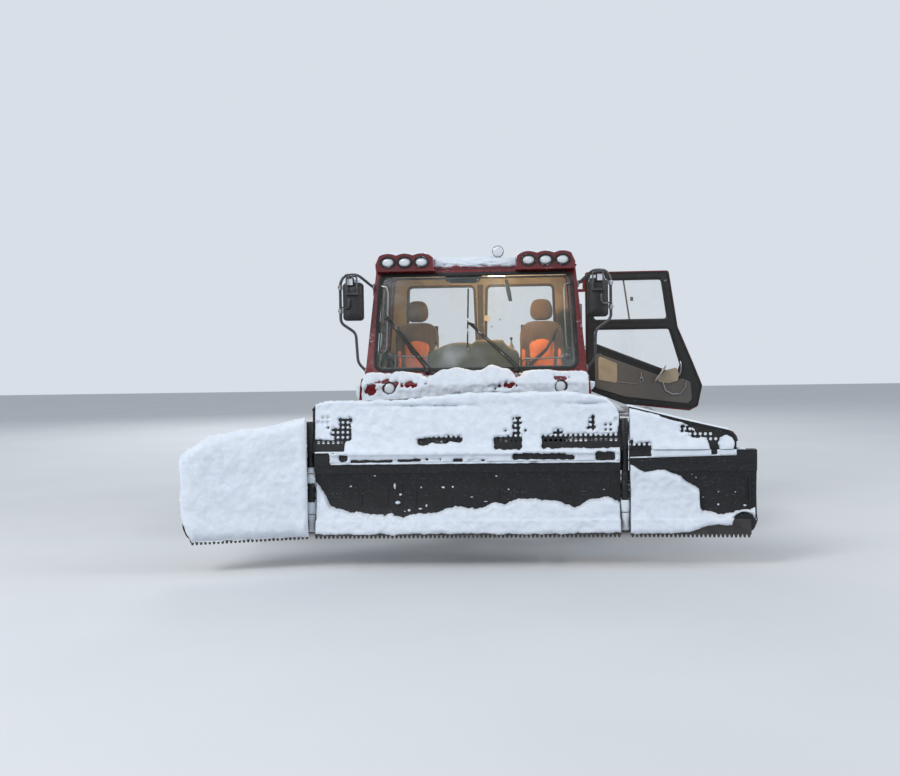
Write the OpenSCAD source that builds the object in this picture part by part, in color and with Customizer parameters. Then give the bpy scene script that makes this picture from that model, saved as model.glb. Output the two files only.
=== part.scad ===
/* [Tracks] */
// Width of each track
track_w = 1230; // [1000:10:1300]
// Distance between the centre lines of the two tracks
track_gauge = 2930; // [2880:10:3100]
// Height of the lug bars above the belt
lug_h = 62; // [40:1:80]
// Thickness of the belt
belt_t = 30; // [20:1:36]
// Number of shoes on each track
shoe_count = 84; // [70:1:90]
// Radius of the road wheels
road_r = 320; // [280:5:340]
// Number of road wheels on each side
road_count = 4; // [3:1:4]
// Distance from one road wheel to the next
road_step = 850; // [800:5:880]
// Radius of the front idler
idler_r = 310; // [280:5:330]
// Height of the idler's centre
idler_z = 545; // [520:5:580]
// Radius of the rear sprocket where the belt runs
sprocket_r = 330; // [300:5:340]
// Height of the sprocket's centre
sprocket_z = 572; // [540:5:590]
// Distance from the idler's centre to the sprocket's centre
wheelbase = 4080; // [3950:10:4200]
// Width of a road wheel
road_w = 230; // [180:5:300]

/* [Chassis] */
// Distance between the outer faces of the two frame rails
frame_w = 1120; // [1060:10:1160]
// Width of each frame rail
rail_w = 140; // [100:5:150]
// Height of the frame rails
rail_h = 340; // [280:10:360]
// Height of the underside of the frame
frame_z = 430; // [410:10:460]
// Thickness of the step deck
deck_t = 28; // [20:1:40]
// Height of the step deck's top
deck_z = 1058; // [1045:1:1070]
// Distance from the middle to the step deck's outer edge
deck_x = 1560; // [1400:10:1700]

/* [Cab] */
// Half width of the cab at the step deck
cab_half_w = 1120; // [1080:5:1150]
// Distance that each side of the cab leans in at its eaves
cab_lean_in = 135; // [110:5:160]
// Height of the cab's eaves
eaves_z = 2570; // [2540:5:2600]
// Height of the roof's top
roof_z = 2645; // [2620:5:2670]
// Thickness of the cab's walls and doors
wall = 48; // [36:2:56]
// Distance from the doors' hinges forward to the foot of the windscreen
door_bay = 1235; // [1200:5:1260]
// Length of the cab behind the doors' hinges
cab_tail = 335; // [300:5:400]
// Gap between a door and its frame
door_gap = 6; // [5:1:8]
// Radius of the windows' corners
window_r = 75; // [40:5:90]
// Thickness of the window glass
glass_t = 6; // [5:1:8]
// Angle at which the left door stands open
door_open = 88; // [80:1:95]

/* [Blade] */
// Width of the blade's middle section
blade_w = 2520; // [2300:10:2600]
// Length of each wing
wing_l = 1030; // [900:10:1050]
// Height of the cutting edge above the ground
blade_z = 280; // [260:5:320]
// Height of the moldboard and its top beam
blade_h = 650; // [600:10:680]
// Height of the guard above the beam
guard_h = 470; // [400:10:500]
// Thickness of the moldboard
plate_t = 16; // [12:1:20]
// Angle at which the right-hand wing is folded forward
wing_fold_r = 18; // [10:1:25]
// Angle at which the left-hand wing is folded forward
wing_fold_l = 3; // [0:1:8]
// Radius of the wings' hinge barrels
knuckle_r = 28; // [24:1:30]

/* [Tiller] */
// Width of the tiller
tiller_w = 4300; // [4000:20:4400]
// Radius out to the tines of the tiller's shaft
tine_r = 168; // [150:2:175]
// Radius of the tiller's shaft
shaft_r = 82; // [70:2:100]
// Height of the comb's lowest edge above the ground
comb_z = 15; // [10:1:30]

/* [Cylinders] */
// Radius of the hydraulic cylinders' barrels
barrel_r = 46; // [40:1:50]
// Radius of the piston rods
rod_r = 26; // [22:1:30]
// Radius of the cylinders' eyes
eye_r = 52; // [46:1:56]
// Width of the cylinders' eyes
eye_w = 62; // [50:2:70]
// Radius of the cylinders' pins
pin_r = 24; // [20:1:28]
// Thickness of the ears that hold a cylinder
ear_t = 18; // [14:1:24]

/* [Hidden] */
// Running clearance of pins, rods and seats
fit = 0.3;
// Free space on each side of a cylinder's eye
eye_gap = 5.5;
$fn = 48;

// Places along the machine, front towards -Y
origin_to_cab = 1915;
cab_front = -origin_to_cab;
hinge_y = cab_front + door_bay;
cab_rear = hinge_y + cab_tail;
nose_front = cab_front - 320;
eaves_half_w = cab_half_w - cab_lean_in;
idler_y = -2148;
sprocket_y = idler_y + wheelbase;
road_z = road_r + fit + belt_t + lug_h;
road_first = -1370;
frame_front = nose_front - 5;
frame_rear = 2300;
frame_top = frame_z + rail_h;
frame_half = frame_w / 2;
track_x = track_gauge / 2;

// Blade places
face_y = -3950;
blade_half = blade_w / 2;
beam_h = 95;
mold_top = blade_z + blade_h - beam_h;
beam_top = blade_z + blade_h;
guard_top = beam_top + guard_h;
fold_x = blade_half + 8;
fold_y = face_y + 45;
lift_y = -2480;
lift_z = 600;
king_y = -3350;
king_z = 600;

// Tiller places
tiller_pivot = [2420, 560];
rotor_y = 3640;
rotor_z = 275;
comb_y = 4295;

// Cylinder pins: barrel end, rod end, distance from the barrel's pin to its mouth, and to the rod's inner end
lift_pins = [[300, -2340, 980], [300, -3150, 770], 545, 290];
swing_pins = [[640, -2640, 600], [560, -3520, 600], 600, 270];
tilt_pins = [[-420, -3590, 860], [190, -3590, 880], 440, 180];
wing_pins = [[fold_x - 568, -3650, 605], [fold_x + 180, fold_y + 230, 605], 570, 215];
tiller_pins = [[0, 2400, 1000], [0, 3150, 700], 500, 300];
barrel_at = 0;
rod_at = 1;
mouth_at = 2;
tail_at = 3;

// Wheels that the belt bends round, from the front along the ground to the rear: [y, z, radius]
bends = [
    [idler_y, idler_z, idler_r + fit],
    [road_first, road_z, road_r + fit],
    [road_first + (road_count - 1) * road_step, road_z, road_r + fit],
    [sprocket_y, sprocket_z, sprocket_r + fit]
];
bend_steps = 16;

// Shared shapes

// Children stand on a with their Z axis towards b
module along(a, b) {
    d = b - a;
    translate(a) rotate([0, acos(d[2] / norm(d)), atan2(d[1], d[0])]) children();
}

// An outline in Y and Z, given a thickness along X from x0 to x1
module side_slab(x0, x1) {
    translate([x0, 0, 0]) rotate([90, 0, 90]) linear_extrude(x1 - x0) children();
}

// An outline in X and Z, given a thickness along Y from y0 to y1
module front_slab(y0, y1) {
    translate([0, y1, 0]) rotate([90, 0, 0]) linear_extrude(y1 - y0) children();
}

// A block between two corners
module block(low, high) {
    translate(low) cube(high - low);
}

// The same shape on both sides of the machine
module both_sides() {
    children();
    mirror([1, 0, 0]) children();
}

// An outline with its corners rounded
module rounded(r) {
    offset(r = r, $fn = 24) offset(delta = -r) children();
}

// Cylinder pieces. Turn is 0 for pins across the cylinder's plane and 90 for upright pins

module barrel(pins, turn) {
    mouth = pins[mouth_at];
    neck_end = eye_r + 18;
    along(pins[barrel_at], pins[rod_at]) rotate([0, 0, turn]) difference() {
        union() {
            rotate([90, 0, 0]) cylinder(h = eye_w, r = eye_r, center = true);
            cylinder(h = neck_end + 1, r = eye_w / 2 - 3);
            translate([0, 0, neck_end]) cylinder(h = mouth - neck_end, r = barrel_r);
            translate([0, 0, mouth - barrel_r]) cylinder(h = barrel_r, r = barrel_r + 5);
        }
        rotate([90, 0, 0]) cylinder(h = eye_w + 2, r = pin_r + fit, center = true);
        translate([0, 0, neck_end + 14]) cylinder(h = mouth, r = rod_r + fit);
    }
}

module rod(pins, turn) {
    far = norm(pins[rod_at] - pins[barrel_at]);
    tail = pins[tail_at];
    along(pins[barrel_at], pins[rod_at]) rotate([0, 0, turn]) difference() {
        union() {
            translate([0, 0, tail]) cylinder(h = far - eye_r * 0.8 - tail, r = rod_r);
            translate([0, 0, far]) rotate([90, 0, 0]) cylinder(h = eye_w, r = eye_r, center = true);
        }
        translate([0, 0, far]) rotate([90, 0, 0]) cylinder(h = eye_w + 2, r = pin_r + fit, center = true);
    }
}

// Two ears from a pin's centre down to the surface that carries them. Through is false where the pin is in two stubs
module ears(pin, foot, turn, through = true, half = eye_r) {
    reach = norm(foot - pin);
    inner = eye_w / 2 + (through ? 1 : eye_gap);
    along(pin, foot) rotate([0, 0, turn]) {
        for (side = [-1, 1]) {
            translate([0, side * (inner + ear_t / 2), 0]) {
                rotate([90, 0, 0]) cylinder(h = ear_t, r = half, center = true);
                translate([-half, -ear_t / 2, 0]) cube([2 * half, ear_t, reach]);
                translate([0, side * (ear_t / 2 + 5), 0])
                    rotate([90, 0, 0]) cylinder(h = 10, r = pin_r + 8, center = true);
            }
        }
        if (through) rotate([90, 0, 0]) cylinder(h = 2 * inner + ear_t, r = pin_r, center = true);
    }
}

// Tracks

function bend(i) = bends[(i + len(bends)) % len(bends)];

// Direction of the outward normal on the straight run from bend i to the next
function run_angle(i) =
    let (a = bend(i), b = bend(i + 1), d = norm([b[0] - a[0], b[1] - a[1]]))
    atan2(b[1] - a[1], b[0] - a[0]) - 90 + asin((a[2] - b[2]) / d);

function run_length(i) =
    let (a = bend(i), b = bend(i + 1), d = norm([b[0] - a[0], b[1] - a[1]]))
    sqrt(d * d - (a[2] - b[2]) * (a[2] - b[2]));

function sweep(i) = (run_angle(i) - run_angle(i - 1) + 720) % 360;

// Length of the belt's outer surface round bend i
function arc_length(i) = (bend(i)[2] + belt_t) * sweep(i) * PI / 180;

function start_of(i) = i == 0 ? 0 : start_of(i - 1) + arc_length(i - 1) + run_length(i - 1);

track_length = start_of(len(bends));

// The point at length s round the loop, standing out by off from the belt's inner surface
function loop_point(s, off, i = 0) =
    let (w = (s + track_length) % track_length, t = w - start_of(i), arc = arc_length(i), c = bend(i))
    t > arc + run_length(i) ? loop_point(s, off, i + 1)
    : let (a = run_angle(i - 1) + min(t / arc, 1) * sweep(i), past = max(t - arc, 0))
      [c[0] + (c[2] + off) * cos(a) - past * sin(a), c[1] + (c[2] + off) * sin(a) + past * cos(a)];

shoe_pitch = track_length / shoe_count;
shoe_foot = 58;
shoe_tip = 30;

track_outer = [
    for (j = [0:shoe_count - 1], corner = [[-shoe_foot, 0], [-shoe_tip, lug_h], [shoe_tip, lug_h], [shoe_foot, 0]])
        loop_point(j * shoe_pitch + corner[0] / 2, belt_t + corner[1])
];

track_inner = [
    for (i = [0:len(bends) - 1], k = [0:bend_steps])
        let (a = run_angle(i - 1) + sweep(i) * k / bend_steps, c = bend(i),
             r = c[2] / cos(sweep(i) / bend_steps / 2))
        [c[0] + r * cos(a), c[1] + r * sin(a)]
];

module track(side) {
    x = side * track_x - track_w / 2;
    color("dimgray") side_slab(x, x + track_w) difference() {
        polygon(track_outer);
        polygon(track_inner);
    }
}

// A wheel's section turned round its axle: [radius, half width] from the hub outwards
module wheel(radius, half_w, hub_half) {
    rotate([0, 90, 0]) rotate_extrude($fn = 64) polygon([
        [0, -hub_half], [95, -hub_half], [95, -30], [radius - 95, -30], [radius - 80, -half_w],
        [radius - 20, -half_w], [radius, -half_w + 22], [radius, half_w - 22], [radius - 20, half_w],
        [radius - 80, half_w], [radius - 95, 30], [95, 30], [95, hub_half], [0, hub_half]
    ]);
}

module road_wheels() {
    color("black") both_sides() for (i = [0:road_count - 1])
        translate([track_x, road_first + i * road_step, road_z]) wheel(road_r, road_w / 2, road_w / 2);
}

module idler_wheels() {
    color("black") both_sides() translate([track_x, idler_y, idler_z]) wheel(idler_r, road_w / 2, road_w / 2);
}

sprocket_w = 260;

module drive_sprockets() {
    color("gray") both_sides() translate([track_x, sprocket_y, sprocket_z]) rotate([0, 90, 0]) {
        cylinder(h = sprocket_w, r = 120, center = true);
        for (side = [-1, 1]) translate([0, 0, side * sprocket_w * 0.38]) difference() {
            cylinder(h = 26, r = sprocket_r, center = true, $fn = 72);
            for (a = [0:45:315]) rotate(a) translate([sprocket_r * 0.66, 0, 0])
                cylinder(h = 30, r = 52, center = true);
        }
    }
}

// The axles meet the frame rails inside and the wheels' hubs outside
module wheel_axles() {
    hub = track_x - road_w / 2;
    color("dimgray") both_sides() {
        for (i = [0:road_count - 1]) translate([0, road_first + i * road_step, road_z]) {
            translate([frame_half, 0, 130]) rotate([0, 90, 0]) cylinder(h = 90, r = 80);
            block([frame_half + 20, -48, 0], [frame_half + 90, 48, 130]);
            translate([frame_half + 20, 0, 0]) rotate([0, 90, 0]) cylinder(h = hub - frame_half - 20, r = 48);
            translate([hub - 30, 0, 0]) rotate([0, 90, 0]) cylinder(h = 30, r = 88);
        }
        translate([frame_half, idler_y, idler_z]) rotate([0, 90, 0]) {
            cylinder(h = hub - frame_half, r = 52);
            translate([0, 0, hub - frame_half - 30]) cylinder(h = 30, r = 88);
            cylinder(h = 60, r = 95);
        }
        translate([frame_half, sprocket_y, sprocket_z]) rotate([0, 90, 0]) {
            cylinder(h = track_x - sprocket_w / 2 - frame_half, r = 115);
            cylinder(h = 200, r = 190);
        }
    }
}

// Chassis

module main_frame() {
    color("#2b2b2b") {
        both_sides() {
            difference() {
                block([frame_half - rail_w, frame_front, frame_z], [frame_half, frame_rear, frame_top]);
                block([frame_half - rail_w + 14, frame_front - 1, frame_z + 14],
                      [frame_half - 14, frame_rear + 1, frame_top - 14]);
            }
            for (y = post_places) block([frame_half - rail_w, y - 45, frame_top], [frame_half + 40, y + 45, deck_z - deck_t]);
        }
        block([-frame_half + rail_w, frame_front + 60, frame_z], [frame_half - rail_w, frame_rear - 60, frame_z + 12]);
        for (y = cross_places)
            block([-frame_half + rail_w, y - 50, frame_z + 12], [frame_half - rail_w, y + 50, frame_z + cross_h]);
    }
}

// The plates that close the frame's ends
module bulkheads() {
    color("#2b2b2b") {
        front_bulkhead();
        both_sides() frame_pivot_ears();
        rear_bulkhead();
    }
}

post_places = [-2100, -1250, -450, 700, 1500, 2150];
cross_places = [-1900, -900, -60, 800, 1500, 2150];
cross_h = 150;
bulkhead_t = 40;

// The front plate carries the push frame, its lift cylinders and the towing eye
module front_bulkhead() {
    front = frame_front - bulkhead_t;
    block([-frame_half, front, frame_z - 10], [frame_half, frame_front, deck_z - deck_t]);
    both_sides() ears(lift_pins[barrel_at], [lift_pins[barrel_at][0], front, lift_pins[barrel_at][2]], 0);
    difference() {
        union() {
            block([-tow_eye_w / 2, front - 70, frame_z + 30], [tow_eye_w / 2, front, frame_z + 70]);
            translate([0, front - 70, frame_z + 30]) cylinder(h = 40, r = tow_eye_w / 2);
        }
        translate([0, front - 70, frame_z + 20]) cylinder(h = 60, r = tow_eye_r);
    }
}

tow_eye_r = 26;
tow_eye_w = 130;
arm_x = 430;
arm_w = 90;
arm_r = 78;

// Ears for the push frame's arms, reaching forward from the bulkhead
module frame_pivot_ears() {
    for (side = [-1, 1]) translate([arm_x + side * (arm_w / 2 + 2 + 14), 0, 0]) {
        translate([0, lift_y, lift_z]) rotate([0, 90, 0]) cylinder(h = 28, r = arm_r, center = true);
        block([-14, lift_y, lift_z - arm_r], [14, frame_front - bulkhead_t, lift_z + arm_r]);
    }
    translate([arm_x, lift_y, lift_z]) rotate([0, 90, 0]) cylinder(h = arm_w + 60, r = 32, center = true);
}

tiller_arm_x = 350;
hitch_r = 20;

// The rear plate carries the tiller's arms, its lift cylinder and the drawbar
module rear_bulkhead() {
    rear = frame_rear + bulkhead_t;
    top = tiller_pins[barrel_at][2] + 70;
    block([-frame_half, frame_rear, frame_z - 10], [frame_half, rear, deck_z - deck_t]);
    block([-130, frame_rear, deck_z - deck_t], [130, rear - 10, top]);
    ears(tiller_pins[barrel_at], [0, rear - 10, tiller_pins[barrel_at][2]], 0);
    for (x = [-tiller_arm_x, tiller_arm_x], side = [-1, 1]) translate([x + side * (arm_w / 2 + 16), 0, 0]) {
        translate([0, tiller_pivot[0], tiller_pivot[1]]) rotate([0, 90, 0]) cylinder(h = 28, r = 70, center = true);
        block([-14, rear, tiller_pivot[1] - 70], [14, tiller_pivot[0], tiller_pivot[1] + 70]);
    }
    for (x = [-tiller_arm_x, tiller_arm_x])
        translate([x, tiller_pivot[0], tiller_pivot[1]]) rotate([0, 90, 0]) cylinder(h = arm_w + 60, r = 30, center = true);
    difference() {
        block([-110, rear, frame_z], [110, rear + 130, frame_z + 34]);
        translate([0, rear + 75, frame_z - 5]) cylinder(h = 50, r = hitch_r);
    }
}

module step_decks() {
    low = deck_z - deck_t;
    color("#3a3a3c") both_sides() {
        block([frame_half - 40, nose_front, low], [deck_x, frame_rear + 20, deck_z]);
        block([track_x - track_w / 2 + 20, nose_front - 60, low - 40], [deck_x, nose_front, deck_z]);
        block([deck_x - 24, nose_front, low - 28], [deck_x, frame_rear + 20, low]);
        platform_brackets();
    }
}

// Cab

// Outer outline of the cab seen from the side, in Y and Z
module cab_side() {
    polygon([
        [nose_front + 30, deck_z], [nose_front, deck_z + 370], [nose_front + 60, deck_z + 430],
        [cab_front, cowl_z], [cab_front + 270, eaves_z - 30], [cab_front + 350, roof_z],
        [cab_rear - 90, roof_z], [cab_rear, eaves_z - 20], [cab_rear, deck_z]
    ]);
}

cowl_z = deck_z + 455;

// Outer outline of the cab seen from the front, in X and Z
module cab_front_view() {
    polygon([
        [-cab_half_w, deck_z], [cab_half_w, deck_z], [eaves_half_w, eaves_z], [eaves_half_w - 80, roof_z],
        [80 - eaves_half_w, roof_z], [-eaves_half_w, eaves_z]
    ]);
}

// The whole cab as a solid, drawn in by inset on every side
module cab_solid(inset) {
    intersection() {
        side_slab(-cab_half_w, cab_half_w) offset(delta = -inset) cab_side();
        front_slab(nose_front, cab_rear) offset(delta = -inset) cab_front_view();
    }
}

// Half width of the cab at height z
function skin_x(z) = cab_half_w - (cab_half_w - eaves_half_w) * (z - deck_z) / (eaves_z - deck_z);

side_lean = atan2(cab_half_w - eaves_half_w, eaves_z - deck_z);

// The left side wall between two depths from its outer face, with its ends left long
module side_skin(outer, inner) {
    low = deck_z - 20;
    high = eaves_z;
    a = outer / cos(side_lean);
    b = inner / cos(side_lean);
    front_slab(nose_front, cab_rear) polygon([
        [skin_x(low) - a, low], [skin_x(high) - a, high], [skin_x(high) - b, high], [skin_x(low) - b, low]
    ]);
}

module cab_skin() {
    difference() {
        cab_solid(0);
        cab_solid(wall);
    }
}

// Outline of a door in Y and Z: [distance forward of the hinge, height]
door_line = [
    [0, 1310], [400, 1150], [1080, 1072], [1170, 1120], [1215, 1340], [1107, 1610], [960, 1960], [868, 2545], [0, 2545]
];

module door_outline() {
    rounded(30) polygon([for (p = door_line) [hinge_y - p[0], p[1]]]);
}

// Windows of a door: [distance forward of the hinge, height] for the upper and the lower pane
upper_pane = [[75, 2470], [802, 2470], [868, 2030], [75, 2030]];
lower_pane = [[75, 1955], [880, 1955], [1000, 1560], [960, 1440], [75, 1790]];

module door_panes() {
    for (pane = [upper_pane, lower_pane])
        rounded(window_r * 0.6) polygon([for (p = pane) [hinge_y - p[0], p[1]]]);
}

module door_shell() {
    difference() {
        intersection() {
            side_skin(0, wall);
            side_slab(0, far) door_outline();
        }
        side_slab(0, far) door_panes();
    }
    door_hinges();
}

hinge_heights = [1420, 2380];
hinge_pin_r = 12;

// Position of the hinge line, clear of the cab's side
hinge_x = cab_half_w + 2;

// The door's halves of the hinges
module door_hinges() {
    for (z = hinge_heights) {
        skin = skin_x(z);
        difference() {
            union() {
                translate([hinge_x, hinge_y, z]) cylinder(h = 60, r = 24);
                block([skin - wall / 2, hinge_y - 70, z], [hinge_x, hinge_y - 8, z + 60]);
            }
            translate([hinge_x, hinge_y, z - 1]) cylinder(h = 62, r = hinge_pin_r + fit);
        }
    }
}

module door_glass() {
    intersection() {
        side_skin(wall / 2 - glass_t / 2, wall / 2 + glass_t / 2);
        side_slab(0, far) offset(delta = -fit) door_panes();
    }
}

module swung_open(angle) {
    translate([hinge_x, hinge_y, 0]) rotate([0, 0, angle]) translate([-hinge_x, -hinge_y, 0]) children();
}

module door_left() {
    color("#5a0f10") swung_open(door_open) door_shell();
}

module door_left_glass() {
    color("lightblue", 0.4) swung_open(door_open) door_glass();
}

module door_right() {
    color("#5a0f10") mirror([1, 0, 0]) door_shell();
}

module door_right_glass() {
    color("lightblue", 0.4) mirror([1, 0, 0]) door_glass();
}

// Width of the front pillars at the windscreen's foot
pillar_w = 90;

// Windscreen outline in X and Z
module windscreen_outline(inset) {
    low = cowl_z + 47;
    high = eaves_z - 70;
    foot = skin_x(low) - pillar_w;
    head = skin_x(high) - wall;
    offset(delta = -inset) rounded(window_r) polygon([[-foot, low], [foot, low], [head, high], [-head, high]]);
}

// Rear windows: distance of each from the middle, and its width
rear_window_x = 430;
rear_window_w = 780;

// Rear window outlines in X and Z
module rear_outlines(inset) {
    low = deck_z + 582;
    high = eaves_z - 120;
    foot = rear_window_w / 2;
    head = foot - 25;
    offset(delta = -inset) for (x = [-rear_window_x, rear_window_x]) translate([x, 0, 0])
        rounded(window_r * 0.7) polygon([[-foot, low], [foot, low], [head, high], [-head, high]]);
}

module cab_openings() {
    both_sides() intersection() {
        side_skin(-30, wall + door_gap + 2);
        side_slab(0, far) offset(delta = door_gap) door_outline();
    }
    front_slab(nose_front, windscreen_end) windscreen_outline(0);
    front_slab(hinge_y + 100, cab_rear + 50) rear_outlines(0);
}

// The cab's skin between two corners, with its doors and windows cut
module cab_piece(low, high) {
    difference() {
        intersection() {
            cab_skin();
            block(low, high);
        }
        cab_openings();
    }
}

beacon_x = 223;
beacon_r = 58;
beacon_stand = 22;
far = 1400;
nose_split = cab_front - 25;
windscreen_end = hinge_y - 300;
rear_split = cab_rear - wall;
roof_split = eaves_z - 22;

module cab_nose() {
    color("#6b1112") difference() {
        cab_piece([-far, nose_front - 10, deck_z - 1], [far, nose_split, cowl_z + 200]);
        headlamp_seats(0);
    }
}

// Headlamps, set into the nose: a round lens with its rim
lamp_x = 810;
lamp_z = 1395;
lamp_r = 62;

module headlamp_seats(play) {
    both_sides() translate([lamp_x, nose_front - 20, lamp_z]) rotate([-90, 0, 0])
        cylinder(h = 120, r = lamp_r - play);
}

module headlamps() {
    color("white") difference() {
        headlamp_seats(fit);
        block([-far, nose_front - 30, 0], [far, nose_front + 14, 3000]);
    }
}

module cab_frame() {
    color("#6b1112") cab_piece([-far, nose_split, deck_z + wall], [far, rear_split, roof_split]);
    color("#6b1112") both_sides() for (z = hinge_heights) {
        skin = skin_x(z);
        for (dz = [-32, 62]) translate([0, 0, z + dz]) {
            translate([hinge_x, hinge_y, 0]) cylinder(h = 30, r = 24);
            block([skin - wall / 2, hinge_y + door_gap + 6, 0], [hinge_x, hinge_y + 80, 30]);
            block([hinge_x - 24, hinge_y, 0], [hinge_x + 24, hinge_y + 80, 30]);
        }
        translate([hinge_x, hinge_y, z - 20]) cylinder(h = 100, r = hinge_pin_r);
    }
}

module cab_rear_wall() {
    color("#6b1112") cab_piece([-far, rear_split, deck_z + wall], [far, cab_rear + 10, roof_split]);
}

module cab_roof() {
    color("#6b1112") {
        cab_piece([-far, cab_front, roof_split], [far, cab_rear + 10, roof_z + 10]);
        translate([beacon_x, cab_front + 420, roof_z - 1]) cylinder(h = beacon_stand + 1, r = 34);
    }
}

module cab_floor() {
    color("#333333") difference() {
        intersection() {
            cab_solid(0);
            block([-far, nose_split, deck_z], [far, cab_rear, deck_z + wall]);
        }
        cab_openings();
    }
}

module windscreen() {
    color("lightblue", 0.4) intersection() {
        difference() {
            cab_solid(14);
            cab_solid(14 + glass_t);
        }
        front_slab(nose_front, windscreen_end) windscreen_outline(fit);
    }
}

module rear_windows() {
    color("lightblue", 0.4) front_slab(rear_split + 12, rear_split + 12 + glass_t) rear_outlines(fit);
}

// Roof lamp pods: [inner end, outer end], with three lamps in each
pod_in = 395;
pod_out = eaves_half_w - 10;
pod_low = eaves_z - 42;
pod_h = 184;
pod_top = pod_low + pod_h;
pod_front = cab_front + 150;
pod_lamps = [525, 692, 858];
oval_w = 152;
oval_h = 104;

module pod_outline() {
    rounded(40) polygon([
        [pod_in, pod_low], [pod_out, pod_low], [pod_out + 10, pod_low + 90], [pod_out - 60, pod_top],
        [pod_in + 10, pod_top]
    ]);
}

module oval(play) {
    scale_h = oval_h / 2 - play;
    reach = oval_w / 2 - scale_h - play;
    hull() for (x = [-reach, reach]) translate([x, 0]) circle(r = scale_h, $fn = 32);
}

module lamp_pods() {
    color("#6b1112") both_sides() difference() {
        front_slab(pod_front, cab_front + 420) pod_outline();
        cab_solid(-fit);
        for (x = pod_lamps) translate([x, 0, pod_low + 92]) front_slab(pod_front - 1, pod_front + 60) oval(0);
    }
}

module roof_lamps() {
    color("white") both_sides() for (x = pod_lamps)
        translate([x, 0, pod_low + 92]) front_slab(pod_front + 8, pod_front + 60) oval(fit);
    color("white") translate([beacon_x, cab_front + 420, roof_z + beacon_stand + fit + beacon_r])
        rotate([90, 0, 0]) cylinder(h = 90, r = beacon_r, center = true);
}

// Mirror arms: bent tubes on the cab's front corners
arm_tube_r = 14;

module tube(a, b) {
    hull() for (p = [a, b]) translate(p) sphere(r = arm_tube_r, $fn = 16);
}

mirror_path = [
    [skin_x(2380) + arm_tube_r + fit, cab_front + 205, 2380], [1150, cab_front + 60, 2505], [1265, cab_front + 5, 2495],
    [1310, cab_front, 2420], [1310, cab_front, 2030], [1165, cab_front + 10, 1930], [1150, cab_front + 20, 1640],
    [skin_x(1560) + arm_tube_r + fit, cab_front + 50, 1560]
];

module mirror_arms() {
    color("gray") both_sides() for (i = [0:len(mirror_path) - 2]) tube(mirror_path[i], mirror_path[i + 1]);
}

module mirrors() {
    color("black") both_sides() {
        difference() {
            front_slab(cab_front - 30, cab_front + 55) rounded(30)
                polygon([[1085, 2050], [1285, 2050], [1285, 2420], [1085, 2420]]);
            front_slab(cab_front + 45, cab_front + 60) rounded(24)
                polygon([[1097, 2062], [1273, 2062], [1273, 2408], [1097, 2408]]);
        }
        for (z = [2130, 2360]) block([1280, cab_front - 12, z], [1310 - arm_tube_r - fit, cab_front + 12, z + 30]);
    }
}

// Wipers: pivot and blade middle, in X and Z, lying on the windscreen
wiper_plane = [cab_front, cowl_z];
wiper_lean = atan2(270, eaves_z - 30 - cowl_z);

module wipers() {
    color("black") for (w = [[-280, -650], [420, -10]])
        translate([0, wiper_plane[0], wiper_plane[1]]) rotate([-wiper_lean, 0, 0]) translate([0, -22, 0]) {
            along([w[0], 0, 27], [w[1], 0, 620]) cylinder(h = norm([w[1] - w[0], 593]), r = 8, $fn = 12);
            block([w[1] - 8, -6, 180], [w[1] + 8, 12, 930]);
            translate([w[0], 22 - fit, 27]) rotate([90, 0, 0]) cylinder(h = 36, r = 22);
        }
}

// Cab furniture

floor_z = deck_z + wall;
seat_x = 655;

module dashboard() {
    color("#3c3a26") {
        front_slab(cab_front + 190, cab_front + 420) rounded(40)
            polygon([[-490, floor_z], [420, floor_z], [420, 1800], [340, 1850], [-410, 1850], [-490, 1800]]);
    }
}

module seat() {
    color("#b5602a") {
        block([seat_x - 150, hinge_y - 560, floor_z], [seat_x + 150, hinge_y - 240, floor_z + 280]);
        side_slab(seat_x - 250, seat_x + 250) rounded(40) polygon([
            [hinge_y - 700, floor_z + 280], [hinge_y - 180, floor_z + 280], [hinge_y - 130, floor_z + 960],
            [hinge_y - 250, floor_z + 960], [hinge_y - 290, floor_z + 450], [hinge_y - 700, floor_z + 450]
        ]);
        side_slab(seat_x - 130, seat_x + 130) rounded(40) polygon([
            [hinge_y - 235, floor_z + 940], [hinge_y - 125, floor_z + 940], [hinge_y - 110, floor_z + 1170],
            [hinge_y - 220, floor_z + 1170]
        ]);
    }
}

module seats() {
    both_sides() seat();
}

// Engine and rear body

body_top = 1410;
bay_rear = 1500;
body_half = 900;

module engine_block() {
    color("dimgray") block([-330, cab_rear + 120, frame_z + cross_h], [330, 950, body_top - 60]);
}

module engine_panels() {
    color("#6b1112") both_sides() difference() {
        block([body_half - 30, cab_rear, deck_z], [body_half, bay_rear, body_top]);
        for (z = [0:2], i = [0:2])
            block([body_half - 31, cab_rear + 220 + i * 420, deck_z + 90 + z * 80],
                  [body_half + 1, cab_rear + 520 + i * 420, deck_z + 120 + z * 80]);
    }
}

module fuel_tank() {
    color("#222222") block([-body_half, bay_rear, deck_z], [body_half, frame_rear - 100, body_top]);
}

platform_low = body_top + 6;
platform_hinge = [frame_rear - 20, platform_low + 43];
platform_t = 50;
rack_x = 600;
rack_y = 700;
rack_mid = 1250;
rack_hole_r = 9;

module load_platform() {
    rear = platform_hinge[0] + 40;
    color("#4a4a4c") difference() {
        union() {
            block([-1000, cab_rear + 20, platform_low], [1000, rear - 90, platform_low + platform_t]);
            for (x = [-700, 700]) {
                block([x - 40, rear - 91, platform_low], [x + 40, platform_hinge[0], platform_low + platform_t]);
                translate([x, platform_hinge[0], platform_hinge[1]]) rotate([0, 90, 0])
                    cylinder(h = 80, r = 34, center = true);
            }
        }
        for (x = [-rack_x, rack_x], y = [-rack_y, rack_y]) translate([x, rack_mid + y, body_top])
            cylinder(h = platform_t + 10, r = rack_hole_r);
        for (x = [-700, 700]) translate([x, platform_hinge[0], platform_hinge[1]]) rotate([0, 90, 0])
            cylinder(h = 90, r = 20 + fit, center = true);
    }
}

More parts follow.
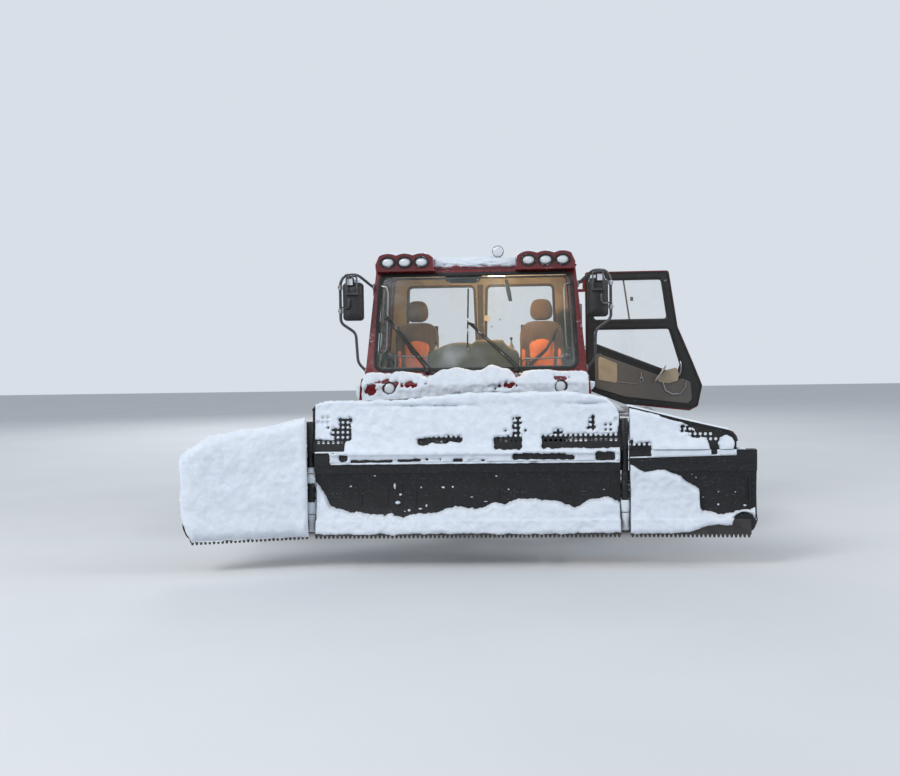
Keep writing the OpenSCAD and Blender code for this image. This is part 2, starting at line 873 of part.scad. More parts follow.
rails_x = 960;
rails_top = 1900;

module platform_rails() {
    base = platform_low + platform_t;
    color("#2b2b2b") both_sides() {
        for (y = [cab_rear + 120, 700, 2080]) translate([rails_x, y, base]) cylinder(h = rails_top - base, r = 20);
        along([rails_x, cab_rear + 120, rails_top], [rails_x, 2080, rails_top])
            cylinder(h = 2080 - cab_rear - 120, r = 20);
        along([rails_x, cab_rear + 120, rails_top - 220], [rails_x, 2080, rails_top - 220])
            cylinder(h = 2080 - cab_rear - 120, r = 15);
    }
}

exhaust_x = 1075;

module exhaust() {
    color("gray") translate([exhaust_x, cab_rear + 150, deck_z]) {
        cylinder(h = 60, r = 75);
        cylinder(h = 700, r = 62);
        difference() {
            cylinder(h = 1180, r = 38);
            translate([0, 0, 900]) cylinder(h = 300, r = 34);
        }
    }
}

module tail_lamps() {
    color("red") both_sides()
        block([body_half - 130, frame_rear - 100, deck_z + 120], [body_half - 20, frame_rear - 70, deck_z + 190]);
}

// Brackets that hold the platform's rear hinge
module platform_brackets() {
    for (x = [-700, 700], side = [-1, 1])
        translate([x + side * (40 + 3 + 10), platform_hinge[0], 0]) {
            block([-10, -45, deck_z], [10, 45, platform_hinge[1]]);
            translate([0, 0, platform_hinge[1]]) rotate([0, 90, 0]) cylinder(h = 20, r = 45, center = true);
        }
    for (x = [-700, 700]) translate([x, platform_hinge[0], platform_hinge[1]]) rotate([0, 90, 0])
        cylinder(h = 120, r = 20, center = true);
}

// Blade and what carries it

cross_rear = -3130;
cross_front = -3225;
cross_half = 478;
hub_r = 110;
hub_half = 95;
king_r = 45;

module push_frame() {
    color("#2b2b2b") {
        both_sides() {
            difference() {
                union() {
                    translate([arm_x, lift_y, lift_z]) rotate([0, 90, 0]) cylinder(h = arm_w, r = arm_r, center = true);
                    block([arm_x - arm_w / 2, cross_rear - 10, lift_z - 60], [arm_x + arm_w / 2, lift_y, lift_z + 60]);
                }
                translate([arm_x, lift_y, lift_z]) rotate([0, 90, 0])
                    cylinder(h = arm_w + 2, r = 32 + fit, center = true);
            }
            ears(lift_pins[rod_at], [lift_pins[rod_at][0], lift_pins[rod_at][1] - 20, lift_z + 70], 0, false);
            swing_mount();
        }
        block([-cross_half, cross_front, lift_z - 75], [cross_half, cross_rear, lift_z + 75]);
        for (z = [king_z - hub_half - 3 - 34, king_z + hub_half + 3]) difference() {
            union() {
                translate([0, king_y, z]) cylinder(h = 34, r = hub_r);
                block([-hub_r, king_y, z], [hub_r, cross_front + 40, z + 34]);
            }
        }
        translate([0, king_y, king_z]) cylinder(h = 2 * hub_half + 60, r = king_r, center = true);
        block([-hub_r, cross_front - 1, king_z + 60], [hub_r, cross_front + 60, king_z + hub_half + 37]);
        block([-hub_r, cross_front - 1, king_z - hub_half - 37], [hub_r, cross_front + 60, king_z - 60]);
    }
}

// Outrigger on the push frame that holds a swing cylinder
module swing_mount() {
    p = swing_pins[barrel_at];
    ears(p, [arm_x + arm_w / 2 - 5, p[1], p[2]], 90);
}

carrier_front = -3600;

module swing_carrier() {
    color("#2b2b2b") {
        difference() {
            union() {
                translate([0, king_y, king_z]) cylinder(h = 2 * hub_half, r = hub_r, center = true);
                block([-hub_r, king_y - 260, king_z - hub_half], [hub_r, king_y, king_z + hub_half]);
            }
            translate([0, king_y, king_z]) cylinder(h = 2 * hub_half + 2, r = king_r + fit, center = true);
        }
        block([-470, -3560, king_z - 55], [470, -3500, king_z + 55]);
        both_sides() ears(swing_pins[rod_at], [470, swing_pins[rod_at][1], swing_pins[rod_at][2]], 90, false);
        translate([0, carrier_front + 40, king_z]) rotate([90, 0, 0]) cylinder(h = 130, r = 70);
        tilt_tower();
    }
}

// The post on the carrier that holds the tilt cylinder's barrel
module tilt_tower() {
    p = tilt_pins[barrel_at];
    block([p[0] - 60, -3560, king_z + 40], [p[0] + 60, -3500, p[2] - 75]);
    block([p[0] - 60, -3640, p[2] - 95], [p[0] + 60, -3500, p[2] - 70]);
    ears(p, [p[0], p[1], p[2] - 80], 0);
}

// The moldboard's section in Y and Z: a shallow arc between the cutting edge and the top beam
face_dip = 62;

module moldboard_section(low, high) {
    chord = high - low;
    r = (chord * chord / 4 + face_dip * face_dip) / 2 / face_dip;
    intersection() {
        difference() {
            translate([face_y - r + face_dip + plate_t, (low + high) / 2]) circle(r = r, $fn = 180);
            translate([face_y - r + face_dip, (low + high) / 2]) circle(r = r, $fn = 180);
        }
        translate([face_y - 40, low]) square([face_dip + 80, chord]);
    }
}

edge_h = 110;

// The moldboard with its cutting edge and its two back beams, from x0 to x1
module blade_body(x0, x1) {
    side_slab(x0, x1) {
        moldboard_section(blade_z + 20, mold_top);
        polygon([[face_y - 18, blade_z], [face_y + 2, blade_z], [face_y + 22, blade_z + edge_h],
                 [face_y + 2, blade_z + edge_h]]);
        polygon([[face_y + 6, blade_z + 30], [face_y + 110, blade_z + 50], [face_y + 110, blade_z + 140],
                 [face_y + 36, blade_z + 140]]);
        polygon([[face_y, mold_top - 6], [face_y + 12, mold_top - 70], [face_y + 130, mold_top - 70],
                 [face_y + 130, beam_top], [face_y, beam_top]]);
    }
}

module blade_centre() {
    mid = face_y + 240;
    color("#1c1c1e") {
        blade_body(-fold_x + knuckle_r + 8, fold_x - knuckle_r - 8);
        for (x = [-860, -420, 420, 860])
            block([x - 8, face_y + 55, blade_z + 100], [x + 8, face_y + 125, mold_top - 40]);
        difference() {
            union() {
                block([-260, face_y + 55, blade_z + 100], [260, face_y + 130, beam_top]);
                block([-150, face_y + 120, king_z - 110], [150, mid + 55, king_z + 110]);
            }
            translate([0, mid + 60, king_z]) rotate([90, 0, 0]) cylinder(h = 110, r = 70 + fit);
        }
        both_sides() wing_cylinder_mount();
        tilt_shelf();
        both_sides() fold_knuckles(true);
    }
}

// The shelf on the blade's back that holds the tilt cylinder's rod
module tilt_shelf() {
    p = tilt_pins[rod_at];
    block([p[0] - 60, face_y + 120, p[2] - 155], [p[0] + 60, p[1] + 60, p[2] - 115]);
    ears(p, [p[0], p[1], p[2] - 120], 0, false);
}

// A bracket on the blade's back that holds a wing cylinder's barrel
module wing_cylinder_mount() {
    p = wing_pins[barrel_at];
    block([p[0] - 60, face_y + 55, blade_z + 100], [p[0] + 60, face_y + 128, mold_top - 40]);
    ears(p, [p[0], face_y + 120, p[2]], 90);
}

// Hinge barrels, those of the middle at the beams and those of the wing between them
knuckle_heights = [blade_z + 20, blade_z + 145, mold_top - 170, mold_top - 70];

module fold_knuckles(fixed) {
    low = fixed ? [blade_z + 20, mold_top - 68] : [blade_z + 152, mold_top - 148];
    high = fixed ? [blade_z + 148, beam_top - 4] : [blade_z + 252, mold_top - 72];
    sign = fixed ? -1 : 1;
    for (i = [0, 1]) translate([fold_x, fold_y, 0]) difference() {
        union() {
            translate([0, 0, low[i]]) cylinder(h = high[i] - low[i], r = knuckle_r);
            block([sign > 0 ? 0 : -knuckle_r - 12, 0, low[i]], [sign > 0 ? knuckle_r + 12 : 0, 24, high[i]]);
        }
        if (!fixed) translate([0, 0, low[i] - 1]) cylinder(h = high[i] - low[i] + 2, r = 14 + fit);
    }
    if (fixed) translate([fold_x, fold_y, blade_z + 100]) cylinder(h = mold_top - blade_z - 150, r = 14);
}

guard_lean = 80;
guard_t = 14;
gusset_h = 330;

// The guard's section: it leans back from the beam's rear edge
module guard_section(height) {
    polygon([[face_y + 20, beam_top], [face_y + 20 + guard_t, beam_top],
             [face_y + 20 + guard_t + guard_lean * height / guard_h, beam_top + height],
             [face_y + 20 + guard_lean * height / guard_h, beam_top + height]]);
}

module blade_guard() {
    color("#1c1c1e") {
        intersection() {
            side_slab(-blade_half + 20, blade_half - 20) guard_section(guard_h);
            front_slab(face_y - 10, face_y + 200) rounded(40)
                polygon([[-blade_half + 20, beam_top - 60], [blade_half - 20, beam_top - 60],
                         [blade_half - 40, guard_top - 40], [blade_half - 120, guard_top], [120 - blade_half, guard_top],
                         [40 - blade_half, guard_top - 40]]);
        }
        for (x = [-1000, -350, 350, 1000]) side_slab(x - 8, x + 8)
            polygon([[face_y + 26, beam_top], [face_y + 120, beam_top], [face_y + 104, beam_top + gusset_h],
                     [face_y + 26 + guard_lean * gusset_h / guard_h, beam_top + gusset_h]]);
    }
}

// Outline of a wing seen from the front, in X and Z, from its hinge outwards
module wing_outline() {
    rounded(70) polygon([
        [wing_inner - 80, blade_z], [wing_outer - 40, blade_z], [wing_outer, blade_z + 90], [wing_outer, beam_top + 70],
        [wing_outer - 110, beam_top + 160], [wing_inner - 80, beam_top + 360]
    ]);
}

// The guard on a wing's top beam, stiffened by two gussets
module wing_guard() {
    intersection() {
        union() {
            side_slab(wing_inner, wing_outer) guard_section(guard_h);
            for (x = [wing_inner + 180, wing_inner + 720]) side_slab(x, x + 16)
                polygon([[face_y + 26, beam_top], [face_y + 116, beam_top], [face_y + 70, beam_top + 150],
                         [face_y + 44, beam_top + 150]]);
        }
        front_slab(face_y - 50, face_y + 300) wing_outline();
    }
}

wing_inner = fold_x + knuckle_r + 8;
wing_outer = fold_x + wing_l;

module wing() {
    intersection() {
        union() {
            blade_body(wing_inner, wing_outer);
            for (x = [wing_inner, wing_outer - 60]) side_slab(x, x + 14)
                polygon([[face_y + 36, blade_z + 60], [face_y + 108, blade_z + 60], [face_y + 128, beam_top],
                         [face_y + 36, beam_top]]);
        }
        front_slab(face_y - 50, face_y + 300) wing_outline();
    }
    ears(wing_pins[rod_at], [wing_pins[rod_at][0], face_y + face_dip + 4, wing_pins[rod_at][2]], 90, false);
    fold_knuckles(false);
}

// Children turned about the wing's hinge
module folded(angle) {
    translate([fold_x, fold_y, 0]) rotate([0, 0, -angle]) translate([-fold_x, -fold_y, 0]) children();
}

module blade_wing_left() {
    color("#1c1c1e") folded(wing_fold_l) wing();
}

module blade_wing_right() {
    color("#1c1c1e") mirror([1, 0, 0]) folded(wing_fold_r) wing();
}

module wing_guard_left() {
    color("#1c1c1e") folded(wing_fold_l) wing_guard();
}

module wing_guard_right() {
    color("#1c1c1e") mirror([1, 0, 0]) folded(wing_fold_r) wing_guard();
}

// A wing cylinder's pins with the wing folded forward by angle
function turned(p, angle) =
    let (x = p[0] - fold_x, y = p[1] - fold_y)
    [fold_x + x * cos(angle) + y * sin(angle), fold_y - x * sin(angle) + y * cos(angle), p[2]];

function wing_cylinder(angle) = [wing_pins[0], turned(wing_pins[1], angle), wing_pins[2], wing_pins[3]];

module lift_barrels() {
    color("#333333") both_sides() barrel(lift_pins, 0);
}

module lift_rods() {
    color("silver") both_sides() rod(lift_pins, 0);
}

module swing_barrel_left() {
    color("#333333") barrel(swing_pins, 90);
}

module swing_rod_left() {
    color("silver") rod(swing_pins, 90);
}

module swing_barrel_right() {
    color("#333333") mirror([1, 0, 0]) barrel(swing_pins, 90);
}

module swing_rod_right() {
    color("silver") mirror([1, 0, 0]) rod(swing_pins, 90);
}

module tilt_barrel() {
    color("#333333") barrel(tilt_pins, 0);
}

module tilt_rod() {
    color("silver") rod(tilt_pins, 0);
}

module wing_barrel_left() {
    color("#333333") barrel(wing_cylinder(wing_fold_l), 90);
}

module wing_rod_left() {
    color("silver") rod(wing_cylinder(wing_fold_l), 90);
}

module wing_barrel_right() {
    color("#333333") mirror([1, 0, 0]) barrel(wing_cylinder(wing_fold_r), 90);
}

module wing_rod_right() {
    color("silver") mirror([1, 0, 0]) rod(wing_cylinder(wing_fold_r), 90);
}

// Tiller

tube_y = 3330;
tube_z = 600;

module tiller_frame() {
    color("#2b2b2b") {
        for (x = [-tiller_arm_x, tiller_arm_x]) difference() {
            union() {
                translate([x, tiller_pivot[0], tiller_pivot[1]]) rotate([0, 90, 0])
                    cylinder(h = arm_w, r = 70, center = true);
                block([x - arm_w / 2, tiller_pivot[0], tiller_pivot[1] - 50],
                      [x + arm_w / 2, tube_y, tiller_pivot[1] + 50]);
            }
            translate([x, tiller_pivot[0], tiller_pivot[1]]) rotate([0, 90, 0])
                cylinder(h = arm_w + 2, r = 30 + fit, center = true);
        }
        translate([0, tube_y, tube_z]) rotate([0, 90, 0]) cylinder(h = 3800, r = 75, center = true);
        block([-tiller_arm_x, 3100, tiller_pivot[1] - 40], [tiller_arm_x, 3190, tiller_pivot[1] + 40]);
        ears(tiller_pins[rod_at], [0, tiller_pins[rod_at][1], tiller_pivot[1] + 30], 90, false);
        for (x = [-1750, -600, 600, 1750])
            block([x - 25, tube_y, tube_z - 60], [x + 25, rotor_y, tube_z + 20]);
    }
}

hood_r = 210;
hood_t = 14;

module tiller_housing() {
    color("#6b1112") difference() {
        union() {
            side_slab(-tiller_w / 2, tiller_w / 2) {
                difference() {
                    translate([rotor_y, rotor_z]) circle(r = hood_r + hood_t, $fn = 96);
                    translate([rotor_y, rotor_z]) circle(r = hood_r, $fn = 96);
                    translate([rotor_y - 400, rotor_z - 400]) square([800, 350]);
                }
                comb_section();
            }
            for (side = [-1, 1]) translate([side * (tiller_w / 2 - 7), 0, 0])
                side_slab(-7, 7) polygon([[rotor_y - hood_r - hood_t, rotor_z - 50], [rotor_y - 200, comb_z + 30],
                    [rotor_y + 250, comb_z + 30], [rotor_y + hood_r + hood_t, rotor_z], [rotor_y + 150, rotor_z + 180],
                    [rotor_y - 150, rotor_z + 180]]);
            for (x = [-1750, -600, 600, 1750])
                block([x - 25, rotor_y - 60, rotor_z + hood_r], [x + 25, rotor_y + 60, tube_z - 60]);
        }
        translate([-tiller_w, rotor_y, rotor_z]) rotate([0, 90, 0]) cylinder(h = 2 * tiller_w, r = 40 + fit);
    }
}

// The comb: a flexible apron from the housing's rear lip down to the snow
module comb_section() {
    polygon([
        [rotor_y + hood_r - 4, rotor_z + 20], [rotor_y + hood_r + hood_t, rotor_z + 40], [comb_y - 330, comb_z + 78],
        [comb_y - 20, comb_z + 26], [comb_y, comb_z + 14], [comb_y - 20, comb_z], [comb_y - 340, comb_z + 50],
        [rotor_y + hood_r - 4, rotor_z - 20]
    ]);
}

tine_count = 24;
rotor_half = tiller_w / 2 - 40;

module tiller_rotor() {
    color("#444444") {
        translate([0, rotor_y, rotor_z]) rotate([0, 90, 0]) {
            cylinder(h = 2 * rotor_half, r = shaft_r, center = true);
            cylinder(h = tiller_w + 6, r = 40, center = true);
            for (i = [0:tine_count - 1])
                translate([0, 0, -rotor_half + (i + 0.5) * 2 * rotor_half / tine_count]) rotate(i * 24)
                    linear_extrude(14, center = true) for (a = [0:120:240]) rotate(a)
                        polygon([[shaft_r - 10, -34], [tine_r - 6, 4], [tine_r, 24], [shaft_r - 10, 34]]);
        }
    }
}

module tiller_barrel() {
    color("#333333") barrel(tiller_pins, 0);
}

module tiller_rod() {
    color("silver") rod(tiller_pins, 0);
}

main_frame();
bulkheads();
wheel_axles();
road_wheels();
idler_wheels();
drive_sprockets();
track(1);  // track_left
track(-1);  // track_right
step_decks();
cab_floor();
cab_nose();
cab_frame();
cab_rear_wall();
cab_roof();
windscreen();
rear_windows();
lamp_pods();
roof_lamps();
headlamps();
mirror_arms();
mirrors();
wipers();
dashboard();
seats();
door_left();
door_left_glass();
door_right();
door_right_glass();
engine_block();
engine_panels();
fuel_tank();
load_platform();
platform_rails();
exhaust();
tail_lamps();
push_frame();
swing_carrier();
blade_centre();
blade_guard();
blade_wing_left();
blade_wing_right();
wing_guard_left();
wing_guard_right();
lift_barrels();
lift_rods();
swing_barrel_left();
swing_rod_left();
swing_barrel_right();
swing_rod_right();
tilt_barrel();
tilt_rod();
wing_barrel_left();
wing_rod_left();
wing_barrel_right();
wing_rod_right();
tiller_frame();
tiller_housing();
tiller_rotor();
tiller_barrel();
tiller_rod();
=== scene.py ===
# A tracked snow groomer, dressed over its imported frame. Everything is in metres, front towards -Y.
import math
import random
import bmesh
import bpy
from mathutils import Matrix, Vector, noise
from mathutils.kdtree import KDTree


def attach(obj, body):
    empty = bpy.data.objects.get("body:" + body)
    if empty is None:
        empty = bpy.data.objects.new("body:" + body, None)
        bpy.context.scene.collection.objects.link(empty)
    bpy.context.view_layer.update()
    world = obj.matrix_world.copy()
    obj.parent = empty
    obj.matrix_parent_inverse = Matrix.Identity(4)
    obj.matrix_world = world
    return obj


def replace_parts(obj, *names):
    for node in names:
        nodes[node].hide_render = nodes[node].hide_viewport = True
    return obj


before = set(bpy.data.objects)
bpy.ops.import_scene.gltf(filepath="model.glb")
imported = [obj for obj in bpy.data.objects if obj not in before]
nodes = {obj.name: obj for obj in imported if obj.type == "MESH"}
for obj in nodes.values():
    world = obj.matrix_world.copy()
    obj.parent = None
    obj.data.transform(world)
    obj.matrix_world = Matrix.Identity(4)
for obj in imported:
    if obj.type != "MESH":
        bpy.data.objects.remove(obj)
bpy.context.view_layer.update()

# Places shared with the frame
HINGE_X, HINGE_Y, HINGE_LEVELS = 1.122, -0.680, (1.420, 2.380)
DECK_Z, EAVES_Z, ROOF_Z = 1.058, 2.570, 2.645
CAB_HALF, EAVES_HALF, WALL = 1.120, 0.985, 0.048
CAB_FRONT, CAB_REAR, NOSE_FRONT = -1.915, -0.345, -2.235
COWL_Z = DECK_Z + 0.455
FLOOR_Z = DECK_Z + WALL
DOOR_OPEN = math.radians(88)
FACE_Y, FACE_DIP = -3.950, 0.062
BLADE_Z, MOLD_TOP, BEAM_TOP, GUARD_TOP = 0.280, 0.835, 0.930, 1.400
FOLD_X, FOLD_Y, WING_END = 1.268, -3.905, 2.298
FOLD_LEFT, FOLD_RIGHT = math.radians(3), math.radians(18)
GUARD_LEAN, GUARD_T = 0.080, 0.014
TRACK_X, TRACK_W = 1.465, 1.230
ROTOR_Y, ROTOR_Z, HOOD_R, COMB_Y = 3.640, 0.275, 0.224, 4.295
LEAN = math.atan2(CAB_HALF - EAVES_HALF, EAVES_Z - DECK_Z)

X, Y, Z = (1, 0, 0), (0, 1, 0), (0, 0, 1)
SIDES = (-1, 1)
MIRRORED = Matrix.Diagonal((-1, 1, 1, 1))
HANDS = (("left", None), ("right", MIRRORED))
MERGE, THIN = 1e-5, 1e-6
EDGE_ANGLE = 40

rng = random.Random(11)


# Mesh making


class Build:
    """Gathers corners and faces, then becomes one piece."""

    def __init__(self):
        self.v, self.f = [], []

    def add(self, verts, faces):
        n = len(self.v)
        self.v += [Vector(p) for p in verts]
        self.f += [[i + n for i in f] for f in faces]
        return self

    def box(self, low, high):
        (a, b, c), (d, e, f) = low, high
        p = [(x, y, z) for z in (c, f) for y in (b, e) for x in (a, d)]
        return self.add(p, [(0, 2, 3, 1), (4, 5, 7, 6), (0, 1, 5, 4), (2, 6, 7, 3), (0, 4, 6, 2),
                            (1, 3, 7, 5)])

    def plate(self, outlines, place, thick, bevel=0.0):
        return self.add(*plate(outlines, place, thick, bevel))

    def loft(self, rings, caps=True, closed=False):
        """Joins rings of equal length, each a list of points round a section."""
        n, m = len(rings[0]), len(rings)
        faces = []
        for j in range(m if closed else m - 1):
            k = (j + 1) % m
            faces += [(j * n + i, j * n + (i + 1) % n, k * n + (i + 1) % n, k * n + i) for i in range(n)]
        if caps and not closed:
            faces += [tuple(range(n))[::-1], tuple(range((m - 1) * n, m * n))]
        return self.add([p for r in rings for p in r], faces)

    def prism(self, outline, place, a, b):
        """An outline of (u, v) points carried from depth a to depth b by place(u, v, depth)."""
        return self.loft([[place(u, v, d) for u, v in outline] for d in (a, b)])

    def tube(self, path, r, sides=12, closed=False):
        """A round bar of radius r along a path."""
        path = [Vector(p) for p in path]
        rings, m, side = [], len(path), None
        for i, p in enumerate(path):
            before = path[i - 1] if i or closed else p
            after = path[(i + 1) % m] if i < m - 1 or closed else p
            along = (after - before).normalized()
            if side is None:
                side = along.orthogonal().normalized()
            side = (side - along * side.dot(along)).normalized()
            up = along.cross(side)
            d1, d2 = p - before, after - p
            bend = 1.0
            if d1.length and d2.length:
                bend = 1 / max(math.cos(d1.angle(d2) / 2), 0.5)
            turn = [2 * math.pi * k / sides for k in range(sides)]
            rings.append([p + (side * math.cos(t) + up * math.sin(t)) * r * (bend if m < 9 else 1)
                          for t in turn])
        return self.loft(rings, closed=closed)

    def lathe(self, profile, centre, axis, sides=32, hollow=False):
        """A profile of (distance along the axis, radius) turned round it, and closed where it is hollow."""
        axis = Vector(axis).normalized()
        side = axis.orthogonal().normalized()
        up = axis.cross(side)
        centre = Vector(centre)
        turn = [2 * math.pi * k / sides for k in range(sides)]
        rings = [[centre + axis * d + (side * math.cos(t) + up * math.sin(t)) * max(r, MERGE) for t in turn]
                 for d, r in profile]
        return self.loft(rings, closed=hollow)

    def bolt(self, at, axis, r, h):
        """A six-sided head of radius r and height h on its washer."""
        axis = Vector(axis).normalized()
        self.lathe([(0, r * 1.5), (h * 0.25, r * 1.5)], at, axis, 12)
        return self.lathe([(0, r), (h * 0.9, r), (h, r * 0.86)], at, axis, 6)

    def ball(self, centre, r, squash=(1, 1, 1), rings=10, sides=16):
        centre = Vector(centre)
        out = []
        turn = [2 * math.pi * k / sides for k in range(sides)]
        for j in range(rings + 1):
            t = math.pi * j / rings
            wide, high = math.sin(t), math.cos(t)
            out.append([centre + Vector((wide * math.cos(a) * squash[0], wide * math.sin(a) * squash[1],
                                         high * squash[2])) * r for a in turn])
        return self.loft(out, caps=False)

    def done(self, name, material, slot=None, body="chassis", place=None, bevel=0.0, angle=35):
        """The gathered shape as a piece that rides on a body."""
        verts = [place @ v for v in self.v] if place else self.v
        mesh = bpy.data.meshes.new(name)
        mesh.from_pydata([tuple(v) for v in verts], [], [tuple(f) for f in self.f])
        work = bmesh.new()
        work.from_mesh(mesh)
        bmesh.ops.remove_doubles(work, verts=work.verts, dist=MERGE)
        bmesh.ops.dissolve_degenerate(work, edges=work.edges, dist=THIN)
        bmesh.ops.recalc_face_normals(work, faces=work.faces)
        work.to_mesh(mesh)
        work.free()
        coat(mesh, material, angle)
        obj = bpy.data.objects.new(name, mesh)
        bpy.context.scene.collection.objects.link(obj)
        if bevel:
            chamfer(obj, bevel)
        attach(obj, body)
        return obj


def coat(mesh, material, angle):
    """Gives a mesh its material, smooth but for edges sharper than angle."""
    mesh.materials.clear()
    mesh.materials.append(mat[material])
    mesh.shade_smooth()
    mesh.set_sharp_from_angle(angle=math.radians(angle))


def chamfer(obj, width):
    edge = obj.modifiers.new("edge", "BEVEL")
    edge.width = width
    edge.segments = 2
    edge.limit_method = "ANGLE"
    edge.angle_limit = math.radians(EDGE_ANGLE)
    edge.harden_normals = True


def rounded(points, r, steps=5):
    """The corners of a closed outline, each turned into an arc of radius r."""
    out = []
    n = len(points)
    for i, p in enumerate(points):
        p = Vector(p)
        a = Vector(points[i - 1]) - p
        b = Vector(points[(i + 1) % n]) - p
        half = a.angle(b) / 2
        reach = min(r / math.tan(half), a.length * 0.49, b.length * 0.49)
        radius = reach * math.tan(half)
        centre = p + (a.normalized() + b.normalized()).normalized() * (radius / math.sin(half))
        start = p + a.normalized() * reach - centre
        end = p + b.normalized() * reach - centre
        full = start.angle(end)
        sign = 1 if start.x * end.y - start.y * end.x > 0 else -1
        for k in range(steps + 1):
            t = sign * full * k / steps
            out.append((centre.x + start.x * math.cos(t) - start.y * math.sin(t),
                        centre.y + start.x * math.sin(t) + start.y * math.cos(t)))
    return out


def oblong(a, b, c, d, r, steps=5):
    """A rectangle between the corners (a, b) and (c, d), its corners rounded to radius r."""
    return rounded([(a, b), (c, b), (c, d), (a, d)], r, steps)


def oval(x, y, rx, ry, sides=36):
    turn = [2 * math.pi * k / sides for k in range(sides)]
    return [(x + rx * math.cos(t), y + ry * math.sin(t)) for t in turn]


def ring(x, y, z, r, count, shift=0.0):
    """Points round an axis along X, evenly spaced."""
    turn = [2 * math.pi * (k + shift) / count for k in range(count)]
    return [(x, y + r * math.cos(t), z + r * math.sin(t)) for t in turn]


def plate(outlines, place, thick, bevel=0.0):
    """A flat plate with holes, from its outline and theirs, as corners and faces laid by place."""
    curve = bpy.data.curves.new("plate", "CURVE")
    curve.dimensions = "2D"
    curve.fill_mode = "BOTH"
    curve.extrude = thick / 2
    curve.bevel_depth = bevel
    curve.bevel_resolution = 0
    for outline in outlines:
        spline = curve.splines.new("POLY")
        spline.points.add(len(outline) - 1)
        for point, (u, v) in zip(spline.points, outline):
            point.co = (u, v, 0, 1)
        spline.use_cyclic_u = True
    flat = bpy.data.objects.new("plate", curve)
    bpy.context.scene.collection.objects.link(flat)
    bpy.context.view_layer.update()
    mesh = bpy.data.meshes.new_from_object(flat.evaluated_get(bpy.context.evaluated_depsgraph_get()))
    verts = [place(v.co.x, v.co.y, v.co.z) for v in mesh.vertices]
    faces = [tuple(f.vertices) for f in mesh.polygons]
    bpy.data.objects.remove(flat)
    bpy.data.curves.remove(curve)
    bpy.data.meshes.remove(mesh)
    return verts, faces


def hand(side):
    return "left" if side > 0 else "right"


def face_xz(y):
    """Lays an outline of (x, z) at depth y."""
    return lambda u, v, d: (u, y + d, v)


def face_yz(x):
    """Lays an outline of (y, z) at x."""
    return lambda u, v, d: (x + d, u, v)


def face_xy(z):
    """Lays an outline of (x, y) at height z."""
    return lambda u, v, d: (u, v, z + d)


def along_x(u, v, d):
    """Carries an outline of (y, z) sideways."""
    return (d, u, v)


def along_y(u, v, d):
    """Carries an outline of (x, z) backwards."""
    return (u, d, v)


def rough(x, y, z, scale, depth=4):
    """Soft noise between about -1 and 1."""
    return noise.fractal(Vector((x, y, z)) * scale, 1.0, 2.1, depth)


def between(table, x):
    """The height at x on a line through a short list of (x, height)."""
    if x <= table[0][0]:
        return table[0][1]
    for (a, p), (b, q) in zip(table, table[1:]):
        if x <= b:
            return p + (q - p) * (x - a) / (b - a)
    return table[-1][1]


# Materials


class Surface:
    """A material built from nodes laid on the object's own coordinates."""

    def __init__(self, name, rough=0.5, metal=0.0, **inputs):
        self.material = bpy.data.materials.new(name)
        self.material.use_nodes = True
        self.tree = self.material.node_tree
        self.bsdf = self.tree.nodes["Principled BSDF"]
        self.where = self.tree.nodes.new("ShaderNodeTexCoord")
        self.fill(self.bsdf, Roughness=rough, Metallic=metal, **inputs)

    def fill(self, node, **inputs):
        """Sets inputs to plain values, or links them to other nodes' outputs."""
        for key, source in inputs.items():
            self.link(source, node.inputs[key.replace("_", " ")])

    def link(self, source, socket):
        if isinstance(source, bpy.types.NodeSocket):
            self.tree.links.new(source, socket)
        elif isinstance(source, tuple) and len(socket.default_value) > len(source):
            socket.default_value = (*source, 1.0)
        else:
            socket.default_value = source

    def node(self, kind, output, **inputs):
        """The output of a new node with these inputs."""
        node = self.tree.nodes.new("ShaderNode" + kind)
        self.fill(node, **inputs)
        return node.outputs[output]

    def stretched(self, scale):
        return self.node("Mapping", "Vector", Scale=scale, Vector=self.where.outputs["Object"])

    def noise(self, scale, detail=4, stretch=(1, 1, 1)):
        return self.node("TexNoise", "Fac", Scale=scale, Detail=detail, Vector=self.stretched(stretch))

    def cells(self, scale):
        return self.node("TexVoronoi", "Distance", Scale=scale, Vector=self.stretched((1, 1, 1)))

    def waves(self, scale, direction="X", distortion=0.0):
        bands = self.node("TexWave", "Fac", Scale=scale, Distortion=distortion,
                          Vector=self.where.outputs["Object"])
        bands.node.bands_direction = direction
        return bands

    def up(self):
        """How far a face looks up, from -1 to 1."""
        return self.node("SeparateXYZ", "Z", Vector=self.where.outputs["Normal"])

    def calc(self, do, a, b=0.0):
        result = self.node("Math", 0)
        result.node.operation = do
        self.link(a, result.node.inputs[0])
        self.link(b, result.node.inputs[1])
        return result

    def ramp(self, value, low, high, bottom=0.0, top=1.0):
        result = self.node("MapRange", "Result", Value=value, From_Min=low, From_Max=high, To_Min=bottom,
                           To_Max=top)
        result.node.interpolation_type = "SMOOTHSTEP"
        return result

    def mix(self, share, a, b):
        node = self.tree.nodes.new("ShaderNodeMix")
        node.data_type = "RGBA"
        for source, socket in ((share, 0), (a, 6), (b, 7)):
            self.link(source, node.inputs[socket])
        return node.outputs[2]

    def bump(self, height, depth, strength=1.0):
        """Roughens the surface, on top of any bumps it has already."""
        normal = self.node("Bump", "Normal", Distance=depth, Strength=strength, Height=height)
        before = self.bsdf.inputs["Normal"]
        if before.is_linked:
            self.link(before.links[0].from_socket, normal.node.inputs["Normal"])
        self.link(normal, before)

    def colour(self, source):
        self.fill(self.bsdf, Base_Color=source)

    def roughness(self, source):
        self.fill(self.bsdf, Roughness=source)


def shade(colour, share):
    return tuple(c * share for c in colour)


SNOW = (0.70, 0.755, 0.83)


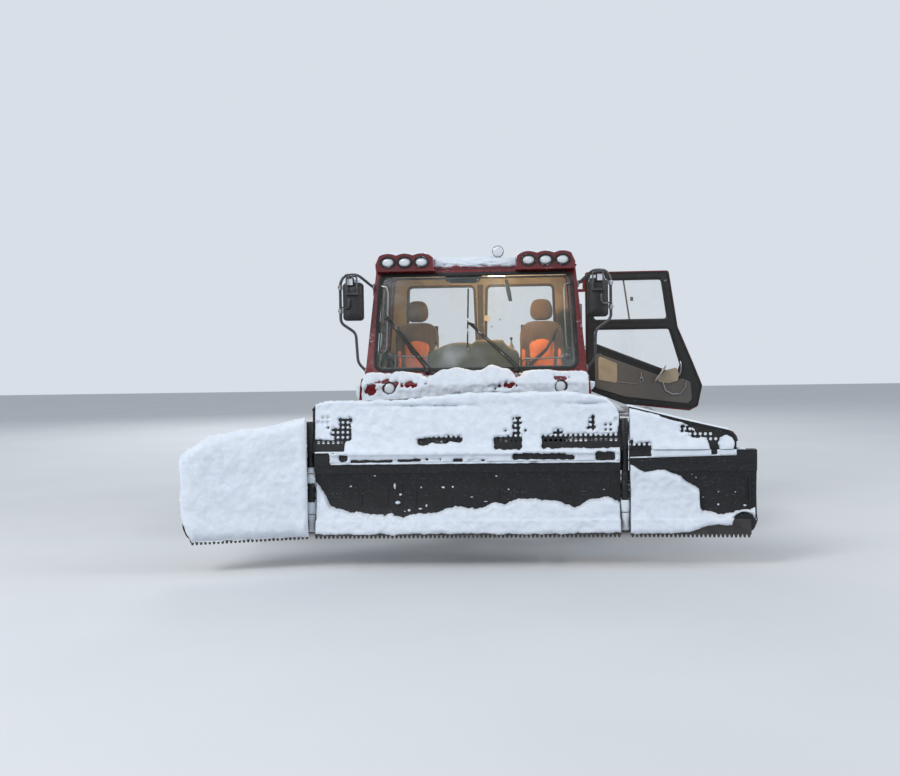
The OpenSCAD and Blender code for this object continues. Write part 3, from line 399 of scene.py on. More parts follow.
def finish(name, colour, rough=0.5, metal=0.0, dark=0.72, mottle=2.5, grain=450, depth=0.00015,
           frost=0.0, frost_up=0.0, worn=None, worn_share=0.0, **inputs):
    """A surface with mottled colour, fine grain, bare worn spots and a dusting of snow."""
    s = Surface(name, rough, metal, **inputs)
    broad = s.noise(mottle, 5)
    fine = s.noise(grain, 3)
    tone = s.mix(s.ramp(broad, 0.3, 0.7), shade(colour, dark), colour)
    gloss = s.ramp(s.noise(mottle * 7, 4), 0.25, 0.75, max(rough - 0.1, 0.02), min(rough + 0.14, 1))
    if worn:
        spots = s.ramp(s.noise(38, 8, (1, 1, 3)), 0.66 - worn_share, 0.7 - worn_share)
        tone = s.mix(spots, tone, worn)
    if frost:
        height = s.calc("ADD", s.noise(7, 6), s.calc("MULTIPLY", s.noise(85, 5), 0.8))
        height = s.calc("ADD", height, s.calc("MULTIPLY", s.up(), frost_up))
        dust = s.ramp(height, 1.28 - frost, 1.4 - frost)
        tone = s.mix(dust, tone, SNOW)
        gloss = s.calc("MAXIMUM", gloss, s.calc("MULTIPLY", dust, 0.85))
        s.bump(dust, 0.0012, 0.7)
    s.colour(tone)
    s.roughness(gloss)
    s.bump(fine, depth, 0.6)
    return s.material


def snow_finish(name):
    s = Surface(name, 0.82, Subsurface_Weight=0.25, Subsurface_Scale=0.02, Sheen_Weight=0.15)
    s.bsdf.inputs["Subsurface Radius"].default_value = (0.5, 0.75, 1.0)
    clumps = s.noise(16, 7)
    s.colour(s.mix(s.ramp(clumps, 0.35, 0.65), shade(SNOW, 0.93), SNOW))
    s.bump(clumps, 0.012, 0.55)
    s.bump(s.noise(140, 6), 0.0022, 0.6)
    s.bump(s.cells(520), 0.0006, 0.5)
    return s.material


def glass_finish(name, tint, share):
    """Clear glass with a bloom of frost. share is how much of it the clear part hides."""
    s = Surface(name, 0.03, Specular_IOR_Level=0.9, IOR=1.5)
    s.material.surface_render_method = "BLENDED"
    bloom = s.calc("ADD", s.noise(2.2, 6), s.calc("MULTIPLY", s.noise(120, 3), 0.25))
    haze = s.ramp(bloom, 0.62, 1.0, share, share + 0.16)
    s.colour(s.mix(s.ramp(bloom, 0.6, 1.0), tint, SNOW))
    s.roughness(s.ramp(bloom, 0.6, 1.0, 0.03, 0.4))
    s.link(haze, s.bsdf.inputs["Alpha"])
    return s.material


def lamp_finish(name, colour, glow=0.0, warm=(1, 1, 1)):
    """A moulded lens with fine vertical flutes."""
    s = Surface(name, 0.12, Specular_IOR_Level=0.8, Emission_Strength=glow, Coat_Weight=0.6)
    s.fill(s.bsdf, Emission_Color=warm)
    flutes = s.waves(26, "X")
    s.colour(s.mix(flutes, shade(colour, 0.8), colour))
    s.bump(flutes, 0.0015, 0.5)
    s.bump(s.cells(90), 0.0008, 0.4)
    return s.material


def cloth_finish(name, colour, second, weave=300):
    """Woven cloth of two yarns."""
    s = Surface(name, 0.86, Sheen_Weight=0.35)
    thread = s.calc("MULTIPLY", s.waves(weave, "X", 1.5), s.waves(weave, "Z", 1.5))
    fleck = s.noise(240, 4)
    yarn = s.mix(s.ramp(fleck, 0.4, 0.62), colour, second)
    s.colour(s.mix(s.ramp(s.noise(5, 4), 0.35, 0.7), yarn, shade(colour, 0.72)))
    s.bump(thread, 0.0006, 0.6)
    s.bump(fleck, 0.0004, 0.4)
    return s.material


def perforated_cloth(name, colour):
    """Smooth seat facing with rows of pin holes."""
    s = Surface(name, 0.6)
    pin = s.ramp(s.cells(85), 0.12, 0.2)
    facing = s.mix(s.ramp(s.noise(9, 5), 0.3, 0.7), colour, shade(colour, 0.75))
    s.colour(s.mix(pin, shade(colour, 0.35), facing))
    s.bump(pin, 0.0008, 0.6)
    s.bump(s.noise(700, 3), 0.0002, 0.5)
    return s.material


RED = (0.150, 0.008, 0.012)
mat = {
    "red": finish("red_paint", RED, 0.26, dark=0.8, frost=0.16, frost_up=0.16, Coat_Weight=0.5,
                  Coat_Roughness=0.12,
                  worn=(0.05, 0.012, 0.012), worn_share=0.03, depth=0.00005),
    "blade": finish("blade_black", (0.007, 0.0075, 0.009), 0.50, 0.1, frost=0.035, frost_up=0.25, mottle=4,
                    worn=(0.040, 0.041, 0.045), worn_share=0.05, depth=0.0003),
    "edge": finish("cutting_steel", (0.075, 0.073, 0.072), 0.45, 0.8, frost=0.12, worn=(0.09, 0.05, 0.03),
                   worn_share=0.05, mottle=8),
    "frame": finish("frame_steel", (0.035, 0.036, 0.04), 0.5, 0.1, frost=0.22, frost_up=0.2,
                    worn=(0.09, 0.06, 0.045), worn_share=0.05),
    "deck": finish("deck_steel", (0.06, 0.062, 0.066), 0.55, 0.3, frost=0.2, frost_up=0.34),
    "rubber": finish("wheel_rubber", (0.022, 0.022, 0.023), 0.78, dark=0.6, frost=0.24, depth=0.0006),
    "seal": finish("black_seal", (0.014, 0.014, 0.015), 0.62, dark=0.7, frost=0.08),
    "alloy": finish("track_bar", (0.50, 0.505, 0.51), 0.42, 0.9, dark=0.7, mottle=9, frost=0.26,
                    frost_up=0.12,
                    worn=(0.30, 0.28, 0.26), worn_share=0.08),
    "steel": finish("bare_steel", (0.42, 0.42, 0.425), 0.36, 0.95, dark=0.75, frost=0.1),
    "chrome": finish("rod_chrome", (0.80, 0.81, 0.82), 0.12, 1.0, dark=0.92, grain=900, depth=0.00002),
    "heat": finish("exhaust_steel", (0.30, 0.25, 0.21), 0.42, 0.9, dark=0.6, mottle=5),
    "cast": finish("engine_iron", (0.10, 0.105, 0.11), 0.6, 0.5, depth=0.0008),
    "plastic": finish("black_plastic", (0.020, 0.020, 0.021), 0.5, grain=260, depth=0.0005, frost=0.12,
                      frost_up=0.2),
    "tube": finish("frosted_tube", (0.33, 0.35, 0.37), 0.5, 0.2, frost=0.5, frost_up=0.3, depth=0.0005),
    "arm": finish("mirror_tube", (0.085, 0.088, 0.093), 0.34, 0.5, frost=0.10, frost_up=0.30, mottle=12),
    "barrel": finish("cylinder_black", (0.022, 0.023, 0.026), 0.36, 0.1, frost=0.2, frost_up=0.1,
                     worn=(0.12, 0.11, 0.1), worn_share=0.03),
    "dash": finish("dash_plastic", (0.115, 0.10, 0.058), 0.62, grain=320, depth=0.0006, dark=0.8),
    "grey_trim": finish("grey_trim", (0.115, 0.108, 0.10), 0.7, grain=280, depth=0.0006, dark=0.85),
    "mat": finish("floor_mat", (0.03, 0.03, 0.03), 0.8, grain=200, depth=0.001),
    "headliner": cloth_finish("headliner", (0.36, 0.30, 0.21), (0.42, 0.35, 0.25)),
    "orange": perforated_cloth("orange_seat", (0.56, 0.155, 0.045)),
    "brown": cloth_finish("brown_seat", (0.075, 0.05, 0.036), (0.12, 0.085, 0.06)),
    "belt": cloth_finish("seat_belt", (0.03, 0.03, 0.03), (0.06, 0.06, 0.06), 1600 / 3),
    "tines": finish("tine_steel", (0.24, 0.235, 0.23), 0.4, 0.9, frost=0.2, worn=(0.14, 0.07, 0.04),
                    worn_share=0.05),
    "comb": finish("comb_plastic", (0.03, 0.031, 0.034), 0.55, grain=300, depth=0.0004, frost=0.06,
                   frost_up=0.05),
    "snow": snow_finish("packed_snow"),
    "glass": glass_finish("window_glass", (0.28, 0.38, 0.38), 0.07),
    "mirror": finish("mirror_glass", (0.62, 0.65, 0.68), 0.05, 1.0, dark=0.95, frost=0.3),
    "lens": lamp_finish("clear_lens", (0.78, 0.80, 0.80)),
    "frosted_lens": lamp_finish("frosted_lens", (0.75, 0.79, 0.84)),
    "red_lens": lamp_finish("red_lens", (0.42, 0.012, 0.01)),
    "reflector": finish("lamp_bowl", (0.78, 0.78, 0.78), 0.12, 1.0, dark=0.9),
    "dome": lamp_finish("dome_lamp", (1.0, 0.85, 0.6), 12.0, (1.0, 0.78, 0.45)),
    "screen": lamp_finish("dash_screen", (0.05, 0.06, 0.07), 0.5, (0.25, 0.45, 0.5)),
    "white": finish("white_card", (0.72, 0.71, 0.68), 0.7),
}


def dress(material, *names):
    """Gives the frame's own solids a material."""
    for name in names:
        coat(nodes[name].data, material, 30)


dress("frame", "main_frame", "bulkheads", "wheel_axles", "push_frame", "swing_carrier", "tiller_frame",
      "platform_rails")
dress("rubber", "road_wheels", "idler_wheels")
dress("plastic", "drive_sprockets", "mirrors", "wipers")
dress("deck", "step_decks", "load_platform", "fuel_tank")
dress("mat", "cab_floor")
dress("red", "cab_nose", "cab_frame", "cab_rear_wall", "cab_roof", "lamp_pods", "engine_panels",
      "tiller_housing",
      "door_left", "door_right")
dress("glass", "windscreen", "rear_windows", "door_left_glass", "door_right_glass")
dress("lens", "roof_lamps", "headlamps")
dress("red_lens", "tail_lamps")
dress("tube", "mirror_arms")
dress("dash", "dashboard")
dress("cast", "engine_block")
dress("heat", "exhaust")
dress("blade", "blade_centre", "blade_wing_left", "blade_wing_right")
dress("tines", "tiller_rotor")
dress("barrel", *[n for n in nodes if "barrel" in n])
dress("chrome", *[n for n in nodes if n.endswith("_rod") or "_rod_" in n or n == "lift_rods"])
for name in ("push_frame", "swing_carrier", "tiller_frame", "main_frame", "bulkheads", "load_platform",
             "fuel_tank"):
    chamfer(nodes[name], 0.004)


# Stage, light and camera


def ground():
    flat = Build().box((-40, -40, -0.05), (40, 40, 0))
    mesh = bpy.data.meshes.new("floor")
    mesh.from_pydata([tuple(v) for v in flat.v], [], flat.f)
    s = Surface("pale_floor", 0.9)
    s.colour(s.mix(s.ramp(s.noise(0.6, 4), 0.2, 0.8), (0.60, 0.62, 0.645), (0.63, 0.65, 0.67)))
    mesh.materials.append(s.material)
    floor = bpy.data.objects.new("floor", mesh)
    bpy.context.scene.collection.objects.link(floor)


def sky():
    world = bpy.data.worlds.new("studio")
    bpy.context.scene.world = world
    world.use_nodes = True
    tree = world.node_tree
    back = tree.nodes["Background"]
    path = tree.nodes.new("ShaderNodeLightPath")
    seen = tree.nodes.new("ShaderNodeMath")
    seen.operation = "MAXIMUM"
    tree.links.new(path.outputs["Is Camera Ray"], seen.inputs[0])
    tree.links.new(path.outputs["Is Transmission Ray"], seen.inputs[1])
    level = tree.nodes.new("ShaderNodeMapRange")
    level.inputs["To Min"].default_value = 0.62
    level.inputs["To Max"].default_value = 0.80
    tree.links.new(seen.outputs[0], level.inputs["Value"])
    tree.links.new(level.outputs["Result"], back.inputs["Strength"])
    back.inputs["Color"].default_value = (0.86, 0.92, 1.0, 1)


def lamp(name, kind, at, aim, power, size, colour=(1, 1, 1)):
    data = bpy.data.lights.new(name, kind)
    data.energy = power
    data.color = colour
    if kind == "AREA":
        data.size = size
    else:
        data.shadow_soft_size = size
    obj = bpy.data.objects.new(name, data)
    obj.location = at
    obj.rotation_mode = "QUATERNION"
    obj.rotation_quaternion = (Vector(aim) - Vector(at)).to_track_quat("-Z", "Y")
    bpy.context.scene.collection.objects.link(obj)
    return obj


def studio():
    lamp("key", "AREA", (-9, -14, 11), (0, -1, 1), 1500, 7)
    lamp("side", "AREA", (13, -6, 8), (0, 0, 1), 650, 7)
    lamp("back", "AREA", (-4, 15, 10), (0, 2, 1), 900, 8)


LENS_PX, WIDTH_PX = 1200, 900
EYE = Vector((0.50, -13.55, 1.75))
HEADING, PITCH, ROLL = math.radians(3.7), math.radians(1.81), math.radians(0.9)


def camera():
    """The photo's view. WIDTH_PX is the photo's width, LENS_PX the focal length in the same units."""
    data = bpy.data.cameras.new("view")
    data.sensor_width = 36
    data.lens = LENS_PX / WIDTH_PX * data.sensor_width
    data.clip_end = 200
    ahead = Vector((-math.sin(HEADING) * math.cos(PITCH), math.cos(HEADING) * math.cos(PITCH),
                    -math.sin(PITCH)))
    right = ahead.cross(Vector(Z)).normalized()
    up = right.cross(ahead)
    up, right = up * math.cos(ROLL) + right * math.sin(ROLL), right * math.cos(ROLL) - up * math.sin(ROLL)
    obj = bpy.data.objects.new("view", data)
    turn = Matrix((right, up, -ahead)).transposed().to_4x4()
    obj.matrix_world = Matrix.Translation(EYE) @ turn
    bpy.context.scene.collection.objects.link(obj)
    bpy.context.scene.camera = obj
    bpy.context.scene.view_settings.view_transform = "Standard"


ground()
sky()
studio()
camera()


# Snow: a crust with a rounded, broken edge, laid on a surface


LEAST_LIFT, BACK_LIFT, RIM_LIFT = 0.0012, 0.0002, 0.0004
HINGE_GAP, HINGE_LIFT, HINGE_FAN = 0.040, 0.050, 1.19


def by_hinge(point, seat_y):
    """Near its hinge the snow of a wing stands lower, so that the wing can fold."""
    x, y, z = point
    ahead = max(HINGE_LIFT + HINGE_FAN * (x - FOLD_X), FOLD_Y - seat_y + 0.010)
    return (x, max(y, FOLD_Y - ahead), z)


def crust(name, body, place, span, rise, step, cover, full, edge=0.035, turn=None, seat=None):
    """A layer of snow. place(u, v, t) lifts a point by t off the surface, cover is the distance inside the
    edge and full the thickness. seat lays the crust's back, where that isn't the surface below it."""
    seat = seat or place
    on_wing = body.startswith("wing")
    nu = max(2, round((span[1] - span[0]) / step))
    nv = max(2, round((rise[1] - rise[0]) / step))
    us = [span[0] + (span[1] - span[0]) * i / nu for i in range(nu + 1)]
    vs = [rise[0] + (rise[1] - rise[0]) * j / nv for j in range(nv + 1)]
    deep = [[cover(u, v) for v in vs] for u in us]
    inside = {(i, j) for i in range(nu + 1) for j in range(nv + 1) if deep[i][j] > 0}
    rim = {}
    for i, j in inside:
        for p, q in ((i + 1, j), (i - 1, j), (i, j + 1), (i, j - 1)):
            if 0 <= p <= nu and 0 <= q <= nv and (p, q) not in inside:
                share = deep[i][j] / (deep[i][j] - deep[p][q])
                rim.setdefault((p, q), []).append((us[i] + (us[p] - us[i]) * share,
                                                   vs[j] + (vs[q] - vs[j]) * share))
    verts, front, back = [], {}, {}
    for i, j in inside:
        u, v = us[i], vs[j]
        on_side = i in (0, nu) or j in (0, nv)
        share = min(deep[i][j] / edge, 1.0)
        lift = 0.0 if on_side else full(u, v) * math.sqrt(1 - (1 - share) ** 2)
        front[i, j] = len(verts)
        top = place(u, v, max(lift, LEAST_LIFT))
        verts.append(by_hinge(top, seat(u, v, 0)[1]) if on_wing else top)
        back[i, j] = len(verts)
        verts.append(seat(u, v, BACK_LIFT))
    for key, spots in rim.items():
        u = sum(s[0] for s in spots) / len(spots)
        v = sum(s[1] for s in spots) / len(spots)
        front[key] = back[key] = len(verts)
        verts.append(seat(u, v, RIM_LIFT))
    faces = []
    sides = {}
    for i in range(nu):
        for j in range(nv):
            ring = [k for k in ((i, j), (i + 1, j), (i + 1, j + 1), (i, j + 1)) if k in front]
            if len(ring) < 3 or not any(k in inside for k in ring):
                continue
            faces.append([front[k] for k in ring])
            faces.append([back[k] for k in reversed(ring)])
            for a, b in zip(ring, ring[1:] + ring[:1]):
                key = (min(a, b), max(a, b))
                sides[key] = None if key in sides else (a, b)
    for a, b in filter(None, sides.values()):
        quad = [front[b], front[a], back[a], back[b]]
        faces.append([k for n, k in enumerate(quad) if k not in quad[:n]])
    return Build().add(verts, [f for f in faces
                               if len(f) > 2]).done(name, "snow", body=body, place=turn, angle=75)


def oval_patch(u, v, cu, cv, ru, rv, ragged=0.012):
    """Distance outside a ragged bare oval: negative within it."""
    d = math.hypot((u - cu) / ru, (v - cv) / rv) - 1
    return d * min(ru, rv) + rough(u, v, 3.1, 26) * ragged


def block_patch(u, v, low, high, ragged=0.012):
    """Distance outside a ragged bare rectangle with rounded corners."""
    r = min(0.018, (high[0] - low[0]) * 0.4, (high[1] - low[1]) * 0.4)
    du = max(low[0] - u, u - high[0]) + r
    dv = max(low[1] - v, v - high[1]) + r
    d = min(max(du, dv), 0) + math.hypot(max(du, 0), max(dv, 0)) - r
    return d + (rough(u, v, 7.7, 24) + 0.6 * rough(u, v, 2.7, 9)) * ragged


# Blade


EDGE_H, EDGE_SLOPE, EDGE_PITCH, TEETH_Z, TOOTH_H = 0.105, 0.18, 0.034, BLADE_Z - 0.038, 0.024
PLATE_TOP, SEAM_Z = 1.352, 0.592


def mold_y(z):
    """Depth of the moldboard's face at height z."""
    low, high = BLADE_Z + 0.020, MOLD_TOP
    chord = high - low
    r = (chord * chord / 4 + FACE_DIP ** 2) / 2 / FACE_DIP
    off = min(abs(z - (low + high) / 2), chord / 2)
    return FACE_Y - r + FACE_DIP + math.sqrt(r * r - off * off)


def guard_y(z):
    """Depth of the leaning guard at height z."""
    return FACE_Y + 0.020 + GUARD_LEAN * (z - BEAM_TOP) / (GUARD_TOP - BEAM_TOP)


def on_mold(u, v, t):
    face = mold_y(v)
    if v < BLADE_Z + EDGE_H:
        face = min(face, FACE_Y - 0.033 + (v - BLADE_Z) * EDGE_SLOPE)
    return (u, face - t, v)


def on_beam(u, v, t):
    return (u, FACE_Y - t, v)


def on_guard(u, v, t):
    return (u, guard_y(v) - t, v)


def smooth(share):
    """A share held between 0 and 1, with its ends eased."""
    share = max(0.0, min(1.0, share))
    return share * share * (3 - 2 * share)


def on_front(u, v, t):
    """The beam's and the guard's face as one smooth surface."""
    share = smooth((v - BEAM_TOP + 0.020) / 0.060)
    return (u, FACE_Y + (guard_y(v) - FACE_Y) * share - t, v)


def on_front_iron(u, v, t):
    """The same faces with the ledge between them."""
    return (u, (guard_y(v) if v > BEAM_TOP else FACE_Y) - t, v)


def in_guard(u, v, d):
    return (u, guard_y(v) + GUARD_T / 2 + d, v)


HOLE_R, HOLE_STEP, HOLES_FROM = 0.0125, 0.040, BEAM_TOP + 0.085


def hole_rows(low, high, top):
    """Centres of the guard's holes between x low and high, under the line top(x). Its foot is unpierced."""
    count = int((high - low) / HOLE_STEP)
    start = (low + high - count * HOLE_STEP) / 2
    spots = []
    for i in range(count + 1):
        x = start + i * HOLE_STEP
        z = HOLES_FROM
        while z < top(x) - 0.045:
            spots.append((x, z))
            z += HOLE_STEP
    return spots


def guard_plate(name, body, outline, spots, node, gussets, turn=None):
    """A pierced plate with a bar along its rim and gussets behind it, given by their x and height."""
    b = Build()
    b.plate([outline] + [oval(x, z, HOLE_R, HOLE_R, 10) for x, z in spots], in_guard, GUARD_T * 0.55)
    b.tube([on_guard(u, v, -GUARD_T / 2) for u, v in outline[1:-1]], 0.013, 10)
    for x, height in gussets:
        y, top = guard_y(BEAM_TOP + height), BEAM_TOP + height
        b.prism([(FACE_Y + 0.026, BEAM_TOP), (FACE_Y + 0.118, BEAM_TOP),
                 (y + 0.05, BEAM_TOP + height * 0.92),
                 (y + 0.012, top)], along_x, x - 0.006, x + 0.006)
    low, high = min(p[0] for p in outline), max(p[0] for p in outline)
    b.box((low, FACE_Y + 0.012, BEAM_TOP), (high, FACE_Y + 0.045, BEAM_TOP + 0.016))
    made = b.done(name, "blade", "blade_black", body, place=turn)
    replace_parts(made, node)


def cutting_edge(name, body, low, high, turn=None):
    """A bolted steel edge with teeth along its foot."""
    b = Build()
    count = round((high - low) / EDGE_PITCH)
    pitch = (high - low) / count
    outline = [(low, BLADE_Z + EDGE_H)]
    for i in range(count):
        x = low + i * pitch
        outline += [(x, TEETH_Z + TOOTH_H), (x + pitch * 0.22, TEETH_Z), (x + pitch * 0.6, TEETH_Z),
                    (x + pitch * 0.82, TEETH_Z + TOOTH_H)]
    outline += [(high, TEETH_Z + TOOTH_H), (high, BLADE_Z + EDGE_H)]

    def lay(u, v, d):
        return (u, FACE_Y - 0.026 + (v - BLADE_Z) * EDGE_SLOPE + d, v)

    b.plate([outline], lay, 0.012)
    x = low + 0.07
    while x < high - 0.05:
        b.bolt(lay(x, BLADE_Z + 0.055, -0.006), (0, -1, 0.1), 0.013, 0.008)
        b.bolt(lay(x, BLADE_Z + 0.085, -0.006), (0, -1, 0.1), 0.009, 0.006)
        x += 0.152
    b.done(name, "edge", "tine_steel", body, place=turn)


def stiffeners(name, body, low, high, turn=None):
    """Seams, rows of countersunk bolts and slotted straps on the moldboard and its top beam."""
    b = Build()
    for x in (low + (high - low) * k for k in (0.0, 0.278, 0.545, 0.82)):
        levels = [BLADE_Z + 0.11 + (MOLD_TOP - BLADE_Z - 0.115) * k / 12 for k in range(13)]
        strip = ((0.003, -0.003), (0.021, -0.003), (0.021, 0.004), (0.003, 0.004))
        b.loft([[(x + w, mold_y(z) + d, z) for w, d in strip] for z in levels])
    b.box((low, mold_y(SEAM_Z) - 0.002, SEAM_Z), (high, mold_y(SEAM_Z) + 0.004, SEAM_Z + 0.006))
    x = low + 0.06
    while x < high - 0.03:
        for z in (0.735, SEAM_Z + 0.05):
            b.lathe([(0.004, 0.011), (0, 0.011), (-0.002, 0.007)], (x, mold_y(z), z), Y, 12)
        x += 0.21
    b.box((low, FACE_Y - 0.006, MOLD_TOP - 0.004), (high, FACE_Y + 0.004, MOLD_TOP + 0.012))
    b.box((low, FACE_Y - 0.004, BEAM_TOP - 0.012), (high, FACE_Y + 0.012, BEAM_TOP + 0.002))
    b.done(name, "blade", "blade_black", body, place=turn, bevel=0.0015)


def wing_turn(side):
    """From the place of a straight wing on the left to that of a folded one."""
    angle = FOLD_LEFT if side > 0 else FOLD_RIGHT
    pivot = Matrix.Translation((FOLD_X, FOLD_Y, 0))
    turn = pivot @ Matrix.Rotation(-angle, 4, "Z") @ pivot.inverted()
    return turn if side > 0 else MIRRORED @ turn


WING_IN = FOLD_X + 0.036
GUARD_END = 1.250


def wing_top(x):
    """Height of a wing's guard at x."""
    return between([(FOLD_X - 0.044, 1.285), (FOLD_X + 0.200, 1.226), (FOLD_X + 0.432, 1.165),
                    (FOLD_X + 0.835, 1.070),
                    (FOLD_X + 0.880, 1.000)], x)


def blade_guard():
    """The plate over the blade's middle. Returns the places of its holes."""
    end = GUARD_END
    top = [(-end, PLATE_TOP - 0.080), (-end + 0.025, PLATE_TOP - 0.050), (-end + 0.09, PLATE_TOP - 0.030),
           (-0.6, PLATE_TOP - 0.008), (0.0, PLATE_TOP + 0.020), (0.80, PLATE_TOP + 0.020),
           (1.02, PLATE_TOP), (1.10, PLATE_TOP - 0.017), (1.16, PLATE_TOP - 0.052),
           (1.20, PLATE_TOP - 0.107), (1.225, PLATE_TOP - 0.17),
           (end - 0.008, PLATE_TOP - 0.25), (end, PLATE_TOP - 0.32)]
    outline = [(-end, BEAM_TOP)] + top + [(end, BEAM_TOP)]
    line = [(1.10, PLATE_TOP - 0.017), (1.16, PLATE_TOP - 0.052), (1.20, PLATE_TOP - 0.107),
            (end, PLATE_TOP - 0.25)]
    spots = hole_rows(-end + 0.04, end - 0.04, lambda x: between(line, x))
    guard_plate("guard_plate", "blade", outline, spots, "blade_guard",
                [(x, 0.33) for x in (-1.0, -0.35, 0.35, 1.0)])
    return spots


def wing_iron(side):
    """A wing's guard, edge and seams. Returns the places of the guard's holes."""
    body = "wing_left" if side > 0 else "wing_right"
    node = "wing_guard_left" if side > 0 else "wing_guard_right"
    turn = wing_turn(side)
    drop = 0.0 if side > 0 else 0.035
    corners = ((0.200, 1.226, 1.8, 0), (0.432, 1.165, 1, 0), (0.810, 1.074, 1, 1), (0.845, 1.060, 1, 1),
               (0.868, 1.030, 1, 1), (0.876, 0.995, 1, 1), (0.874, BEAM_TOP, 0, 1))
    outline = [(WING_IN, BEAM_TOP), (WING_IN, wing_top(WING_IN) - 2 * drop)]
    outline += [(FOLD_X + x - back * drop, z - down * drop) for x, z, down, back in corners]
    spots = hole_rows(WING_IN + 0.03, FOLD_X + 0.845 - drop, lambda x: wing_top(x) - 2 * drop)
    guard_plate(body + "_guard_plate", body, outline, spots, node,
                [(WING_IN + 0.188, 0.15), (WING_IN + 0.728, 0.14)], turn)
    cutting_edge(body + "_edge", body, WING_IN + 0.004, WING_END - 0.052, turn)
    stiffeners(body + "_seams", body, WING_IN + 0.002, WING_END - 0.03, turn)
    return spots


guard_spots = blade_guard()
cutting_edge("blade_edge", "blade", -1.232, 1.232)
stiffeners("blade_seams", "blade", -1.228, 1.228)
left_spots = wing_iron(1)
wing_iron(-1)


# Bare stretches of the guard, by their lowest and highest corners
BARE_GUARD = [((-1.30, 0.936), (-0.985, 1.040)), ((-1.30, 0.96), (-1.240, 1.10)),
              ((-0.395, 0.985), (-0.30, 1.040)),
              ((-0.34, 0.995), (-0.13, 1.052)), ((-0.17, 1.010), (-0.035, 1.062)),
              ((0.225, 0.945), (0.335, 1.045)), ((0.315, 0.945), (0.452, 1.060)),
              ((0.605, 0.948), (0.78, 1.060)), ((0.70, 0.952), (1.30, 1.066)),
              ((1.225, 0.95), (1.30, 1.15))]
# Stretches where snow fills the holes of a bare guard: lowest and highest corners
PLUGGED = [((-1.04, 1.03), (-0.93, 1.215)), ((-1.10, 1.03), (-0.93, 1.135)),
           ((0.372, 1.04), (0.445, 1.205)),
           ((0.975, 1.10), (1.035, 1.205)), ((0.70, 1.05), (0.775, 1.10))]
# Open holes in the snow, by their place among the rows
OPEN_HOLES = [(-1.17, 1.20), (-1.13, 1.20), (-1.17, 1.16), (-1.13, 1.16), (-1.13, 1.12), (-1.21, 1.16),
              (-0.90, 1.16),
              (1.13, 1.115), (1.17, 1.115), (1.17, 1.155), (1.21, 1.195), (1.13, 1.155), (0.33, 1.10),
              (0.49, 1.10)]
BARE_BEAM = [((-1.40, 0.80), (-1.105, 0.932)), ((-0.935, 0.848), (-0.60, 0.872)),
             ((-0.66, 0.856), (-0.36, 0.876)),
             ((-0.42, 0.866), (-0.20, 0.880)), ((0.37, 0.866), (0.80, 0.914)),
             ((0.70, 0.862), (0.87, 0.900)), ((1.03, 0.852), (1.19, 0.922)),
             ((-0.10, 0.848), (-0.03, 0.880)), ((0.02, 0.858), (0.16, 0.868)),
             ((-1.03, 0.86), (-0.96, 0.915))]


def near_hole(x, z, spot, near):
    """How far (x, z) is from the hole nearest to near in the rows through spot, and that hole's height."""
    i, j = round((near[0] - spot[0]) / HOLE_STEP), round((near[1] - spot[1]) / HOLE_STEP)
    return math.hypot(x - spot[0] - i * HOLE_STEP, z - spot[1] - j * HOLE_STEP), spot[1] + j * HOLE_STEP


def with_holes(x, z, c, bare, plugged, opened, spot):
    """The cover c less its bare stretches, with snow left in the holes along their upper edges."""
    off, row = near_hole(x, z, spot, (x, z))
    plug = HOLE_R * 0.98 - off
    for low, high in bare:
        gap = block_patch(x, z, low, high, 0.010)
        if row > high[1] - 0.024:
            gap = max(gap, plug)
        c = min(c, gap)
    for low, high in plugged:
        c = min(c, max(block_patch(x, z, low, high, 0.016), plug))
    for at in opened:
        c = min(c, near_hole(x, z, spot, at)[0] - HOLE_R * 0.85)
    return c


def front_cover(x, z):
    """Snow on the guard and on the beam below it."""
    top = between([(-1.27, 1.318), (-1.20, 1.338), (-1.10, 1.350), (-0.9, 1.352), (-0.55, 1.352),
                   (-0.3, 1.375),
                   (0.0, 1.402), (0.6, 1.404), (0.90, 1.398), (1.03, 1.376), (1.09, 1.360), (1.13, 1.344),
                   (1.17, 1.312), (1.205, 1.268), (1.232, 1.21), (1.252, 1.13), (1.266, 1.03)], x)
    c = top + rough(x, z, 0, 11) * 0.010 + rough(x, z, 4, 38) * 0.005 - z
    c = with_holes(x, z, c, BARE_GUARD if z > BEAM_TOP - 0.005 else [], PLUGGED, OPEN_HOLES, guard_spots[0])
    for low, high in BARE_BEAM:
        c = min(c, block_patch(x, z, low, high, 0.007))
    return min(c, oval_patch(x, z, -0.17, 1.300, 0.085, 0.006, 0.004),
               oval_patch(x, z, -0.41, 1.303, 0.07, 0.003, 0.003),
               oval_patch(x, z, 0.985, 1.305, 0.05, 0.004, 0.003))


def front_full(x, z):
    """Its thickness, sagging over the beam and rounded over at the top."""
    sag = 0.014 * math.exp(-((z - 0.95) / 0.05) ** 2) + 0.016 * math.exp(-((z - 1.37) / 0.05) ** 2)
    thin = 0.55 if z < BEAM_TOP - 0.02 else 1.0
    return (0.030 + 0.012 * rough(x, z, 1, 2.6) + 0.005 * rough(x, z, 5, 16) + 0.002
            * rough(x, z, 3, 40)) * thin + sag


# Clots of snow stuck to the bare moldboard: middle, half width and half height
STUCK = [(-0.565, 0.52, 0.022, 0.013), (-0.585, 0.655, 0.010, 0.028), (-0.945, 0.655, 0.009, 0.008),
         (-0.19, 0.64, 0.014, 0.009), (-0.37, 0.642, 0.008, 0.006),
         (0.04, 0.560, 0.020, 0.008), (-0.38, 0.47, 0.016, 0.008),
         (-0.33, 0.495, 0.008, 0.012), (-0.54, 0.585, 0.014, 0.007), (0.155, 0.525, 0.030, 0.006),
         (-0.23, 0.745, 0.010, 0.004)]


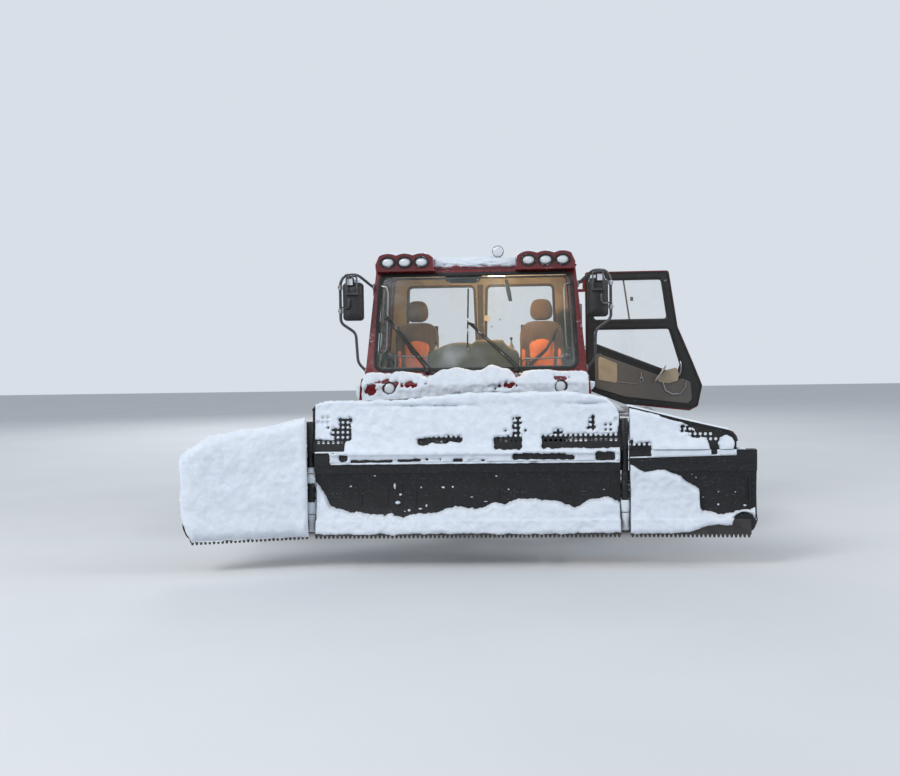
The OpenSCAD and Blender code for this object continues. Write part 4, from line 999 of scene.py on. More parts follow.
def mold_cover(x, z):
    """Snow in the moldboard's bowl, with its clots."""
    top = between([(-1.29, 0.86), (-1.262, 0.80), (-1.234, 0.712), (-1.154, 0.589), (-1.114, 0.508),
                   (-0.992, 0.466),
                   (-0.748, 0.425), (-0.504, 0.414),
                   (-0.219, 0.444), (-0.097, 0.500), (0.0, 0.470), (0.104, 0.474),
                   (0.266, 0.513), (0.507, 0.552), (0.627, 0.535),
                   (0.866, 0.477), (0.987, 0.532), (1.107, 0.563),
                   (1.241, 0.506)], x)
    c = top + rough(x, z, 3, 9) * 0.022 + rough(x, z, 4, 34) * 0.010 - z
    foot = BLADE_Z - 0.010 + 0.014 * (rough(x, 1.7, 9, 11) + 0.3)
    c = min(c, z - foot)
    for cx, cz, rx, rz in STUCK:
        c = max(c, -oval_patch(x, z, cx, cz, rx, rz, 0.004))
    return c


def mold_full(x, z):
    """Its thickness, which fills part of the hollow."""
    hollow = max(0.0, on_mold(x, z, 0)[1] - FACE_Y)
    low = max(0.0, min(1.0, (0.62 - z) / 0.3))
    lumps = 0.014 * rough(x, z, 6, 3.5) + 0.008 * rough(x, z, 9, 11) + 0.004 * rough(x, z, 2, 24)
    return hollow * (0.35 + 0.6 * low) + 0.026 + lumps


def flakes(name, body, place, span, rise, count, keep, turn=None, size=(0.003, 0.011)):
    """Small crumbs of snow stuck to a bare face."""
    b = Build()
    made = 0
    while made < count:
        u, v = rng.uniform(*span), rng.uniform(*rise)
        r = rng.uniform(*size) * rng.choice((0.5, 0.7, 1))
        if not keep(u, v):
            continue
        shape = (rng.uniform(0.8, 1.6), 0.5, rng.uniform(0.6, 1.3))
        b.ball(place(u, v, 0.001), r, shape, 5, 7)
        made += 1
    b.done(name, "snow", body=body, place=turn, angle=80)


def on_beam_top(u, v, t):
    return (u, FACE_Y + v, BEAM_TOP + t)


def blade_snow():
    middle = (HINGE_GAP - FOLD_X, FOLD_X - HINGE_GAP)
    crust("front_snow", "blade", on_front, middle, (MOLD_TOP + 0.014, GUARD_TOP + 0.022), 0.0082,
          front_cover, front_full,
          0.022, seat=on_front_iron)
    crust("mold_snow", "blade", on_mold, middle, (BLADE_Z - 0.030, MOLD_TOP), 0.0095, mold_cover, mold_full,
          0.045)
    crust("beam_top_snow", "blade", on_beam_top, (-1.22, 1.22), (0.060, 0.128), 0.014,
          lambda u, v: 0.03 + rough(u, v, 3, 9) * 0.04, lambda u, v: 0.035 + 0.02 * rough(u, v, 6, 7), 0.03)
    crust("ledge_snow", "blade", on_beam_top, (-1.226, 1.226), (-0.002, 0.022), 0.006,
          lambda u, v: 0.02 + rough(u, v, 5, 16) * 0.012, lambda u, v: 0.012, 0.02)
    crust("mold_line_snow", "blade", on_beam, (-1.10, 1.226), (MOLD_TOP - 0.002, MOLD_TOP + 0.018), 0.005,
          lambda u, v: 0.0075 - abs(v - MOLD_TOP - 0.008) + rough(u, v, 2, 12) * 0.004, lambda u, v: 0.016,
          0.006)
    flakes("mold_flakes", "blade", on_mold, (-1.2, 1.2), (0.42, 0.82), 16,
           lambda u, v: mold_cover(u, v) < -0.006)


def left_wing_snow():
    """The wing by the open door: snow on its inner half, its outer end bare."""
    turn = wing_turn(1)

    def s(x):
        """Distance out from the hinge."""
        return x - FOLD_X

    def line(x):
        return 0.868 + 0.025 * s(x)

    def guard_part(x, z):
        c = wing_top(x) + 0.002 + rough(x, z, 1, 18) * 0.006 - z
        slope = between([(0.93, 0.675), (0.98, 0.655), (1.04, 0.62), (1.10, 0.545), (1.15, 0.455),
                         (1.17, 0.35),
                         (1.20, 0.28)], z)
        c = min(c, slope + rough(x, z, 2, 20) * 0.014 - s(x))
        lump = -oval_patch(s(x), z, 0.795, 0.972, 0.062, 0.075, 0.012)
        c = max(c, min(lump, wing_top(x) - z))
        return with_holes(x, z, c, [((FOLD_X + 0.03, 0.90), (FOLD_X + 0.210, 0.990))],
                          [((FOLD_X + 0.50, 1.03), (FOLD_X + 0.68, 1.09)),
                           ((FOLD_X + 0.03, 0.97), (FOLD_X + 0.07, 1.02)),
                           ((FOLD_X + 0.44, 1.08), (FOLD_X + 0.54, 1.125))], [], left_spots[0])

    def beam_part(x, z):
        c = min(z - line(x), block_patch(s(x), z, (0.03, 0.70), (0.210, 1.0), 0.012),
                block_patch(s(x), z, (0.675, 0.70), (0.725, 1.0), 0.010), 0.868 + 0.004 - s(x))
        return max(c, 0.0055 - abs(z - line(x) - 0.004) if s(x) < 0.875 else -1)

    def mold_part(x, z):
        top = between([(0.0, 0.845), (0.03, 0.825), (0.155, 0.760), (0.311, 0.772), (0.44, 0.72),
                       (0.50, 0.66),
                       (0.583, 0.625), (0.592, 0.445), (0.737, 0.418), (0.90, 0.44), (1.03, 0.475)], s(x))
        c = top + rough(x, z, 3, 10) * 0.012 + rough(x, z, 4, 34) * 0.005 - z
        foot = between([(0, 0.268), (0.45, 0.275), (0.60, 0.32), (0.72, 0.345), (0.80, 0.335),
                        (1.03, 0.30)], s(x))
        c = min(c, z - foot - 0.010 * rough(x, z, 6, 15))
        return min(c, oval_patch(s(x), z, 0.930, 0.300, 0.105, 0.135, 0.004))

    crust("left_wing_guard_snow", "wing_left", on_guard, (FOLD_X + HINGE_GAP, FOLD_X + 0.872),
          (BEAM_TOP + 0.001, 1.292), 0.0075,
          guard_part,
          lambda x, z: 0.032 + 0.012 * rough(x, z, 1, 4) + 0.02 * math.exp(-((z - 0.95) / 0.05) ** 2),
          0.028, turn)
    crust("left_wing_mold_snow", "wing_left", on_mold, (FOLD_X + HINGE_GAP, WING_END - 0.012),
          (BLADE_Z - 0.020, MOLD_TOP + 0.03),
          0.0095, mold_part, lambda x, z: mold_full(x, z) + 0.02 * math.exp(-((s(x) - 0.3) / 0.25) ** 2),
          0.05, turn)
    crust("left_wing_ledge_snow", "wing_left", on_beam, (FOLD_X + HINGE_GAP, WING_IN + 0.87),
          (MOLD_TOP + 0.020,
          BEAM_TOP + 0.004), 0.006, beam_part, lambda x, z: 0.024, 0.014, turn)
    crust("left_wing_beam_top_snow", "wing_left", on_beam_top,
          (WING_IN, WING_END - 0.08), (0.045, 0.126), 0.014, lambda u, v: 0.03 + rough(u, v, 4, 9) * 0.03,
          lambda u, v: 0.016 + 0.008 * rough(u, v, 6, 7), 0.03, turn)
    crust("left_wing_rail_snow", "wing_left",
          lambda u, v, t: (u, guard_y(wing_top(u)) + v, wing_top(u) + 0.011 + t),
          (FOLD_X + 0.02, FOLD_X + 0.82), (-0.016, 0.020), 0.007,
          lambda u, v: 0.012 + rough(u, v, 4, 5) * 0.014 - abs(v - 0.002) * 0.3, lambda u, v: 0.014, 0.014,
          turn)
    flakes("left_wing_flakes", "wing_left", on_mold, (WING_IN, WING_END - 0.05), (0.44, 0.83), 14,
           lambda u, v: mold_part(u, v) < -0.01, turn)


def right_wing_snow():
    """The other wing, caked from end to end, its top rounded over."""
    turn = wing_turn(-1)

    def face(x, z, t):
        if z > BEAM_TOP:
            return (x, guard_y(z) - t, z)
        return on_mold(x, z, t) if z < MOLD_TOP else (x, FACE_Y - t, z)

    def smooth_face(x, z, t):
        """One surface from the teeth to the guard's top, wrapped round the outer end and over the top."""
        s = x - FOLD_X
        bulge = 0.016 * math.sin(math.pi * max(0.0, min(1.0, (z - 0.30) / 0.62)))
        y = FACE_Y - bulge + (guard_y(z) - 0.030 - FACE_Y) * smooth((z - 0.86) / 0.34)
        ridge = 0.014 * math.exp(-((s - 0.085) / 0.045) ** 2)
        return (x, y - t - ridge * min(1.0, t / 0.03), z)

    def cover(x, z):
        s = x - FOLD_X
        top = between([(0.0, 1.212), (0.024, 1.215), (0.20, 1.176), (0.314, 1.150), (0.60, 1.118),
                       (0.828, 1.080),
                       (0.90, 1.03), (0.985, 0.985), (1.04, 0.935)], s)
        out = between([(0.22, 0.930), (0.27, 0.955), (0.33, 0.990), (0.44, 1.030), (0.84, 1.034),
                       (0.92, 1.042), (0.98, 1.02)], z)
        c = min(top + 0.012 + rough(x, z, 1, 8) * 0.010 + rough(x, z, 2, 30) * 0.004 - z,
                out + 0.012 + rough(x, z, 5, 9) * 0.010 + rough(x, z, 2, 30) * 0.004 - s)
        return min(c, z - BLADE_Z + 0.018 - 0.010 * rough(x, 3, 2, 12), s - 0.002)

    def full(x, z):
        foot = 0.026 * math.exp(-((z - 0.34) / 0.10) ** 2)
        return (0.052 + foot + 0.020 * rough(x, z, 6, 1.9) + 0.007 * rough(x, z, 2, 7)
                + 0.003 * rough(x, z, 3, 26))

    crust("right_wing_snow", "wing_right", smooth_face, (FOLD_X + HINGE_GAP, FOLD_X + 1.056),
          (BLADE_Z - 0.026, 1.24), 0.0105,
          cover, full, 0.075, turn, face)
    crust("right_wing_beam_top_snow", "wing_right", on_beam_top,
          (WING_IN, WING_END - 0.16), (0.060, 0.126), 0.014, lambda u, v: 0.03 + rough(u, v, 4, 9) * 0.03,
          lambda u, v: 0.04 + 0.02 * rough(u, v, 6, 7), 0.03, turn)


BARREL_R, CAKE_R, CAKE_SIDES = 0.0284, 0.0295, 28


def barrel_snow(name, body, stretches, turn):
    """Snow caked round the barrels of a wing's hinge."""
    b, around = Build(), [2 * math.pi * k / CAKE_SIDES for k in range(CAKE_SIDES)]

    def round_pin(z, radius):
        return [(FOLD_X + math.cos(a) * radius(a), FOLD_Y + math.sin(a) * radius(a), z) for a in around]

    for low, high in stretches:
        count = max(4, round((high - low) / 0.008))
        rings = []
        for j in range(count + 1):
            z = low + (high - low) * j / count
            r = CAKE_R + 0.0048 * math.sin(math.pi * j / count) ** 0.4
            rings.append(round_pin(z, lambda a: r + 0.0012 * rough(a, z, 3, 14)))
        b.loft(rings + [round_pin(z, lambda a: BARREL_R) for z in (high, low)], closed=True)
    b.done(name, "snow", body=body, place=turn, angle=75)


def hinge_posts():
    """Sleeves on the hinge pins and posts that fill the gaps between the guards."""
    b = Build()
    for side in SIDES:
        for low, high in ((0.534, 0.685), (BEAM_TOP - 0.003, 1.185)):
            sleeve = [(low, 0.015), (low, 0.027), (low + 0.003, 0.029), (high - 0.003, 0.029),
                      (high, 0.027), (high, 0.015)]
            b.lathe(sleeve, (side * FOLD_X, FOLD_Y, 0), Z, 24, hollow=True)
    b.done("hinge_posts", "blade", "blade_black", "blade")


def hinge_snow():
    barrel_snow("barrel_snow_left", "blade", [(0.290, 0.429)], None)
    barrel_snow("left_wing_barrel_snow", "wing_left", [(0.434, 0.531)], wing_turn(1))
    barrel_snow("barrel_snow_right", "blade", [(0.290, 0.429), (0.768, 0.815)], MIRRORED)
    barrel_snow("right_wing_barrel_snow", "wing_right", [(0.434, 0.531), (0.687, 0.763)], wing_turn(-1))


blade_snow()
left_wing_snow()
right_wing_snow()
hinge_posts()
hinge_snow()


# Cab shell


def skin(z):
    """Half width of the cab at height z."""
    return CAB_HALF - (CAB_HALF - EAVES_HALF) * (z - DECK_Z) / (EAVES_Z - DECK_Z)


def on_side(y, z, out):
    """A point of the cab's left side, lifted by out off its skin."""
    return (skin(z) + out * math.cos(LEAN), y, z + out * math.sin(LEAN))


SCREEN_RUN, SCREEN_RISE = 0.270, EAVES_Z - 0.030 - COWL_Z
SCREEN_LEAN = math.atan2(SCREEN_RUN, SCREEN_RISE)


def on_screen(x, z, out):
    y = CAB_FRONT + SCREEN_RUN * (z - COWL_Z) / SCREEN_RISE
    return (x, y - out * math.cos(SCREEN_LEAN), z + out * math.sin(SCREEN_LEAN))


def on_rear(x, z, out):
    return (x, CAB_REAR + out, z)


def band(build, outline, place, profile):
    """A moulding round a closed outline. The profile is in (distance outwards, height off the surface)."""
    n = len(outline)
    area = sum(outline[i - 1][0] * p[1] - p[0] * outline[i - 1][1] for i, p in enumerate(outline))
    turn = 1 if area > 0 else -1
    rings = []
    for i, p in enumerate(outline):
        along = (Vector(outline[(i + 1) % n]) - Vector(outline[i - 1])).normalized() * turn
        rings.append([place(p[0] + along.y * w, p[1] - along.x * w, h) for w, h in profile])
    return build.loft(rings, closed=True)


SEAL = [(-0.017, -0.012), (-0.017, 0.004), (-0.009, 0.008), (0.008, 0.009), (0.016, 0.004), (0.018, -0.006)]


def screen_outline():
    """The windscreen's edge, in x and z."""
    low, high = COWL_Z + 0.047, EAVES_Z - 0.070
    foot, head = skin(low) - 0.090, skin(high) - WALL
    return rounded([(-foot, low), (foot, low), (head, high), (-head, high)], 0.075, 6)


WINDOWS = (-0.43, 0.43)


def rear_outline(x):
    """A rear window whose middle is at x."""
    low, high, foot = DECK_Z + 0.582, EAVES_Z - 0.120, 0.390
    return rounded([(x - foot, low), (x + foot, low), (x + foot - 0.025, high), (x - foot + 0.025, high)],
                   0.052, 5)


def glazing():
    """The windows' seals, and their rims inside the cab."""
    b = Build()
    band(b, screen_outline(), on_screen, SEAL)
    b.done("screen_seal", "seal", "wheel_rubber")
    b = Build()
    band(b, screen_outline(), on_screen,
         [(-0.020, -0.030), (-0.034, -0.030), (-0.036, -0.044), (-0.020, -0.048)])
    for x in WINDOWS:
        band(b, rear_outline(x), on_rear,
             [(0.004, -WALL - 0.001), (-0.010, -WALL - 0.004), (-0.012, -0.030), (0.004, -0.030)])
    b.done("window_rims", "grey_trim", "frame_steel")
    b = Build()
    for x in WINDOWS:
        band(b, rear_outline(x), on_rear, [(p[0], p[1] * 0.8) for p in SEAL])
    b.done("rear_seals", "seal", "wheel_rubber")


DOOR_LINE = [(0, 1.310), (0.400, 1.150), (1.080, 1.072), (1.170, 1.120), (1.215, 1.340), (1.107, 1.610),
             (0.960, 1.960),
             (0.868, 2.545), (0, 2.545)]
DOOR_RIM = rounded(DOOR_LINE, 0.030, 5)
UPPER_PANE = [(0.075, 2.470), (0.802, 2.470), (0.868, 2.030), (0.075, 2.030)]
LOWER_PANE = [(0.075, 1.955), (0.880, 1.955), (1.000, 1.560), (0.960, 1.440), (0.075, 1.790)]


PANES = [rounded(p, 0.045, 6) for p in (UPPER_PANE, LOWER_PANE)]
SILL_GAP = 0.016


def on_door(u, v, out):
    """A point of the closed left door: u forward of its hinge, v up, out from its outer face."""
    return on_side(HINGE_Y - u, v, out)


def behind_door(u, v, d):
    """A point of its inner face, d into the cab."""
    return on_door(u, v, -WALL - d)


def on_lining(u, v, d):
    return on_door(u, v, -WALL - 0.006 - d)


def inset(outline, by):
    """An outline drawn in by a distance."""
    n = len(outline)
    area = sum(outline[i - 1][0] * p[1] - p[0] * outline[i - 1][1] for i, p in enumerate(outline))
    sign = 1 if area > 0 else -1
    out = []
    for i, p in enumerate(outline):
        a = (Vector(p) - Vector(outline[i - 1])).normalized()
        c = (Vector(outline[(i + 1) % n]) - Vector(p)).normalized()
        na, nc = Vector((-a.y, a.x)) * sign, Vector((-c.y, c.x)) * sign
        move = (na + nc).normalized() * (by / max(0.4, (na + nc).length / 2))
        out.append((p[0] + move.x, p[1] + move.y))
    return out


def door_seals(body, turn):
    """Seals round the panes, inside and outside, and the one round the door, which clears the sill."""
    b = Build()
    for pane in PANES:
        band(b, pane, on_door, SEAL)
        band(b, pane, behind_door, [(-0.013, -0.014), (-0.013, 0.004), (0.004, 0.011), (0.014, 0.011),
                                    (0.016, -0.004)])
    rim = [(u, max(v, FLOOR_Z + SILL_GAP)) for u, v in inset(DOOR_RIM, 0.012)]
    rim = [p for i, p in enumerate(rim) if math.dist(p, rim[i - 1]) > 0.002]
    band(b, rim, behind_door, [(-0.008, -0.002), (-0.006, 0.012), (0.004, 0.012), (0.007, -0.002)])
    b.done(body + "_seals", "seal", "wheel_rubber", body, place=turn)


def door_lining(body, turn):
    """The plate inside the door, its padded card and the card's tan panels."""
    b = Build()
    b.plate([inset(DOOR_RIM, 0.020)] + [inset(p, -0.012) for p in PANES],
            lambda u, v, d: on_door(u, v, -WALL - 0.003 + d), 0.006)
    b.done(body + "_trim", "plastic", "floor_mat", body, place=turn)
    card = rounded([(0.10, 1.335), (0.42, 1.235), (1.06, 1.160), (1.10, 1.20), (1.085, 1.38), (1.00, 1.415),
                    (0.93, 1.385), (0.10, 1.700)], 0.030, 4)
    Build().plate([card], on_lining, 0.016, 0.005).done(body + "_card", "grey_trim", "floor_mat", body,
                                                        place=turn)
    panel = [(0.135, 1.42), (0.325, 1.38), (0.325, 1.585), (0.135, 1.665)]
    grip = [(0.735, 1.395), (0.83, 1.505), (0.945, 1.535), (0.968, 1.468), (0.955, 1.40), (0.86, 1.375)]
    b = Build()
    b.plate([rounded(panel, 0.018, 3)], lambda u, v, d: on_lining(u, v, d + 0.012), 0.010, 0.003)
    b.plate([rounded(grip, 0.02, 3)], lambda u, v, d: on_lining(u, v, d + 0.014), 0.012, 0.003)
    b.done(body + "_tan", "headliner", "upholstery", body, place=turn)


# Bars inside a door: thickness, sides, and the path in (forward of the hinge, up, off the lining)
DOOR_BARS = [
    (0.0085, 10, [(0.722, 1.400, 0.004), (0.724, 1.402, 0.038), (0.770, 1.468, 0.052),
                  (0.826, 1.548, 0.040),
                  (0.830, 1.552, 0.004)]),
    (0.007, 10, [(0.985, 1.602, 0.006), (0.992, 1.56, 0.026), (0.988, 1.50, 0.028), (0.974, 1.452, 0.006)]),
    (0.0055, 8, [(0.80, 1.392, 0.022), (0.83, 1.300, 0.022), (0.90, 1.258, 0.022), (0.985, 1.262, 0.022),
                 (1.035, 1.33, 0.022), (1.045, 1.40, 0.022)]),
]
DOOR_LOOP = [(0.566, 1.388, 0.010), (0.562, 1.412, 0.020), (0.572, 1.436, 0.022), (0.590, 1.436, 0.022),
             (0.598, 1.412, 0.020), (0.592, 1.388, 0.010)]


def door_grips(body, turn):
    """Grab bar, pull, pocket wire and latch inside the door."""
    b = Build()
    for r, sides, path in DOOR_BARS:
        b.tube([on_lining(*p) for p in path], r, sides)
    b.tube([on_lining(*p) for p in DOOR_LOOP], 0.0045, 8, closed=True)
    b.tube([on_lining(0.580, 1.436, 0.018), on_lining(0.578, 1.492, 0.012)], 0.003, 6)
    b.tube([on_lining(0.33, 1.393, 0.018), on_lining(0.545, 1.368, 0.018)], 0.003, 6)
    b.done(body + "_handles", "alloy", "tube", body, place=turn)


def pane_slide(body, turn):
    """The bar across the upper pane and its catch."""
    b = Build()
    section = ((-0.008, -0.012), (0.008, -0.012), (0.008, -0.036), (-0.008, -0.036))
    b.loft([[on_door(u + s, v, o) for s, o in section] for u, v in ((0.40, 2.462), (0.462, 2.038))])
    b.box(on_door(0.47, 2.24, -0.046), on_door(0.50, 2.28, -0.028))
    b.done(body + "_slide", "grey_trim", "frame_steel", body, place=turn)


def door_handle(body, turn):
    b = Build()
    b.prism(rounded([(1.105, 1.30), (1.178, 1.285), (1.185, 1.375), (1.120, 1.385)], 0.015, 4), on_door,
            0.0, 0.008)
    b.tube([on_door(1.118, 1.352, 0.006), on_door(1.118, 1.352, 0.040), on_door(1.135, 1.346, 0.048),
            on_door(1.176, 1.320, 0.046), on_door(1.178, 1.318, 0.006)], 0.009, 10)
    b.lathe([(0, 0.012), (0.010, 0.012), (0.012, 0.009)], on_door(1.150, 1.306, 0.006), X, 16)
    b.done(body + "_handle", "steel", "frame_steel", body, place=turn, bevel=0.001)


def door_bolts(body, turn):
    """Bolts of the hinges' leaves."""
    b = Build()
    for z in HINGE_LEVELS:
        for dz in (0.016, 0.044):
            for du in (0.026, 0.056):
                b.bolt(on_door(du, z + dz, 0.0), (1, 0, 0.1), 0.007, 0.006)
    b.done(body + "_bolts", "steel", "rod_chrome", body, place=turn)


def door_strips(body, turn):
    """The bar between the panes and the strip along the door's foot."""
    b = Build()
    b.tube([on_door(0.05, 1.985, 0.006), on_door(0.93, 1.985, 0.006)], 0.008, 8)
    b.prism([(0.10, 1.335), (0.42, 1.205), (1.10, 1.125), (1.10, 1.135), (0.42, 1.215), (0.10, 1.345)],
            on_door, 0.0, 0.006)
    b.done(body + "_strips", "seal", "wheel_rubber", body, place=turn)


def door(body, turn):
    for part in (door_seals, door_lining, door_grips, pane_slide, door_handle, door_bolts, door_strips):
        part(body, turn)


def hinge_caps():
    b = Build()
    cap = [(0, 0.017), (0.006, 0.017), (0.010, 0.010), (0.010, 0.004)]
    for side in SIDES:
        for z in HINGE_LEVELS:
            b.lathe(cap, (side * HINGE_X, HINGE_Y, z + 0.0915), Z, 16)
    b.done("hinge_caps", "steel", "rod_chrome")


def doors():
    """The left door stands open, the right one is shut."""
    hinge = Matrix.Translation((HINGE_X, HINGE_Y, 0))
    door("door_left", hinge @ Matrix.Rotation(DOOR_OPEN, 4, "Z") @ hinge.inverted())
    door("door_right", MIRRORED)
    hinge_caps()


POD_IN, POD_OUT, POD_LOW = 0.395, EAVES_HALF - 0.010, EAVES_Z - 0.042
POD_FRONT, POD_REAR = CAB_FRONT + 0.150, CAB_FRONT + 0.420
POD_LAMPS = (0.525, 0.692, 0.858)
LAMP_Z = POD_LOW + 0.092


def pod_top(x):
    """Height of a pod's top edge: a low lobe over each lamp, sloping down to its inner end."""
    lobes = [LAMP_Z + 0.087 * math.sqrt(max(0.0, 1 - ((x - c) / 0.128) ** 2)) for c in POD_LAMPS]
    return max(lobes + [POD_LOW + 0.02])


def pod_outline(lower=0.0, inward=0.0, under=0.0):
    """A pod's section. lower flattens its lobes, inward draws it in all round and under lifts its foot."""
    tops = [POD_IN + 0.018 + (POD_OUT - POD_IN - 0.030) * k / 30 for k in range(31)]
    over = [(x, POD_LOW + (pod_top(x) - POD_LOW) * (1 - lower) - inward) for x in reversed(tops)]
    return [(POD_IN + inward, POD_LOW + inward + under), (POD_OUT - inward, POD_LOW + inward + under),
            (POD_OUT + 0.008 - inward,
             POD_LOW + 0.070)] + over[1:] + [(POD_IN + 0.012 + inward, POD_LOW + 0.030)]


def pod(side, turn):
    """A pod for three lamps, its plate pierced for them."""
    b = Build()
    holes = [oval(x, LAMP_Z, 0.064, 0.045) for x in POD_LAMPS]
    b.plate([pod_outline(0, 0.004)] + holes, face_xz(POD_FRONT + 0.004), 0.008)
    rings = [(POD_FRONT + 0.0005, 0.0, 0.005, 0.0), (POD_FRONT + 0.008, 0.0, 0.0, 0.0),
             (POD_FRONT + 0.13, 0.0, 0.0, 0.0),
             (POD_FRONT + 0.18, 0.04, 0.002, 0.026), (POD_FRONT + 0.22, 0.12, 0.004, 0.026),
             (POD_REAR - 0.010, 0.45, 0.010, 0.026), (POD_REAR, 0.60, 0.015, 0.026)]
    b.loft([[(x, y, z) for x, z in pod_outline(*form)] for y, *form in rings])
    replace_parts(b.done("pod_" + side, "red", "red_paint", place=turn, angle=40), "lamp_pods")


# Rim of an oval lamp, and the rows of its lens and its bowl as (half width, half height, depth)
BEZEL = [(0.010, -0.002), (0.0105, 0.012), (0.006, 0.018), (-0.004, 0.018), (-0.009, 0.010),
         (-0.009, -0.030)]
LENS_ROWS = [(0.060, 0.0415, 0.004), (0.052, 0.036, -0.004), (0.036, 0.025, -0.008),
             (0.016, 0.011, -0.0105),
             (0.001, 0.001, -0.011)]
DISH_ROWS = [(0.060, 0.0415, 0.005), (0.050, 0.034, 0.016), (0.034, 0.023, 0.028), (0.014, 0.010, 0.034)]


def pod_lamps(side, turn):
    bezel, lens, dish = Build(), Build(), Build()
    place = face_xz(POD_FRONT)
    for x in POD_LAMPS:
        band(bezel, oval(x, LAMP_Z, 0.068, 0.049), lambda u, v, h: place(u, v, -h), BEZEL)
        lens.loft([[place(u, v, h) for u, v in oval(x, LAMP_Z, rx, rz)] for rx, rz, h in LENS_ROWS])
        dish.loft([[place(u, v, h) for u, v in oval(x, LAMP_Z, rx, rz)] for rx, rz, h in DISH_ROWS],
                  caps=False)
        dish.ball((x + 0.006, POD_FRONT + 0.022, LAMP_Z), 0.009, (1, 1.4, 1), 8, 12)
    bezel.done("lamp_bezels_" + side, "rubber", "wheel_rubber", place=turn)
    glass = lens.done("lamp_lenses_" + side, "frosted_lens", "lamp_glass", place=turn, angle=60)
    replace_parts(glass, "roof_lamps")
    dish.done("lamp_dishes_" + side, "reflector", "tube", place=turn, angle=60)


def round_lamp():
    """The lamp that stands on the roof between the pods."""
    x, y, z, r = 0.223, CAB_FRONT + 0.420, ROOF_Z + 0.0223 + 0.058, 0.058
    b = Build()
    b.lathe([(-0.045, r * 0.90), (-0.045, r), (-0.038, r), (-0.030, r * 0.97), (0.010, r * 0.97),
             (0.034, r * 0.75),
             (0.045, r * 0.35)], (x, y, z), Y, 40)
    b.box((x - 0.016, y - 0.012, z - r - 0.020), (x + 0.016, y + 0.012, z - r + 0.010))
    b.tube([(x - 0.030, y, z - r - 0.006), (x + 0.030, y, z - r - 0.006)], 0.010, 12)
    b.done("round_lamp_shell", "rubber", "wheel_rubber")
    b = Build()
    b.lathe([(-0.0452, r * 0.90), (-0.0490, r * 0.80), (-0.0505, r * 0.5), (-0.0510, r * 0.2)], (x, y, z),
            Y, 40)
    b.done("round_lamp_lens", "frosted_lens", "lamp_glass")


def lamps():
    for side, turn in HANDS:
        pod(side, turn)
        pod_lamps(side, turn)
    round_lamp()


HEADLAMP_X, HEADLAMP_Z = 0.810, 1.395


def headlamps():
    rim, lens, dish = Build(), Build(), Build()
    for side in SIDES:
        at = (side * HEADLAMP_X, NOSE_FRONT + 0.008, HEADLAMP_Z)
        rim.lathe([(0.014, 0.0615), (-0.004, 0.0615), (-0.008, 0.058), (-0.006, 0.052), (0.014, 0.050)], at,
                  Y, 40)
        lens.lathe([(0.006, 0.050), (-0.001, 0.045), (-0.005, 0.030), (-0.007, 0.010)], at, Y, 40)
        dish.lathe([(0.007, 0.050), (0.012, 0.040), (0.018, 0.020), (0.020, 0.004)], at, Y, 40)
    rim.done("headlamp_rims", "rubber", "wheel_rubber")
    glass = lens.done("headlamp_lenses", "frosted_lens", "lamp_glass", angle=60)
    dish.done("headlamp_dishes", "reflector", "tube", angle=60)
    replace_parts(glass, "headlamps")


def bent(points, r, steps):
    """A path with its corners rounded to radius r or less."""
    out = [Vector(points[0])]
    for a, p, c in zip(points, points[1:], points[2:]):
        a, p, c = Vector(a), Vector(p), Vector(c)
        one, two = a - p, c - p
        cut = min(r, one.length * 0.45, two.length * 0.45)
        start, stop = p + one.normalized() * cut, p + two.normalized() * cut
        for k in range(steps + 1):
            t = k / steps
            out.append(start * (1 - t) ** 2 + p * 2 * t * (1 - t) + stop * t * t)
    return out + [Vector(points[-1])]


ARM_R = 0.014
ARM_PATH = [(skin(2.380) + 0.004, 0.205, 2.380), (1.150, 0.060, 2.505), (1.265, 0.005, 2.495),
            (1.310, 0, 2.420),
            (1.310, 0, 2.030), (1.165, 0.010, 1.930), (1.150, 0.020, 1.640),
            (skin(1.560) + 0.004, 0.050, 1.560)]


def mirror_shell(side, turn, y):
    b = Build()
    steps = [(-0.062, 0.088), (-0.060, 0.070), (-0.054, 0.046), (-0.044, 0.022), (-0.028, 0.008), (0, 0.0),
             (0.045, 0.0), (0.055, 0.004), (0.055, 0.010), (0.046, 0.012)]
    b.loft([[(u, y + d, v) for u, v in oblong(1.085 + by, 2.050 + by, 1.285 - by, 2.420 - by,
                                              max(0.006, 0.036 - 0.35 * by), 6)]
            for d, by in steps])
    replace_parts(b.done("mirror_shell_" + side, "plastic", "mirror_shell", place=turn, angle=60), "mirrors")


def mirror_arm(side, turn, y):
    b = Build()
    b.tube(bent([(u, y + d, v) for u, d, v in ARM_PATH], 0.045, 5), ARM_R, 14)
    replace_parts(b.done("mirror_arm_" + side, "arm", "tube", place=turn, angle=60), "mirror_arms")


# Bars of the bracket before the mirror: thickness, and the path in (x, ahead of the mirror, z)
BRACKET = [
    (0.0085, [(1.306, 0.016, 2.190), (1.262, 0.060, 2.172), (1.228, 0.084, 2.176), (1.214, 0.086, 2.205),
              (1.214, 0.074, 2.262)]),
    (0.009, [(1.135, 0.086, 2.300), (1.135, 0.092, 2.330), (1.135, 0.092, 2.440), (1.135, 0.080, 2.462)]),
    (0.009, [(1.235, 0.086, 2.300), (1.235, 0.092, 2.330), (1.235, 0.092, 2.440), (1.235, 0.080, 2.462)]),
    (0.009, [(1.135, 0.080, 2.462), (1.150, 0.082, 2.478), (1.220, 0.082, 2.478), (1.235, 0.080, 2.462)]),
]


def mirror_bracket(side, turn, y):
    b = Build()
    for r, path in BRACKET:
        b.tube([(u, y - d, v) for u, d, v in path], r, 10)
    b.box((1.118, y - 0.092, 2.300), (1.250, y - 0.058, 2.322))
    b.done("mirror_bracket_" + side, "arm", "tube", place=turn, angle=40)


